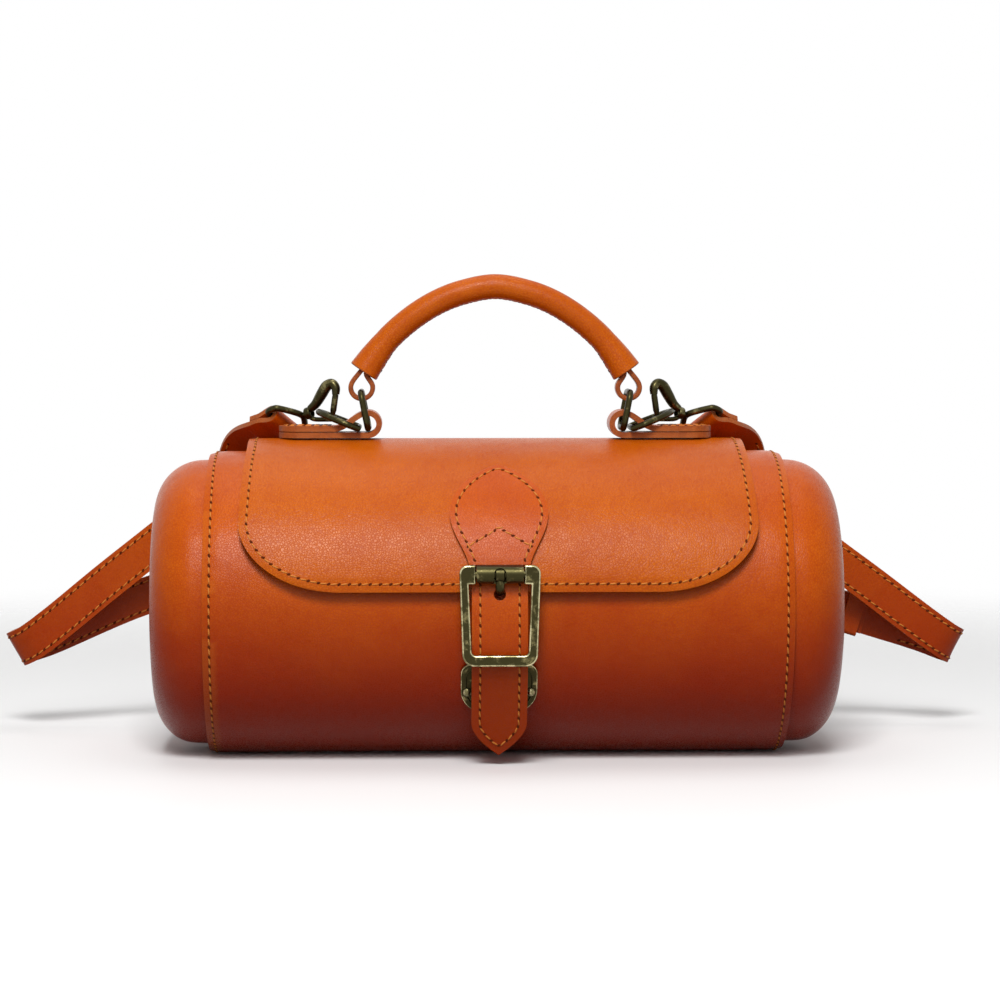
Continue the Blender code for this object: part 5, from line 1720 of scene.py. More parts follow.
class Flap(Assembly):
    """The flap with its root, in one piece of leather, and the lining under it."""

    SIZES = FlapSizes()

    def half(self, travel: float) -> float:
        """Half the flap's width.

        Args:
            travel: Distance from the lip.

        Returns:
            The half width.
        """
        size = self.sizes
        taper = (size.half_width - size.top_half_width) * min(travel / size.arc, 1)
        half = size.half_width - taper
        if travel < size.corner_height:
            share = 1 - travel / size.corner_height
            half -= size.corner_width * (1 - math.sqrt(max(1 - share * share, 0.0)))
        return half

    def angle(self, travel: float) -> float:
        """Angle round the barrel at a distance from the lip."""
        return self.sizes.lip_angle + travel / self.sizes.outside

    def point(self, x: float, travel: float) -> Vector:
        """A point on the flap's outside.

        Args:
            x: Place across the flap.
            travel: Distance from the lip.

        Returns:
            The point.
        """
        size = self.sizes
        angle = self.angle(travel)
        inset = min(self.half(travel) - abs(x), travel, size.full - travel)
        soft = max(1 - inset / size.edge_band, 0.0)
        base = on_barrel(size.outside - size.edge_drop * soft * soft, angle, x)
        fade = min(max((size.arc - travel) / size.ripple_fade, 0.0), 1.0)
        calm = min(max(1 - soft, 0.0), 1.0) * fade
        return rippled(base, outward(angle), size.ripple * calm, size.ripple_pitch, 11.3)

    def rows(self, count: int, columns: int) -> list[list[Vector]]:
        """Rows of points on the outside, from the lip to the back edge.

        Args:
            count: How many steps along the straight part.
            columns: How many steps across.

        Returns:
            The rows.
        """
        size = self.sizes
        travels = [size.corner_height * (1 - math.cos(QUARTER * step / 30)) for step in range(30)]
        travels += [size.corner_height + (size.full - size.corner_height) * step / count
                    for step in range(count)]
        return [[self.point(self.half(travel) * share, travel) for share in shares(columns)]
                for travel in [*travels, size.full]]

    def perimeter(self) -> list[tuple[float, float]]:
        """The outline of the leather from the back edge down round the lip and up again.

        Returns:
            Pairs of a place across and a distance from the lip.
        """
        size = self.sizes
        travels = [size.full - (size.full - size.corner_height) * step / 140 for step in range(140)]
        travels += [size.corner_height * (1 - math.sin(QUARTER * step / 60)) for step in range(61)]
        right = [(self.half(travel), travel) for travel in travels]
        right += [(self.half(0) * (1 - step / 40), 0.0) for step in range(1, 41)]
        return right + [(-x, travel) for x, travel in reversed(right[:-1])]

    def sheet(self, name: str, rows: Sequence[Sequence[Vector]], wall: float) -> bpy.types.Mesh:
        """A thin sheet under the leather."""
        mesh = facing(grid_mesh(name, rows), away_from_axis)
        return thick(mesh, wall, -1, 0.0003, segments=2)

    def build_lining(self) -> None:
        """The suede under the part that opens."""
        size = self.sizes
        inner = BARREL_RADIUS + GAP + size.lining_wall
        inset = size.lining_inset / 2
        rows = []
        for step in range(71):
            travel = inset + (size.arc - 2 * size.lining_inset + inset) * step / 70
            half = self.half(travel) - inset
            rows.append([on_barrel(inner, self.angle(travel), half * share) for share in shares(60)])
        self.shop.piece("flap_suede", self.sheet("flap_lining", rows, size.lining_wall), "flap",
                        (Finish.SUEDE, Finish.SUEDE), ("flap_lining",))

    def build_underlay(self, turn: float) -> None:
        """The second layer under the sewn root.

        Args:
            turn: Angle from the hinge line to the end of the bend.
        """
        size = self.sizes
        inner = size.outside - size.wall - GAP / 3
        half = size.top_half_width - size.underlay_inset
        first = size.hinge_angle + 1.2 * turn
        last = size.root_end_angle - size.underlay_inset / size.outside
        rows = [[on_barrel(inner, first + (last - first) * step / 40, half * share)
                 for share in shares(60)] for step in range(41)]
        self.shop.piece("flap_underlay", self.sheet("underlay", rows, size.underlay_wall), "bag",
                        (Finish.LEATHER, Finish.EDGE), slot="flap_root")

    def build(self) -> None:
        """Make the leather, its lining and its seams."""
        size = self.sizes
        mesh = facing(grid_mesh("flap", self.rows(96, 96)), away_from_axis)
        mesh = thick(mesh, size.wall, -1, 0.0012, segments=4)
        leather = self.shop.piece("flap_leather", mesh, None, (Finish.LEATHER, Finish.EDGE),
                                  ("flap_panel", "flap_root"))
        turn = size.bend / size.hinge_radius
        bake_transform(leather)
        self.build_lining()
        self.build_underlay(turn)
        back = size.full - size.seam_inset
        half = self.half(back) - size.seam_inset
        for line in (inset_line(self.perimeter(), -size.seam_inset),
                     [(half * (1 - step / 60), back) for step in range(121)]):
            self.shop.seam("flap_edge", [self.point(x, travel) for x, travel in line],
                           [outward(self.angle(travel)) for _, travel in line])
        for piece in self.shop.sew("flap_edge", "flap_edge", None, "flap_panel"):
            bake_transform(piece)


@dataclass(frozen=True)
class ClosureSizes:
    """Sizes of the tab, the strap, the buckle and the catch, in metres and radians."""

    tab_in: float = 0.0619
    tab_out: float = 0.0641
    tab_middle: float = 0.0630
    tab_wall: float = 0.0022
    tab_angle: float = math.radians(17.1)
    tab_neck_half: float = 0.0110
    tab_half: float = 0.0177
    tab_neck: float = 0.020
    tab_crown: float = 0.0231
    tab_inset: float = 0.0023
    chevron: tuple[tuple[float, float], ...] = ((-0.0113, 0.0067), (0.0, 0.0137), (0.0113, 0.0067))
    strap_wall: float = 0.0022
    strap_in: float = 0.0619
    strap_half: float = 0.010
    strap_top_angle: float = math.radians(14.6)
    strap_tip: float = 0.0185
    strap_point: float = 0.0142
    strap_flat: float = 0.008
    strap_tip_height: float = 0.0042
    strap_hole: float = 0.0022
    strap_inset: float = 0.003
    catch_angle: float = math.radians(-27)
    catch_in: float = 0.0573
    catch_wall: float = 0.0012
    catch_width: float = 0.0276
    catch_length: float = 0.0208
    catch_strap_in: float = 0.0634
    rim_inset: float = 0.0019
    rim_radius: float = 0.00035
    rivet_spread: float = 0.0114
    rivet_radius: float = 0.0017
    rivet_drop: float = 0.0015
    rivet_height: float = 0.0011
    sleeve_distance: float = 0.06765
    sleeve_radius: float = 0.00325
    sleeve_half: float = 0.0083
    sleeve_notch: float = 0.0022
    buckle_angle: float = math.radians(13.5)
    buckle_width: float = 0.029
    buckle_foot_width: float = 0.027
    buckle_pitch: float = 0.0308
    buckle_side: float = 0.0034
    buckle_foot: float = 0.0040
    buckle_wall: float = 0.0030
    buckle_corner: float = 0.0045
    axle_radius: float = 0.0015
    prong_radius: float = 0.00095
    prong_ring: float = 0.0027
    prong_half: float = 0.0017
    prong_tip: float = math.radians(7.6)
    leaf_wall: float = 0.0008
    leaf_length: float = 0.012


class Closure(Assembly):
    """The teardrop tab, the strap below it, the buckle between them and the catch."""

    SIZES = ClosureSizes()

    def tab_half(self, travel: float) -> float:
        """Half the tab's width.

        Args:
            travel: Distance above its lower end.

        Returns:
            The half width.
        """
        size = self.sizes
        if travel < size.tab_neck:
            swell = math.sin(QUARTER * travel / size.tab_neck) ** 1.4
            return size.tab_neck_half + (size.tab_half - size.tab_neck_half) * swell
        share = (travel - size.tab_neck) / size.tab_crown
        crown = max(math.cos(QUARTER * share), 0.0) ** 0.72
        return max(size.tab_half * crown, size.tab_wall / 6)

    def tab_turn(self, travel: float) -> float:
        """Angle round the barrel at a distance above the tab's lower end."""
        return self.sizes.tab_angle + travel / self.sizes.tab_middle

    def tab_point(self, x: float, travel: float, lift: float = 0.0) -> Vector:
        """A point on the tab's outside."""
        return on_barrel(self.sizes.tab_out + lift, self.tab_turn(travel), x)

    def build_tab(self) -> None:
        """The tab and its seams."""
        size = self.sizes
        full = size.tab_neck + size.tab_crown
        travels = [size.tab_neck * step / 24 for step in range(24)]
        travels += [size.tab_neck + size.tab_crown * (1 - (1 - step / 40) ** 1.8)
                    for step in range(41)]
        rows = []
        for travel in travels:
            half = self.tab_half(travel)
            row = []
            for share in shares(28):
                edge = max((abs(share) - 0.8) / 0.2, 0.0)
                row.append(self.tab_point(half * share, travel, -0.0002 * edge * edge))
            rows.append(row)
        mesh = facing(welded(grid_mesh("tab", rows), 0.00005), away_from_axis)
        mesh = thick(mesh, size.tab_wall, -1, 0.0006)
        self.shop.piece("tab", mesh, "flap", (Finish.STRAP, Finish.EDGE), ("closure_tab",))
        side = [(self.tab_half(full * step / 160), full * step / 160) for step in range(161)]
        line = inset_line(side, size.tab_inset)
        line = [(x, travel) for x, travel in line if x > 0.0004 and travel > 0.0014]
        self._noted(line + [(-x, travel) for x, travel in reversed(line)])
        self._noted([self._between(size.chevron, step / 24) for step in range(25)])

    @staticmethod
    def _between(corners: Sequence[tuple[float, float]], share: float) -> tuple[float, float]:
        """A point along a line of three corners.

        Args:
            corners: The corners.
            share: How far along it is, from 0 to 1.

        Returns:
            The point.
        """
        first = min(int(share * 2), 1)
        part = share * 2 - first
        start, end = corners[first], corners[first + 1]
        return (start[0] + (end[0] - start[0]) * part, start[1] + (end[1] - start[1]) * part)

    def _noted(self, line: Sequence[tuple[float, float]]) -> None:
        """Note a row of stitches on the tab."""
        self.shop.seam("flap", [self.tab_point(x, travel) for x, travel in line],
                       [outward(self.tab_turn(travel)) for _, travel in line])

    def strap_radius(self, angle: float) -> float:
        """Distance of the strap's middle from the barrel's axis.

        Args:
            angle: Angle round the barrel.

        Returns:
            The distance.
        """
        size = self.sizes
        upper = size.strap_in + size.strap_wall / 2
        catch = size.catch_strap_in + size.strap_wall / 2
        lower = math.hypot(catch, size.strap_flat)
        lower_angle = size.catch_angle + math.atan(size.strap_flat / catch)
        share = (size.strap_top_angle - angle) / (size.strap_top_angle - lower_angle)
        share = min(max(share, 0.0), 1.0)
        return upper + (lower - upper) * share ** 2 * (3 - 2 * share)

    def strap_line(self) -> list[Vector]:
        """Points down the middle of the strap.

        Returns:
            The points from its top to its tip.
        """
        size = self.sizes
        catch = size.catch_strap_in + size.strap_wall / 2
        middle = on_barrel(catch, size.catch_angle)
        lower_angle = size.catch_angle + math.atan(size.strap_flat / catch)
        line = []
        for step in range(70):
            angle = size.strap_top_angle + (lower_angle - size.strap_top_angle) * step / 70
            line.append(on_barrel(self.strap_radius(angle), angle))
        rise = Vector((0, math.sin(size.catch_angle), math.cos(size.catch_angle)))
        tip = middle + rise * (size.strap_tip_height - middle.z) / rise.z
        start = middle + rise * size.strap_flat
        line += [start.lerp(tip + rise * size.strap_tip, step / 12) for step in range(13)]
        line += [tip + rise * size.strap_tip * (1 - step / 40) ** 1.5 for step in range(1, 41)]
        return line

    def build_strap(self) -> None:
        """The pointed strap with its hole and its seams."""
        size = self.sizes
        line = self.strap_line()
        tip = line[-1]
        along = travelled(line)
        halves = []
        rows = []
        for point in line:
            left = min((point - tip).length / size.strap_point, 1.0)
            half = max(size.strap_half * math.sin(QUARTER * left) ** 0.9, size.strap_wall / 6)
            halves.append(half)
            rows.append([point + ACROSS * half * share for share in shares(20)])
        mesh = facing(welded(grid_mesh("strap", rows), 0.00005), away_from_axis)
        hole_place = on_barrel(self.strap_radius(size.prong_tip), size.prong_tip)
        hole = bar(size.strap_hole, 0.0088, hole_place, outward(size.prong_tip))
        mesh = thick(mesh, size.strap_wall, 0, 0.0006, [hole])
        self.shop.piece("strap", mesh, "flap", (Finish.STRAP, Finish.EDGE), ("closure_strap",))
        side = [(half, along[-1] - travel) for half, travel in zip(halves, along)][::-1]
        path = inset_line(side, size.strap_inset)
        path = [(x, travel) for x, travel in path if x > 0.0003 and travel < along[-1] - 0.004]
        loop = [(-x, travel) for x, travel in reversed(path)] + path
        points = []
        normals = []
        for x, travel in loop:
            place = along[-1] - travel
            spot = at_distance(line, along, place)
            ahead = (at_distance(line, along, min(place + 0.0005, along[-1]))
                     - at_distance(line, along, max(place - 0.0005, 0.0))).normalized()
            normal = ahead.cross(ACROSS)
            if normal.dot(BACK) > 0:
                normal = -normal
            points.append(spot + ACROSS * x + normal * size.strap_wall / 2)
            normals.append(normal)
        self.shop.seam("flap", points, normals)

    def build_sleeve(self) -> None:
        """The sleeve on the axle, with its notch, and its leaf under the tab."""
        size = self.sizes
        centre = on_barrel(size.sleeve_distance, size.buckle_angle)
        profile = ring_profile(size.axle_radius + GAP, size.sleeve_radius, size.sleeve_half)
        shell = lathe(profile, centre, ACROSS, 72, closed=True)
        pocket = bar(size.prong_ring + GAP, 2 * size.sleeve_notch, centre, ACROSS)
        notch = size.sleeve_notch
        outline = [(-notch, -0.010), (notch, -0.010)]
        outline += arc_points((0, -0.0004), notch, 0, math.pi, 16)
        arch = plate([outline], 0.008, barrel_frame(size.sleeve_distance + 0.004, size.buckle_angle))
        shell = carved(shell, [pocket, arch], 0.0004, 2, True)
        settled, under = size.tab_in + size.leaf_wall / 2, 0.0052
        path = [(size.sleeve_distance - 0.0022, 0.0010), (0.0637, 0.0030),
                (size.tab_in + size.leaf_wall * 1.3, 0.0041), (settled, under),
                (settled, under + size.leaf_length / 2), (settled, under + size.leaf_length)]
        turn = 1 / size.tab_out
        spots = through([on_barrel(r, size.buckle_angle + rise * turn) for r, rise in path], 6)
        rows = [[spot + ACROSS * (size.sleeve_half * share) for spot in spots]
                for share in shares(8)]
        leaf = thick(facing(grid_mesh("leaf", rows), away_from_axis), size.leaf_wall, 0, 0.0002)
        self.shop.piece("sleeve", joined("sleeve", [shell, leaf]), "flap",
                        (Finish.BRASS, Finish.BRIGHT), ("buckle_sleeve",))

    def foot_point(self) -> Vector:
        """The middle of the buckle's bottom bar, where it rests on the strap.

        Returns:
            The point.
        """
        size = self.sizes
        top = on_barrel(size.sleeve_distance, size.buckle_angle)
        high, low = 0.0, -size.buckle_angle * 2.5
        foot = top
        for _ in range(40):
            angle = (high + low) / 2
            lift = size.buckle_foot / 2 * math.sin(abs(angle)) + size.buckle_wall / 2 + GAP
            foot = on_barrel(self.strap_radius(angle) + size.strap_wall / 2 + lift, angle)
            if (foot - top).length < size.buckle_pitch:
                high = angle
            else:
                low = angle
        return foot

    def build_buckle(self) -> None:
        """The buckle's frame with its axle, and the prong."""
        size = self.sizes
        top = on_barrel(size.sleeve_distance, size.buckle_angle)
        rise = (top - self.foot_point()).normalized()
        turn = Matrix((ACROSS, rise, ACROSS.cross(rise))).transposed().to_4x4()
        place = Matrix.Translation(top) @ turn
        foot = -size.buckle_pitch - size.buckle_foot / 2
        shoulder, corner, inner = size.buckle_corner * 0.66, size.buckle_corner, 0.0015
        slot, low, high = size.sleeve_half + GAP, foot + size.buckle_foot, size.sleeve_radius
        outer = [(slot, high)]
        outer += arc_points((size.buckle_width / 2 - shoulder, high - shoulder), shoulder,
                            QUARTER, 0, 12)
        outer += arc_points((size.buckle_foot_width / 2 - corner, foot + corner), corner,
                            0, -QUARTER, 14)
        window = arc_points((size.buckle_foot_width / 2 - size.buckle_side - inner, low + inner),
                            inner, -QUARTER, 0, 8)
        window += [(size.buckle_width / 2 - size.buckle_side, -high - GAP), (slot, -high - GAP)]
        outline = outer + [(-x, y) for x, y in reversed(outer)]
        outline += [(-x, y) for x, y in reversed(window)] + window
        ring = carved(plate([outline], size.buckle_wall, place), [], 0.0006, 3, True)
        axle = bar(size.axle_radius, 2 * size.sleeve_half + size.buckle_side, top, ACROSS)
        self.shop.piece("buckle_ring", joined("buckle", [ring, axle]), "buckle",
                        (Finish.BRASS, Finish.BRIGHT), ("buckle_frame",))
        profile = ring_profile(size.axle_radius + GAP, size.prong_ring, size.prong_half, 0.0003)
        hoop = lathe(profile, top, ACROSS, 40, closed=True)
        step = 1 / size.sleeve_distance
        path = through([on_barrel(size.sleeve_distance, size.buckle_angle - 0.0021 * step),
                        on_barrel(size.sleeve_distance - 0.0003, size.buckle_angle - 0.0038 * step),
                        on_barrel(size.sleeve_distance - 0.0015, size.buckle_angle - 0.0054 * step),
                        on_barrel(size.strap_in + size.strap_wall / 3, size.prong_tip)], 8)
        self.shop.piece("prong", joined("prong", [hoop, self.tongue(path)]), "buckle_prong",
                        (Finish.BRASS,), ("buckle_prong",))

    def tongue(self, path: Sequence[Vector]) -> bpy.types.Mesh:
        """The flat rounded tongue of the prong.

        Args:
            path: The tongue's middle, from the ring to its tip.

        Returns:
            The mesh.
        """
        size = self.sizes
        along = travelled(path)
        rows = []
        for index, spot in enumerate(path):
            left = (along[-1] - along[index]) / (size.prong_half * 0.9)
            share = math.sqrt(max(1 - (1 - min(left, 1.0)) ** 2, 0.0))
            out = ahead_at(path, index).cross(ACROSS)
            row = []
            for step in range(24):
                turn = 2 * math.pi * step / 24
                row.append(spot + ACROSS * size.prong_half * 0.94 * share * math.cos(turn)
                           + out * size.prong_radius * (0.35 + 0.65 * share) * math.sin(turn))
            rows.append(row)
        shape = bmesh.new()
        shape.from_mesh(grid_mesh("tongue", rows, loop_columns=True))
        bmesh.ops.holes_fill(shape, edges=[edge for edge in shape.edges if edge.is_boundary])
        bmesh.ops.recalc_face_normals(shape, faces=shape.faces)
        return mesh_from(shape, "tongue")

    def catch_outline(self, inset: float) -> list[tuple[float, float]]:
        """The outline of the shield plate.

        Args:
            inset: How far inside the plate's edge it runs.

        Returns:
            Pairs of plane coordinates.
        """
        size = self.sizes
        top = size.catch_length / 2 - inset
        corner = size.catch_length / 5
        shoulder = -size.catch_length / 20
        foot_half = size.catch_width / 5 - inset * 0.5
        half = size.catch_width / 2 - inset
        right = []
        for step in range(17):
            turn = QUARTER * (1 - step / 16)
            right.append((foot_half + (half - foot_half) * math.cos(turn),
                          shoulder - (top + shoulder) * math.sin(turn)))
        right += arc_points((half - corner, top - corner), corner, 0, QUARTER, 8)
        return right + [(-x, y) for x, y in reversed(right)]

    def build_catch(self) -> None:
        """The shield plate with its raised rim, and its rivets."""
        size = self.sizes
        place = barrel_frame(size.catch_in + size.catch_wall / 2, size.catch_angle)
        base = plate([self.catch_outline(0.0)], size.catch_wall, place)
        base = carved(base, [], 0.0003, 2, True)
        rim = [place @ Vector((x, y, size.catch_wall / 2))
               for x, y in self.catch_outline(size.rim_inset)]
        ridge = tube(rim, size.rim_radius, cyclic=True)
        self.shop.piece("catch", joined("catch", [base, ridge]), "bag",
                        (Finish.BRASS, Finish.BRIGHT), ("catch_plate",))
        for side, word in SIDES:
            spot = barrel_frame(size.catch_in + size.catch_wall + GAP * 0.4, size.catch_angle,
                                side * size.rivet_spread)
            centre = spot @ Vector((0, -size.rivet_drop, 0))
            dome = [(size.rivet_radius * math.cos(turn), size.rivet_height * 1.1 * math.sin(turn))
                    for turn in [QUARTER * step / 8 for step in range(9)]]
            head = lathe([(0, -0.0003), (size.rivet_radius, -0.0003), *dome], centre,
                         outward(size.catch_angle), 28)
            self.shop.piece("rivet_" + word, head, "bag", (Finish.BRIGHT,),
                            ("catch_rivet_" + word,))
        self.shop.dress("catch_magnet", Finish.MAGNET)
        self.shop.dress("snap_disc", Finish.BRASS)

    def build(self) -> None:
        """Make the whole closure."""
        self.build_tab()
        self.build_strap()
        self.build_sleeve()
        self.build_buckle()
        self.build_catch()


# Rings, tabs and handle


@dataclass(frozen=True)
class TopSizes:
    """Sizes of the tabs, the rings and the handle, in metres and radians."""

    anchor_sheet: float = 0.0021
    anchor_width: float = 0.016
    anchor_outer_x: float = 0.081
    anchor_seam: float = 0.0021
    loop_x: float = 0.0476
    loop_radius: float = 0.0031
    loop_z: float = 0.1221
    close_x: float = 0.0600
    anchor_base: float = 0.1169
    wire: float = 0.0012
    d_wire: float = 0.0012
    link_base: tuple[float, float, float] = (0.0476, 0.0, 0.1205)
    link_top: tuple[float, float, float] = (0.050195, 0.0, 0.13385)
    link_pitch: float = 0.0136
    link_side: float = 0.0096
    link_corner: float = 0.0030
    d_bar: tuple[float, float, float] = (0.0512, 0.0, 0.1205)
    d_half: float = 0.0123
    d_depth: float = 0.0160
    d_rise: float = 0.38158
    d_turn: float = math.radians(76)
    handle_top: float = 0.1733
    handle_radius: float = 0.0047
    handle_end: float = 0.0059
    handle_wall: float = 0.0014
    fold_depth: float = 0.00035
    seam_lean: float = 0.2
    seam_drop: float = 0.00024
    seam_pitch: float = 0.0036
    core_radius: float = 0.0029
    core_inset: float = 0.014
    strip_sheet: float = 0.0018
    strip_width: float = 0.0064
    strip_radius: float = 0.0032
    strip_entry: float = 0.0030
    strip_sweep: float = math.radians(112)
    handle_path: tuple[tuple[float, float], ...] = (
        (0.0, 0.0), (0.0120, 0.0021), (0.0210, 0.0055), (0.0300, 0.0109), (0.0390, 0.0185),
        (0.0450, 0.0257), (0.0492, 0.0318))


class TopHardware(Assembly):
    """The folded tabs on top, their rings and the stiff handle."""

    SIZES = TopSizes()

    def anchor_half(self, x: float) -> float:
        """Half a tab's width, rounded at its outer end.

        Args:
            x: Place along the barrel.

        Returns:
            The half width.
        """
        half = self.sizes.anchor_width / 2
        past = x - (self.sizes.anchor_outer_x - half)
        if past <= 0:
            return half
        return max(math.sqrt(max(half * half - past * past, 0.0)), self.sizes.anchor_sheet / 4)

    def build_anchor(self, side: int, word: str) -> None:
        """A tab folded round the bars of its two rings.

        Args:
            side: 1 for right, -1 for left.
            word: The side's name.
        """
        size = self.sizes
        lower = size.anchor_base + size.anchor_sheet / 2
        upper = lower + size.anchor_sheet + GAP
        half = size.anchor_width / 2
        rounded = [size.anchor_outer_x - half + half * math.sin(QUARTER * step / 14)
                   for step in range(14, -1, -1)]
        start = rounded[-1]
        line = [(x, lower) for x in rounded]
        line += [(start + (size.loop_x - start) * step / 10, lower) for step in range(1, 10)]
        radius = size.loop_radius + size.anchor_sheet / 2
        line += arc_points((size.loop_x, size.loop_z), radius, -QUARTER, -3 * QUARTER, 24)
        top = size.loop_z + radius
        for step in range(1, 17):
            share = step / 16
            x = size.loop_x + (size.close_x - size.loop_x) * share
            line.append((x, upper + (top - upper) * (1 + math.cos(math.pi * share)) / 2))
        line += [(size.close_x + (start - size.close_x) * step / 6, upper) for step in range(1, 6)]
        line += [(x, upper) for x in reversed(rounded)]
        rows = [[mirrored(side, (x, self.anchor_half(x) * share, z)) for share in shares(16)]
                for x, z in line]
        mesh = thick(grid_mesh("anchor", rows), size.anchor_sheet, 0, 0.0006)
        self.shop.piece("anchor_" + word, face_out(mesh), "bag", (Finish.LEATHER, Finish.EDGE),
                        ("anchor_tab_" + word,))
        inset = size.anchor_seam
        flank = [(size.close_x + 0.002 + (start - size.close_x - 0.002) * step / 12, half - inset)
                 for step in range(13)]
        cap = [(start + (half - inset) * math.cos(turn), (half - inset) * math.sin(turn))
               for turn in [QUARTER * (1 - step / 16) for step in range(1, 33)]]
        loop = flank + cap + [(x, -y) for x, y in reversed(flank[:-1])]
        height = upper + size.anchor_sheet / 2
        self.shop.seam("bag", [mirrored(side, (x, y, height)) for x, y in loop],
                       [UP] * len(loop), 0.0032)

    def build_link(self, side: int, word: str) -> None:
        """The rounded rectangular ring between a tab and the handle.

        Args:
            side: 1 for right, -1 for left.
            word: The side's name.
        """
        size = self.sizes
        base, top = Vector(size.link_base), Vector(size.link_top)
        lean = (top - base).normalized()
        outline = rounded_outline(2 * size.link_side, 2 * size.link_side, 0, size.link_pitch,
                                  size.link_corner, 10)
        line = [mirrored(side, base + lean * rise + Vector((0, across, 0)))
                for across, rise in outline]
        self.shop.piece("link_" + word, tube(line, size.wire, cyclic=True, smoothness=7),
                        "link_" + word, (Finish.BRASS,), ("link_ring_" + word,))

    def d_point(self, turn: float) -> Vector:
        """A point of the D-ring's bow.

        Args:
            turn: Angle from its top.

        Returns:
            The point on the right ring.
        """
        size = self.sizes
        depth = size.d_depth * math.cos(turn)
        rise = Vector((math.cos(size.d_rise), 0, math.sin(size.d_rise)))
        return Vector(size.d_bar) + Vector((0, size.d_half * math.sin(turn), 0)) + depth * rise

    def build_d_ring(self, side: int, word: str) -> None:
        """The D-ring whose straight bar shares the tab's loop with the link.

        Args:
            side: 1 for right, -1 for left.
            word: The side's name.
        """
        size = self.sizes
        half = Vector((0, size.d_half - 1.6 * size.wire, 0))
        bow = [self.d_point(-size.d_turn + 2 * size.d_turn * step / 48) for step in range(49)]
        corners = [Vector(size.d_bar) - half, *bow, Vector(size.d_bar) + half]
        line = [mirrored(side, point) for point in corners]
        self.shop.piece("dee_" + word, tube(line, size.d_wire, cyclic=True, smoothness=7),
                        "d_ring_" + word, (Finish.BRASS,), ("d_ring_" + word,))

    def handle_line(self, count: int) -> list[Vector]:
        """Points along the middle of the handle.

        Args:
            count: How many points.

        Returns:
            The points from left to right.
        """
        size = self.sizes
        right = [Vector((x, 0, size.handle_top - drop)) for x, drop in size.handle_path]
        left = [mirrored(-1, point) for point in reversed(right[1:])]
        return even_path(left + right, count)

    def build_handle(self) -> None:
        """The leather tube with its seam, the twisted cord in it and the loops at its ends."""
        size = self.sizes
        line = self.handle_line(97)
        radii = []
        for point in line:
            near = min((point - line[0]).length, (point - line[-1]).length)
            share = max(1 - near / size.core_inset, 0.0)
            radii.append(size.handle_radius + (size.handle_end - size.handle_radius) * share)
        rows = []
        for index, point in enumerate(line):
            rise = ahead_at(line, index).cross(BACK).normalized()
            row = []
            for step in range(40):
                turn = 2 * math.pi * step / 40
                out = rise * math.cos(turn) + BACK * math.sin(turn)
                fold = math.exp(-(((step - 20) / 1.1) ** 2)) * size.fold_depth
                row.append(point + out * (radii[index] - fold))
            rows.append(row)
        mesh = grid_mesh("cover", rows, loop_columns=True)
        mesh = facing(mesh, lambda point: point - min(line, key=lambda spot: (spot - point).length))
        mesh = thick(mesh, size.handle_wall, -1, 0.0004)
        self.shop.piece("handle_leather", mesh, "handle", (Finish.LEATHER, Finish.EDGE),
                        ("handle_cover",))
        self._handle_seams(line, radii)
        inner = [point for point in self.handle_line(181)
                 if (point - line[0]).length > size.core_inset
                 and (point - line[-1]).length > size.core_inset]
        strands = []
        for strand in range(3):
            points = []
            for index, point in enumerate(inner):
                rise = BACK.cross(ahead_at(inner, index)).normalized()
                turn = 2 * math.pi * (strand / 3 + index / 16)
                points.append(point + (rise * math.cos(turn) + BACK * math.sin(turn))
                              * size.core_radius * 0.5)
            strands.append(tube(points, size.core_radius * 0.5, smoothness=3))
        self.shop.piece("handle_cord", joined("cord", strands), "handle", (Finish.ROPE,),
                        ("handle_core",))
        for side, word in SIDES:
            self._build_loop(side, word, line[-1], ahead_at(line, len(line) - 1))

    def _handle_seams(self, line: list[Vector], radii: list[float]) -> None:
        """Note the stitches that close the handle underneath.

        Args:
            line: The handle's middle.
            radii: Its radius at each point.
        """
        size = self.sizes
        for lean in (-size.seam_lean, size.seam_lean):
            points = []
            normals = []
            for index in range(3, len(line) - 3):
                rise = ahead_at(line, index).cross(BACK).normalized()
                out = -rise * math.cos(lean) + BACK * math.sin(lean)
                points.append(line[index] + out * (radii[index] - size.seam_drop))
                normals.append(out)
            self.shop.seam("handle", points, normals, size.seam_pitch)

    def _build_loop(self, side: int, word: str, end: Vector, ahead: Vector) -> None:
        """A strip looped round a link's upper bar, with both ends in the handle.

        Args:
            side: 1 for right, -1 for left.
            word: The side's name.
            end: The right end of the handle's middle.
            ahead: Direction of the handle there.
        """
        size = self.sizes
        top = Vector(size.link_top)
        centre = top + (end - top).normalized() * (size.strip_radius - size.wire - GAP)
        across = Vector((ahead.z, 0, -ahead.x)) * (size.strip_sheet + GAP) / 2
        toward = centre - end
        heading = math.atan2(toward.z, toward.x)
        sweep = size.strip_sweep
        radius = size.strip_radius + size.strip_sheet / 2
        inside = end - ahead * size.strip_entry
        points = [inside + across, end + across]
        points += [Vector((x, 0, z)) for x, z in
                   arc_points((centre.x, centre.z), radius, heading - sweep, heading + sweep, 8)]
        points += [end - across, inside - across]
        line = through(points, 5)
        rows = [[mirrored(side, spot + Vector((0, size.strip_width * (column / 8 - 0.5), 0)))
                 for column in range(9)] for spot in line]
        mesh = face_out(thick(grid_mesh("loop", rows), size.strip_sheet, 0, 0.0005))
        self.shop.piece("loop_" + word, mesh, "handle", (Finish.LEATHER, Finish.EDGE),
                        ("handle_loop_" + word,))

    def build(self) -> None:
        """Make the tabs, the rings and the handle."""
        for side, word in SIDES:
            self.build_anchor(side, word)
            self.build_link(side, word)
            self.build_d_ring(side, word)
        self.build_handle()


# Shoulder strap and its hooks


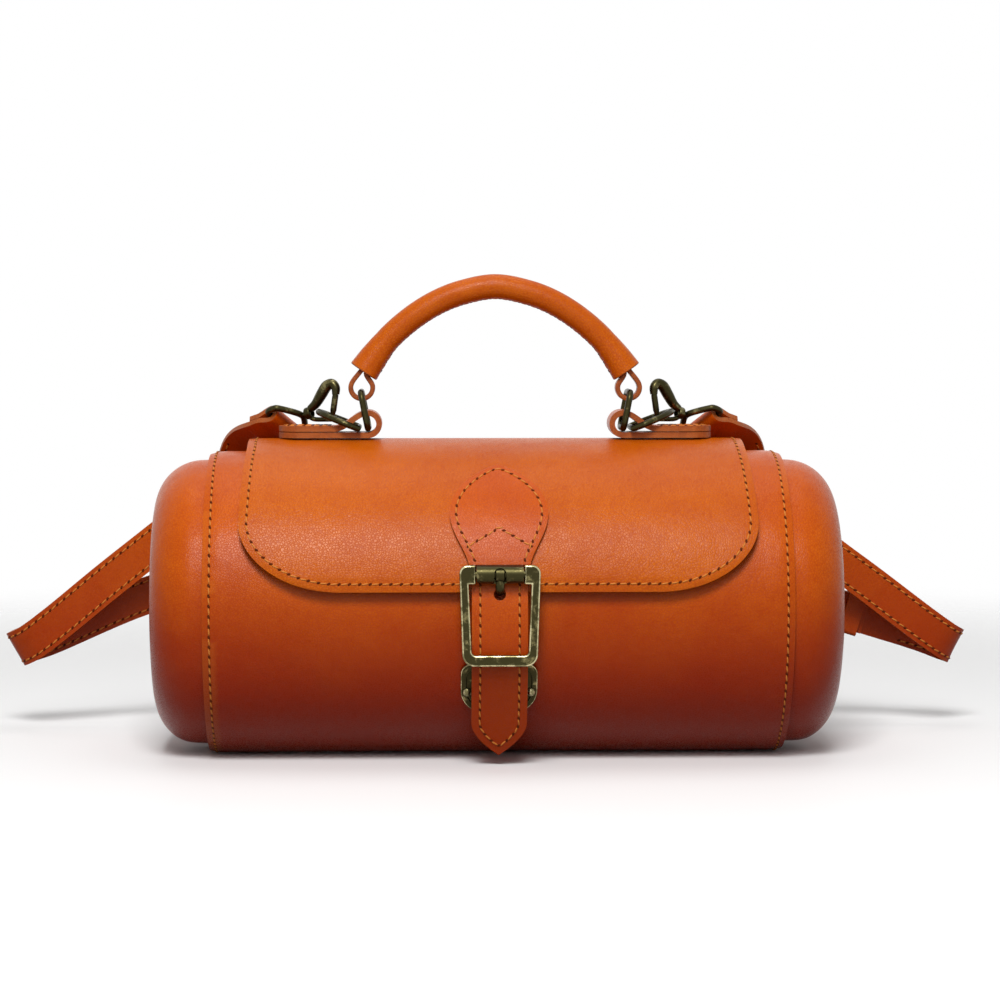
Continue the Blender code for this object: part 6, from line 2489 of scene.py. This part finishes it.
@dataclass(frozen=True)
class HookSizes:
    """Sizes of a swivel hook and the eye that turns in it, in metres and radians."""

    origin: tuple[float, float, float] = (0.064658, 0.005198, 0.1259)
    along: tuple[float, float, float] = (0.871407, 0.49056, 0.0)
    normal: tuple[float, float, float] = (0.49056, -0.871407, 0.0)
    wire: float = 0.0012
    back: tuple[tuple[float, float, float], ...] = (
        (-0.0056, 0.0070, 0.0014), (-0.0055, 0.0096, 0.0017), (-0.0040, 0.0111, 0.0018),
        (-0.0018, 0.0103, 0.0021), (0.0008, 0.0068, 0.0021), (0.0032, 0.0034, 0.0018),
        (0.0056, 0.0014, 0.0015))
    foot: tuple[tuple[float, float], ...] = (
        (-0.0022, -0.0024), (0.0036, -0.0024), (0.0050, -0.0020), (0.0060, -0.0014))
    foot_radius: float = 0.0009
    fork: tuple[float, float, float] = (0.0033, 0.0032, 0.0024)
    bridge: float = 0.0006
    gate_pivot: tuple[float, float] = (-0.0040, -0.0020)
    gate_top: tuple[float, float] = (-0.0055, 0.0070)
    gate_eye: float = 0.0012
    gate_eye_half: float = 0.0007
    gate_pin: float = 0.0005
    gate_radius: float = 0.0012
    swivel_drop: float = math.radians(18)
    swivel_centre: tuple[float, float] = (0.0062, -0.0001)
    swivel_radius: float = 0.0023
    swivel_half: float = 0.0013
    swivel_lip: float = 0.0008
    stem: float = 0.0010
    stem_head: float = 0.0014
    stem_head_wall: float = 0.0007
    eye_bar: float = 0.0130
    eye_roll: float = math.radians(32)
    eye_outline: tuple[tuple[float, float], ...] = (
        (0.0032, 0.0), (0.0037, 0.0019), (0.0076, 0.0080), (0.0088, 0.0092), (0.0115, 0.0092),
        (0.01255, 0.00875), (0.0130, 0.0077))


class Hooks(Assembly):
    """The swivel hooks, their gates and the eyes of the shoulder strap."""

    SIZES = HookSizes()

    def __init__(self, shop: Workshop) -> None:
        """Work out the hook's directions.

        Args:
            shop: The workshop.
        """
        super().__init__(shop)
        sizes = self.sizes
        self.along = Vector(sizes.along)
        self.normal = Vector(sizes.normal)
        self.turn = Matrix((self.along, -self.normal, UP)).transposed().to_4x4()
        self.swivel = self.place(sizes.swivel_centre)
        self.axis = self.along * math.cos(sizes.swivel_drop) - UP * math.sin(sizes.swivel_drop)
        rise = self.normal.cross(self.axis)
        self.across = self.normal * math.cos(sizes.eye_roll) + rise * math.sin(sizes.eye_roll)
        self.eye_normal = self.across.cross(self.axis)
        self.eye_centre = self.swivel + self.axis * sizes.eye_bar

    def place(self, spot: Sequence[float]) -> Vector:
        """A point in the plane of the right hook."""
        return Vector(self.sizes.origin) + self.along * spot[0] + UP * spot[1]

    def block(self, low: Sequence[float], high: Sequence[float], half: float) -> bpy.types.Mesh:
        """A box in the hook's plane, as far to both sides of it.

        Args:
            low: Its lower corner.
            high: Its upper corner.
            half: Half its depth.

        Returns:
            The mesh.
        """
        middle = [(low[axis] + high[axis]) / 2 for axis in (0, 1)]
        size = (high[0] - low[0], 2 * half, high[1] - low[1])
        return box_mesh(size, Matrix.Translation(self.place(middle)) @ self.turn)

    def build_body(self, side: int, word: str) -> None:
        """The cast back, the foot, the fork with its pin and the swivel barrel.

        Args:
            side: 1 for right, -1 for left.
            word: The side's name.
        """
        size = self.sizes
        spots = through(size.back, 10)
        back = tube([self.place(spot) for spot in spots], size.foot_radius,
                    radii=[spot.z / size.foot_radius for spot in spots], smoothness=6)
        foot_line = through([(*spot, 0.0) for spot in size.foot], 8)
        foot = tube([self.place(spot) for spot in foot_line], size.foot_radius)
        shell = bar(size.swivel_radius, 2 * size.swivel_half, self.swivel, self.axis, 0.0005, 40)
        bore = bar(size.stem + GAP, 2 * size.swivel_half,
                   self.swivel + self.axis * size.swivel_half, self.axis)
        lip = size.swivel_half - size.swivel_lip
        pocket = bar(size.stem_head + GAP, 3 * size.swivel_half,
                     self.swivel + self.axis * (lip - 1.5 * size.swivel_half), self.axis)
        shell = carved(shell, [bore, pocket])
        edge = size.gate_pivot[0] + size.gate_eye + GAP
        high = (edge + size.bridge, size.gate_pivot[1] + size.fork[2] / 2)
        low = (high[0] - size.fork[0], size.gate_pivot[1] - size.fork[2] / 2)
        fork = self.block(low, high, size.fork[1] / 2)
        slot = self.block((low[0] - size.fork[0], low[1] - size.fork[2]),
                          (edge, high[1] + size.fork[2]), size.gate_eye_half + GAP)
        fork = carved(fork, [slot], 0.00035, 3)
        pin = bar(size.gate_pin, size.fork[1] + 0.0002, self.place(size.gate_pivot), self.normal,
                  0.0001, 20)
        whole = side_mesh(side, joined("hook", [back, foot, shell, fork, pin]))
        self.shop.piece("hook_" + word, whole, "hook_" + word, (Finish.BRASS,),
                        ("hook_body_" + word,))

    def build_gate(self, side: int, word: str) -> None:
        """The sprung gate.

        Args:
            side: 1 for right, -1 for left.
            word: The side's name.
        """
        size = self.sizes
        centre, tip = self.place(size.gate_pivot), self.place(size.gate_top)
        start = centre + (tip - centre).normalized() * (size.gate_pin + 2 * GAP)
        line = [start.lerp(tip, step / 8) for step in range(9)]
        rod = tube(line, size.gate_radius, radii=[0.7, 0.8, 1, 1, 1, 1, 1, 1, 0.95])
        profile = ring_profile(size.gate_pin + GAP, size.gate_eye, size.gate_eye_half, 0.0002)
        hoop = lathe(profile, centre, self.normal, 28, closed=True)
        whole = side_mesh(side, joined("gate", [rod, hoop]))
        self.shop.piece("gate_" + word, whole, "gate_" + word, (Finish.BRASS,),
                        ("hook_gate_" + word,))

    def build_eye(self, side: int, word: str) -> None:
        """The wire eye of the strap with its captured stem.

        Args:
            side: 1 for right, -1 for left.
            word: The side's name.
        """
        size = self.sizes
        outline = [*size.eye_outline]
        outline += [(reach, -across) for reach, across in reversed(outline[1:])]
        corners = [self.swivel + self.axis * reach + self.across * across
                   for reach, across in outline]
        closed = [corners[-1], *corners, corners[0], corners[1]]
        fine = through(closed, 6)[6:-6]
        wire = tube(fine[:-1], size.wire, cyclic=True, smoothness=6)
        head_top = size.swivel_half - size.swivel_lip - GAP
        length = size.eye_outline[0][0] - head_top
        stem = bar(size.stem, length, self.swivel + self.axis * (head_top + length / 2), self.axis)
        head = bar(size.stem_head, size.stem_head_wall,
                   self.swivel + self.axis * (head_top - size.stem_head_wall / 2 + GAP / 10),
                   self.axis, 0.0002)
        whole = side_mesh(side, joined("eye", [wire, stem, head]))
        self.shop.piece("eye_" + word, whole, "shoulder_strap", (Finish.BRASS,),
                        ("hook_eye_" + word,))

    def build(self) -> None:
        """Make both hooks with their gates and eyes."""
        for side, word in SIDES:
            self.build_body(side, word)
            self.build_gate(side, word)
            self.build_eye(side, word)


@dataclass(frozen=True)
class StrapSizes:
    """Sizes and route of the shoulder strap, in metres and radians."""

    wall: float = 0.0020
    half: float = 0.0073
    eye_fold: float = 0.0095
    buckle_fold: float = 0.016
    turns: tuple[int, ...] = (-20, 15, 52, 90, 128, 165, 200)
    buckle: tuple[float, float, float] = (0.1345, 0.0675, 0.0473)
    slope: float = math.radians(17)
    pitch: float = 0.0150
    frame_half: float = 0.0096
    frame_wire: float = 0.0011
    frame_corner: float = 0.0019
    prong: float = 0.0007
    prong_eye: float = 0.0021
    prong_half: float = 0.0009
    prong_tip: float = 0.0162
    slot_length: float = 0.0084
    slot_place: float = 0.0060
    slot_out: float = 0.0020
    slot_depth: float = 0.009
    fold_slot_length: float = 0.0075
    fold_slot_place: float = 0.0008
    straight: tuple[float, ...] = (-0.032, -0.024)
    seam_pitch: float = 0.0036
    keeper_wall: float = 0.0013
    keeper_length: float = 0.007
    keeper_place: float = 0.0105
    keeper_half: float = 0.0040
    seam_inset: float = 0.0019
    tip: tuple[tuple[float, float], ...] = (
        (0.0200, -0.0022), (0.0150, -0.00245), (0.0110, -0.0015), (0.0070, 0.0014),
        (0.0035, 0.0039), (0.0, 0.0048), (-0.0030, 0.0044), (-0.0065, 0.0036),
        (-0.0110, 0.00345), (-0.0240, 0.00345))
    right: tuple[tuple[float, ...], ...] = (
        (0.0968, 0.0330, 0.1125, 0.62, -0.60, 0.50), (0.1022, 0.0446, 0.0985, 0.64, -0.50, 0.58),
        (0.1135, 0.0497, 0.0860, 0.62, -0.25, 0.72), (0.1280, 0.0517, 0.0728, 0.61, -0.05, 0.79),
        (0.1500, 0.0530, 0.0563, 0.60, 0, 0.80), (0.1720, 0.0545, 0.0397, 0.60, 0, 0.80),
        (0.1805, 0.0570, 0.0338, 0.55, 0, 0.83), (0.1842, 0.0612, 0.0316, 0.45, 0, 0.89),
        (0.1815, 0.0660, 0.0322, 0.35, 0, 0.94), (0.1740, 0.0682, 0.0350, 0.292, 0, 0.956))
    left: tuple[tuple[float, ...], ...] = (
        (-0.0968, 0.0330, 0.1125, -0.62, -0.60, 0.50),
        (-0.1022, 0.0446, 0.0990, -0.64, -0.50, 0.58),
        (-0.1135, 0.0499, 0.0880, -0.62, -0.25, 0.72),
        (-0.1280, 0.0519, 0.0765, -0.62, -0.05, 0.78), (-0.1500, 0.0530, 0.0592, -0.627, 0, 0.779),
        (-0.1720, 0.0545, 0.0412, -0.627, 0, 0.779), (-0.1822, 0.0570, 0.0337, -0.58, 0, 0.81),
        (-0.1872, 0.0614, 0.0312, -0.50, 0, 0.87), (-0.1845, 0.0662, 0.0322, -0.44, 0, 0.90),
        (-0.1760, 0.0680, 0.0350, -0.41, 0, 0.91), (-0.1380, 0.0690, 0.0510, -0.38, 0, 0.92),
        (-0.1000, 0.0695, 0.0610, -0.15, 0, 0.99), (-0.0500, 0.0700, 0.0650, 0, 0, 1),
        (0, 0.0700, 0.0660, 0, 0, 1), (0.0500, 0.0695, 0.0650, 0.02, 0, 1),
        (0.0900, 0.0685, 0.0590, 0.20, 0, 0.98))


class ShoulderStrap(Assembly):
    """Both parts of the shoulder strap, its buckle and its keeper."""

    SIZES = StrapSizes()

    def __init__(self, shop: Workshop, hooks: Hooks) -> None:
        """Work out the buckle's directions.

        Args:
            shop: The workshop.
            hooks: The hooks that carry the strap.
        """
        super().__init__(shop)
        self.hooks = hooks
        slope = self.sizes.slope
        self.along = Vector((-math.cos(slope), 0, math.sin(slope)))
        self.across = Vector((math.sin(slope), 0, math.cos(slope)))
        self.turn = Matrix((self.across, BACK, self.along)).transposed().to_4x4()

    def place(self, reach: float, out: float) -> Vector:
        """A point at the buckle."""
        return Vector(self.sizes.buckle) + self.along * reach + BACK * out

    def prong_slot(self, length: float, reach: float, out: float) -> bpy.types.Mesh:
        """The block that opens a slot for the prong."""
        return box_mesh((2 * (self.sizes.prong_half + GAP), self.sizes.slot_depth, length),
                        Matrix.Translation(self.place(reach, out)) @ self.turn)

    def fold(self, centre: Vector, width: Vector, toward: Vector, tail_side: Vector,
             bar_radius: float, tail: float) -> list[tuple[Vector, Vector]]:
        """Stations of a folded end, from the end of the tail round a bar to the main layer.

        Args:
            centre: The bar's middle.
            width: Direction of the strap's width.
            toward: Where the strap goes from the bar.
            tail_side: Side on which the tail lies.
            bar_radius: The bar's radius.
            tail: Length of the tail.

        Returns:
            Pairs of a middle and a width direction.
        """
        radius = bar_radius + GAP + self.sizes.wall / 2 + GAP / 6
        layer = (self.sizes.wall + GAP) / 2
        settled = 2.1 * radius
        points = [centre + toward * reach + tail_side * layer
                  for reach in (tail, (tail + settled) / 2, settled)]
        for turn in self.sizes.turns:
            angle = math.radians(turn)
            points.append(centre + radius * (tail_side * math.cos(angle) - toward * math.sin(angle)))
        points += [centre + toward * reach - tail_side * layer for reach in (settled, tail)]
        return [(point, width) for point in points]

    def eye_end(self, side: int) -> list[tuple[Vector, Vector]]:
        """Stations of the end that is folded round an eye.

        Args:
            side: 1 for right, -1 for left.

        Returns:
            The stations.
        """
        hooks = self.hooks
        return self.fold(mirrored(side, hooks.eye_centre), mirrored(side, hooks.across),
                         mirrored(side, hooks.axis), mirrored(side, hooks.eye_normal),
                         hooks.sizes.wire, self.sizes.eye_fold)

    def band(self, stations: Sequence[tuple[Vector, Vector]], steps: int,
             pointed: bool) -> tuple[list[Vector], list[Vector], list[Vector]]:
        """Middles, width vectors and normals through some stations.

        Args:
            stations: The stations.
            steps: Steps between two of them.
            pointed: Whether the last end is rounded off.

        Returns:
            The three lists.
        """
        middles = through([station[0] for station in stations], steps)
        widths = through([station[1] for station in stations], steps,
                         gaps([station[0] for station in stations]))
        along = travelled(middles)
        acrosses = []
        normals = []
        for index, width in enumerate(widths):
            ahead = ahead_at(middles, index)
            across = (width - ahead * ahead.dot(width)).normalized()
            half = self.sizes.half
            left = along[-1] - along[index]
            if pointed and left < half:
                half *= max(math.sqrt(max(1 - (1 - left / half) ** 2, 0.0)), 0.16)
            acrosses.append(across * half)
            normals.append(across.cross(ahead).normalized())
        return middles, acrosses, normals

    def band_piece(self, name: str, node: str, stations: Sequence[tuple[Vector, Vector]],
                   cutter: bpy.types.Mesh, spans: Sequence[tuple[int, int, int]],
                   pointed: bool) -> None:
        """One part of the strap with its seams.

        Args:
            name: The piece's name.
            node: The CAD node that it stands for.
            stations: Its stations.
            cutter: The slot for the prong.
            spans: First and last station of each seam, and the face that it lies on.
            pointed: Whether its last end is rounded off.
        """
        steps = 8
        middles, acrosses, normals = self.band(stations, steps, pointed)
        rows = [[middle + across * share for share in shares(12)]
                for middle, across in zip(middles, acrosses)]
        mesh = face_out(thick(grid_mesh(name, rows), self.sizes.wall, 0, 0.0005, [cutter], 2, False))
        self.shop.piece(name, mesh, "shoulder_strap", (Finish.STRAP, Finish.EDGE), (node,))
        for first, last, face in spans:
            chosen = range(first * steps, min(last * steps, len(middles) - 1) + 1)
            for edge in (-1, 1):
                share = 1 - self.sizes.seam_inset / self.sizes.half
                points = [middles[i] + acrosses[i] * share * edge
                          + normals[i] * face * self.sizes.wall / 2 for i in chosen]
                self.shop.seam("shoulder_strap", points, [normals[i] * face for i in chosen],
                               self.sizes.seam_pitch)

    def build(self) -> None:
        """Make both parts, the buckle, its prong and the keeper."""
        size = self.sizes
        layer = (size.wall + GAP) / 2
        buckle_end = self.fold(Vector(size.buckle), self.across, -self.along, -BACK,
                               size.frame_wire, size.buckle_fold)
        route = [(Vector(spot[:3]), Vector(spot[3:])) for spot in size.right]
        straight = [(self.place(reach, layer), self.across) for reach in size.straight]
        stations = self.eye_end(1) + route + straight + buckle_end[::-1]
        last = len(stations) - 1
        self.band_piece("strap_short", "shoulder_strap_short", stations,
                        self.prong_slot(size.fold_slot_length, size.fold_slot_place, 0),
                        ((12, last - 13, 1), (12, last - 13, -1)), False)
        tip = [(self.place(reach, out), self.across) for reach, out in size.tip]
        route = [(Vector(spot[:3]), Vector(spot[3:])) for spot in size.left]
        stations = self.eye_end(-1) + route + tip
        last = len(stations) - 1
        self.band_piece("strap_long", "shoulder_strap_long", stations,
                        self.prong_slot(size.slot_length, size.slot_place, size.slot_out),
                        ((12, last - 9, 1), (12, last - 9, -1)), True)
        self.build_buckle()
        self.build_keeper()

    def build_buckle(self) -> None:
        """The wire frame and the prong."""
        size = self.sizes
        outline = rounded_outline(2 * size.frame_half, 2 * size.frame_half, 0, size.pitch,
                                  size.frame_corner, 10)
        line = [self.place(rise, 0) + self.across * across for across, rise in outline]
        self.shop.piece("strap_buckle_ring", tube(line, size.frame_wire, cyclic=True, smoothness=6),
                        "strap_buckle", (Finish.BRASS,), ("strap_buckle_frame",))
        rest = size.frame_wire + GAP + size.prong
        start = self.place(0, size.prong_eye - size.prong / 2)
        end = self.place(size.prong_tip, rest)
        rod = tube([start.lerp(end, step / 8) for step in range(9)], size.prong,
                   radii=[1, 1, 1, 1, 1, 1, 1, 0.95, 0.7])
        profile = ring_profile(size.frame_wire + GAP, size.prong_eye, size.prong_half)
        hoop = lathe(profile, Vector(size.buckle), self.across, closed=True)
        self.shop.piece("strap_prong", joined("strap_prong", [rod, hoop]), "strap_prong",
                        (Finish.BRASS,), ("strap_buckle_prong",))

    def build_keeper(self) -> None:
        """The leather loop that holds the tip."""
        size = self.sizes
        half = size.half + GAP
        wall = size.keeper_wall
        outer = rounded_outline(2 * (half + wall), 2 * (half + wall), -size.keeper_half - wall,
                                size.keeper_half + wall, wall, 8)
        inner = rounded_outline(2 * half, 2 * half, -size.keeper_half, size.keeper_half, GAP, 2)
        place = Matrix.Translation(self.place(-size.keeper_place, (size.wall + GAP) / 2))
        mesh = plate([outer, inner], size.keeper_length, place @ self.turn, 0.0004)
        self.shop.piece("keeper", mesh, "shoulder_strap", (Finish.STRAP,), ("strap_keeper",))


# Studio


@dataclass(frozen=True)
class Lamp:
    """A soft square lamp.

    Attributes:
        name: Its name.
        place: Where it stands.
        side: Length of its side.
        power: Its power.
    """

    name: str
    place: tuple[float, float, float]
    side: float
    power: float


@dataclass(frozen=True)
class StudioPlan:
    """Where the camera and the lamps stand, in metres, degrees and watts.

    Attributes:
        distance: From the camera to the middle of the picture.
        elevation: Height of the camera above the horizon.
        azimuth: Turn of the camera round the object.
        width: Width of what the camera sees there.
        target: Middle of the picture.
        lamps: The lamps.
        aim: Where the lamps look.
        lens_width: Width of the camera's sensor, in millimetres.
    """

    distance: float = 1.15
    elevation: float = 3.4
    azimuth: float = -1.6
    width: float = 0.3758
    target: tuple[float, float, float] = (0.0018, 0.0, 0.0933)
    lamps: tuple[Lamp, ...] = (
        Lamp("key", (-0.10, -1.05, 1.20), 0.45, 19.0),
        Lamp("front", (-0.05, -1.20, 0.78), 0.35, 2.6),
        Lamp("fill", (-0.20, -1.50, 0.35), 0.7, 1.0),
        Lamp("top", (0.0, 0.15, 1.5), 0.9, 5.0))
    aim: tuple[float, float, float] = (0.0, 0.0, 0.07)
    lens_width: float = 36.0


class Studio:
    """A pale floor, a white surround, soft lamps and the camera."""

    PLAN = StudioPlan()

    def build_camera(self) -> None:
        """The camera, at the photograph's angle."""
        plan = self.PLAN
        turn, rise = math.radians(plan.azimuth), math.radians(plan.elevation)
        target = Vector(plan.target)
        away = Vector((math.sin(turn) * math.cos(rise), -math.cos(turn) * math.cos(rise),
                       math.sin(rise)))
        data = bpy.data.cameras.new("camera")
        data.sensor_width = plan.lens_width
        data.lens = plan.lens_width * plan.distance / plan.width
        data.clip_start = 0.05
        camera = bpy.data.objects.new("camera", data)
        camera.location = target + away * plan.distance
        camera.rotation_euler = (-away).to_track_quat("-Z", "Y").to_euler()
        bpy.context.scene.collection.objects.link(camera)
        bpy.context.scene.camera = camera

    def build_lamp(self, lamp: Lamp) -> None:
        """A soft square lamp that looks at the handbag.

        Args:
            lamp: What it is like.
        """
        data = bpy.data.lights.new(lamp.name, "AREA")
        data.shape = "SQUARE"
        data.size = lamp.side
        data.energy = lamp.power
        thing = bpy.data.objects.new(lamp.name, data)
        thing.location = lamp.place
        toward = Vector(self.PLAN.aim) - Vector(lamp.place)
        thing.rotation_euler = toward.to_track_quat("-Z", "Y").to_euler()
        bpy.context.scene.collection.objects.link(thing)

    @staticmethod
    def seen(tree: Tree) -> bpy.types.NodeSocket:
        """Whether the camera sees a place, straight on or in a reflection.

        Args:
            tree: The tree helper.

        Returns:
            The mask's socket.
        """
        path = tree.add("ShaderNodeLightPath")
        mirror = tree.math("MAXIMUM", path.outputs["Is Glossy Ray"],
                           path.outputs["Is Transmission Ray"])
        return tree.math("MAXIMUM", path.outputs["Is Camera Ray"], mirror)

    @staticmethod
    def build_world() -> None:
        """A surround that is white for the camera and dimmer as a light."""
        world = bpy.data.worlds.new("studio")
        bpy.context.scene.world = world
        world.use_nodes = True
        world.node_tree.nodes.clear()
        tree = Tree(world.node_tree)
        seen = Studio.seen(tree)
        light = tree.add("ShaderNodeBackground")
        light.inputs["Color"].default_value = (1.0, 0.985, 0.965, 1.0)
        light.inputs["Strength"].default_value = 0.20
        white = tree.add("ShaderNodeBackground")
        white.inputs["Color"].default_value = (1.0, 1.0, 1.0, 1.0)
        white.inputs["Strength"].default_value = 1.0
        mixed = tree.add("ShaderNodeMixShader")
        tree.link(seen, mixed.inputs[0])
        tree.link(light.outputs[0], mixed.inputs[1])
        tree.link(white.outputs[0], mixed.inputs[2])
        tree.link(mixed.outputs[0], tree.add("ShaderNodeOutputWorld").inputs[0])

    @staticmethod
    def build_floor() -> None:
        """A pale floor that fades into the white surround."""
        shape = bmesh.new()
        bmesh.ops.create_circle(shape, cap_ends=True, radius=1.6, segments=96)
        floor = bpy.data.objects.new("floor", mesh_from(shape, "floor"))
        floor.location = (0, 0, -0.0002)
        bpy.context.scene.collection.objects.link(floor)
        material = bpy.data.materials.new("floor")
        material.use_nodes = True
        material.node_tree.nodes.clear()
        tree = Tree(material.node_tree)
        shader = tree.add("ShaderNodeBsdfPrincipled")
        place = tree.object_place()
        reach = tree.add("ShaderNodeVectorMath", operation="LENGTH")
        tree.link(place, reach.inputs[0])
        tree.link(tree.remap(reach.outputs["Value"], 0.30, 0.75, 1.0, 0.0), shader.inputs["Alpha"])
        tree.link(tree.mix(Studio.seen(tree), (0.24, 0.24, 0.24), (0.93, 0.93, 0.93)),
                  shader.inputs["Base Color"])
        shader.inputs["Roughness"].default_value = 0.6
        tree.link(shader.outputs[0], tree.add("ShaderNodeOutputMaterial").inputs[0])
        floor.data.materials.append(material)

    def build(self) -> None:
        """Set the studio up."""
        bpy.context.scene.view_settings.view_transform = "Standard"
        self.build_camera()
        self.build_world()
        self.build_floor()
        for lamp in self.PLAN.lamps:
            self.build_lamp(lamp)


class Handbag:
    """The whole handbag."""

    def __init__(self, frame: dict) -> None:
        """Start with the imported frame.
        """
        self.shop = Workshop(frame)
        hooks = Hooks(self.shop)
        self.parts = (Barrel(self.shop), Flap(self.shop), Closure(self.shop),
                      TopHardware(self.shop), hooks, ShoulderStrap(self.shop, hooks))

    def build(self) -> None:
        """Make every part, then sew the noted seams, one mesh for each body."""
        for part in self.parts:
            LOG.info("building %s", type(part).__name__)
            part.build()
        for key, slot in (("bag", "barrel_panel"), ("flap", "closure_tab"),
                          ("handle", "handle_cover"), ("shoulder_strap", "shoulder_strap_long")):
            self.shop.sew(key, key, key, slot)


def main() -> None:
    """Load the frame, dress it and set up the studio."""
    logging.basicConfig(level=logging.INFO, format="%(name)s: %(message)s")
    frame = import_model()
    Handbag(frame).build()
    Studio().build()


if __name__ == "__main__":
    main()
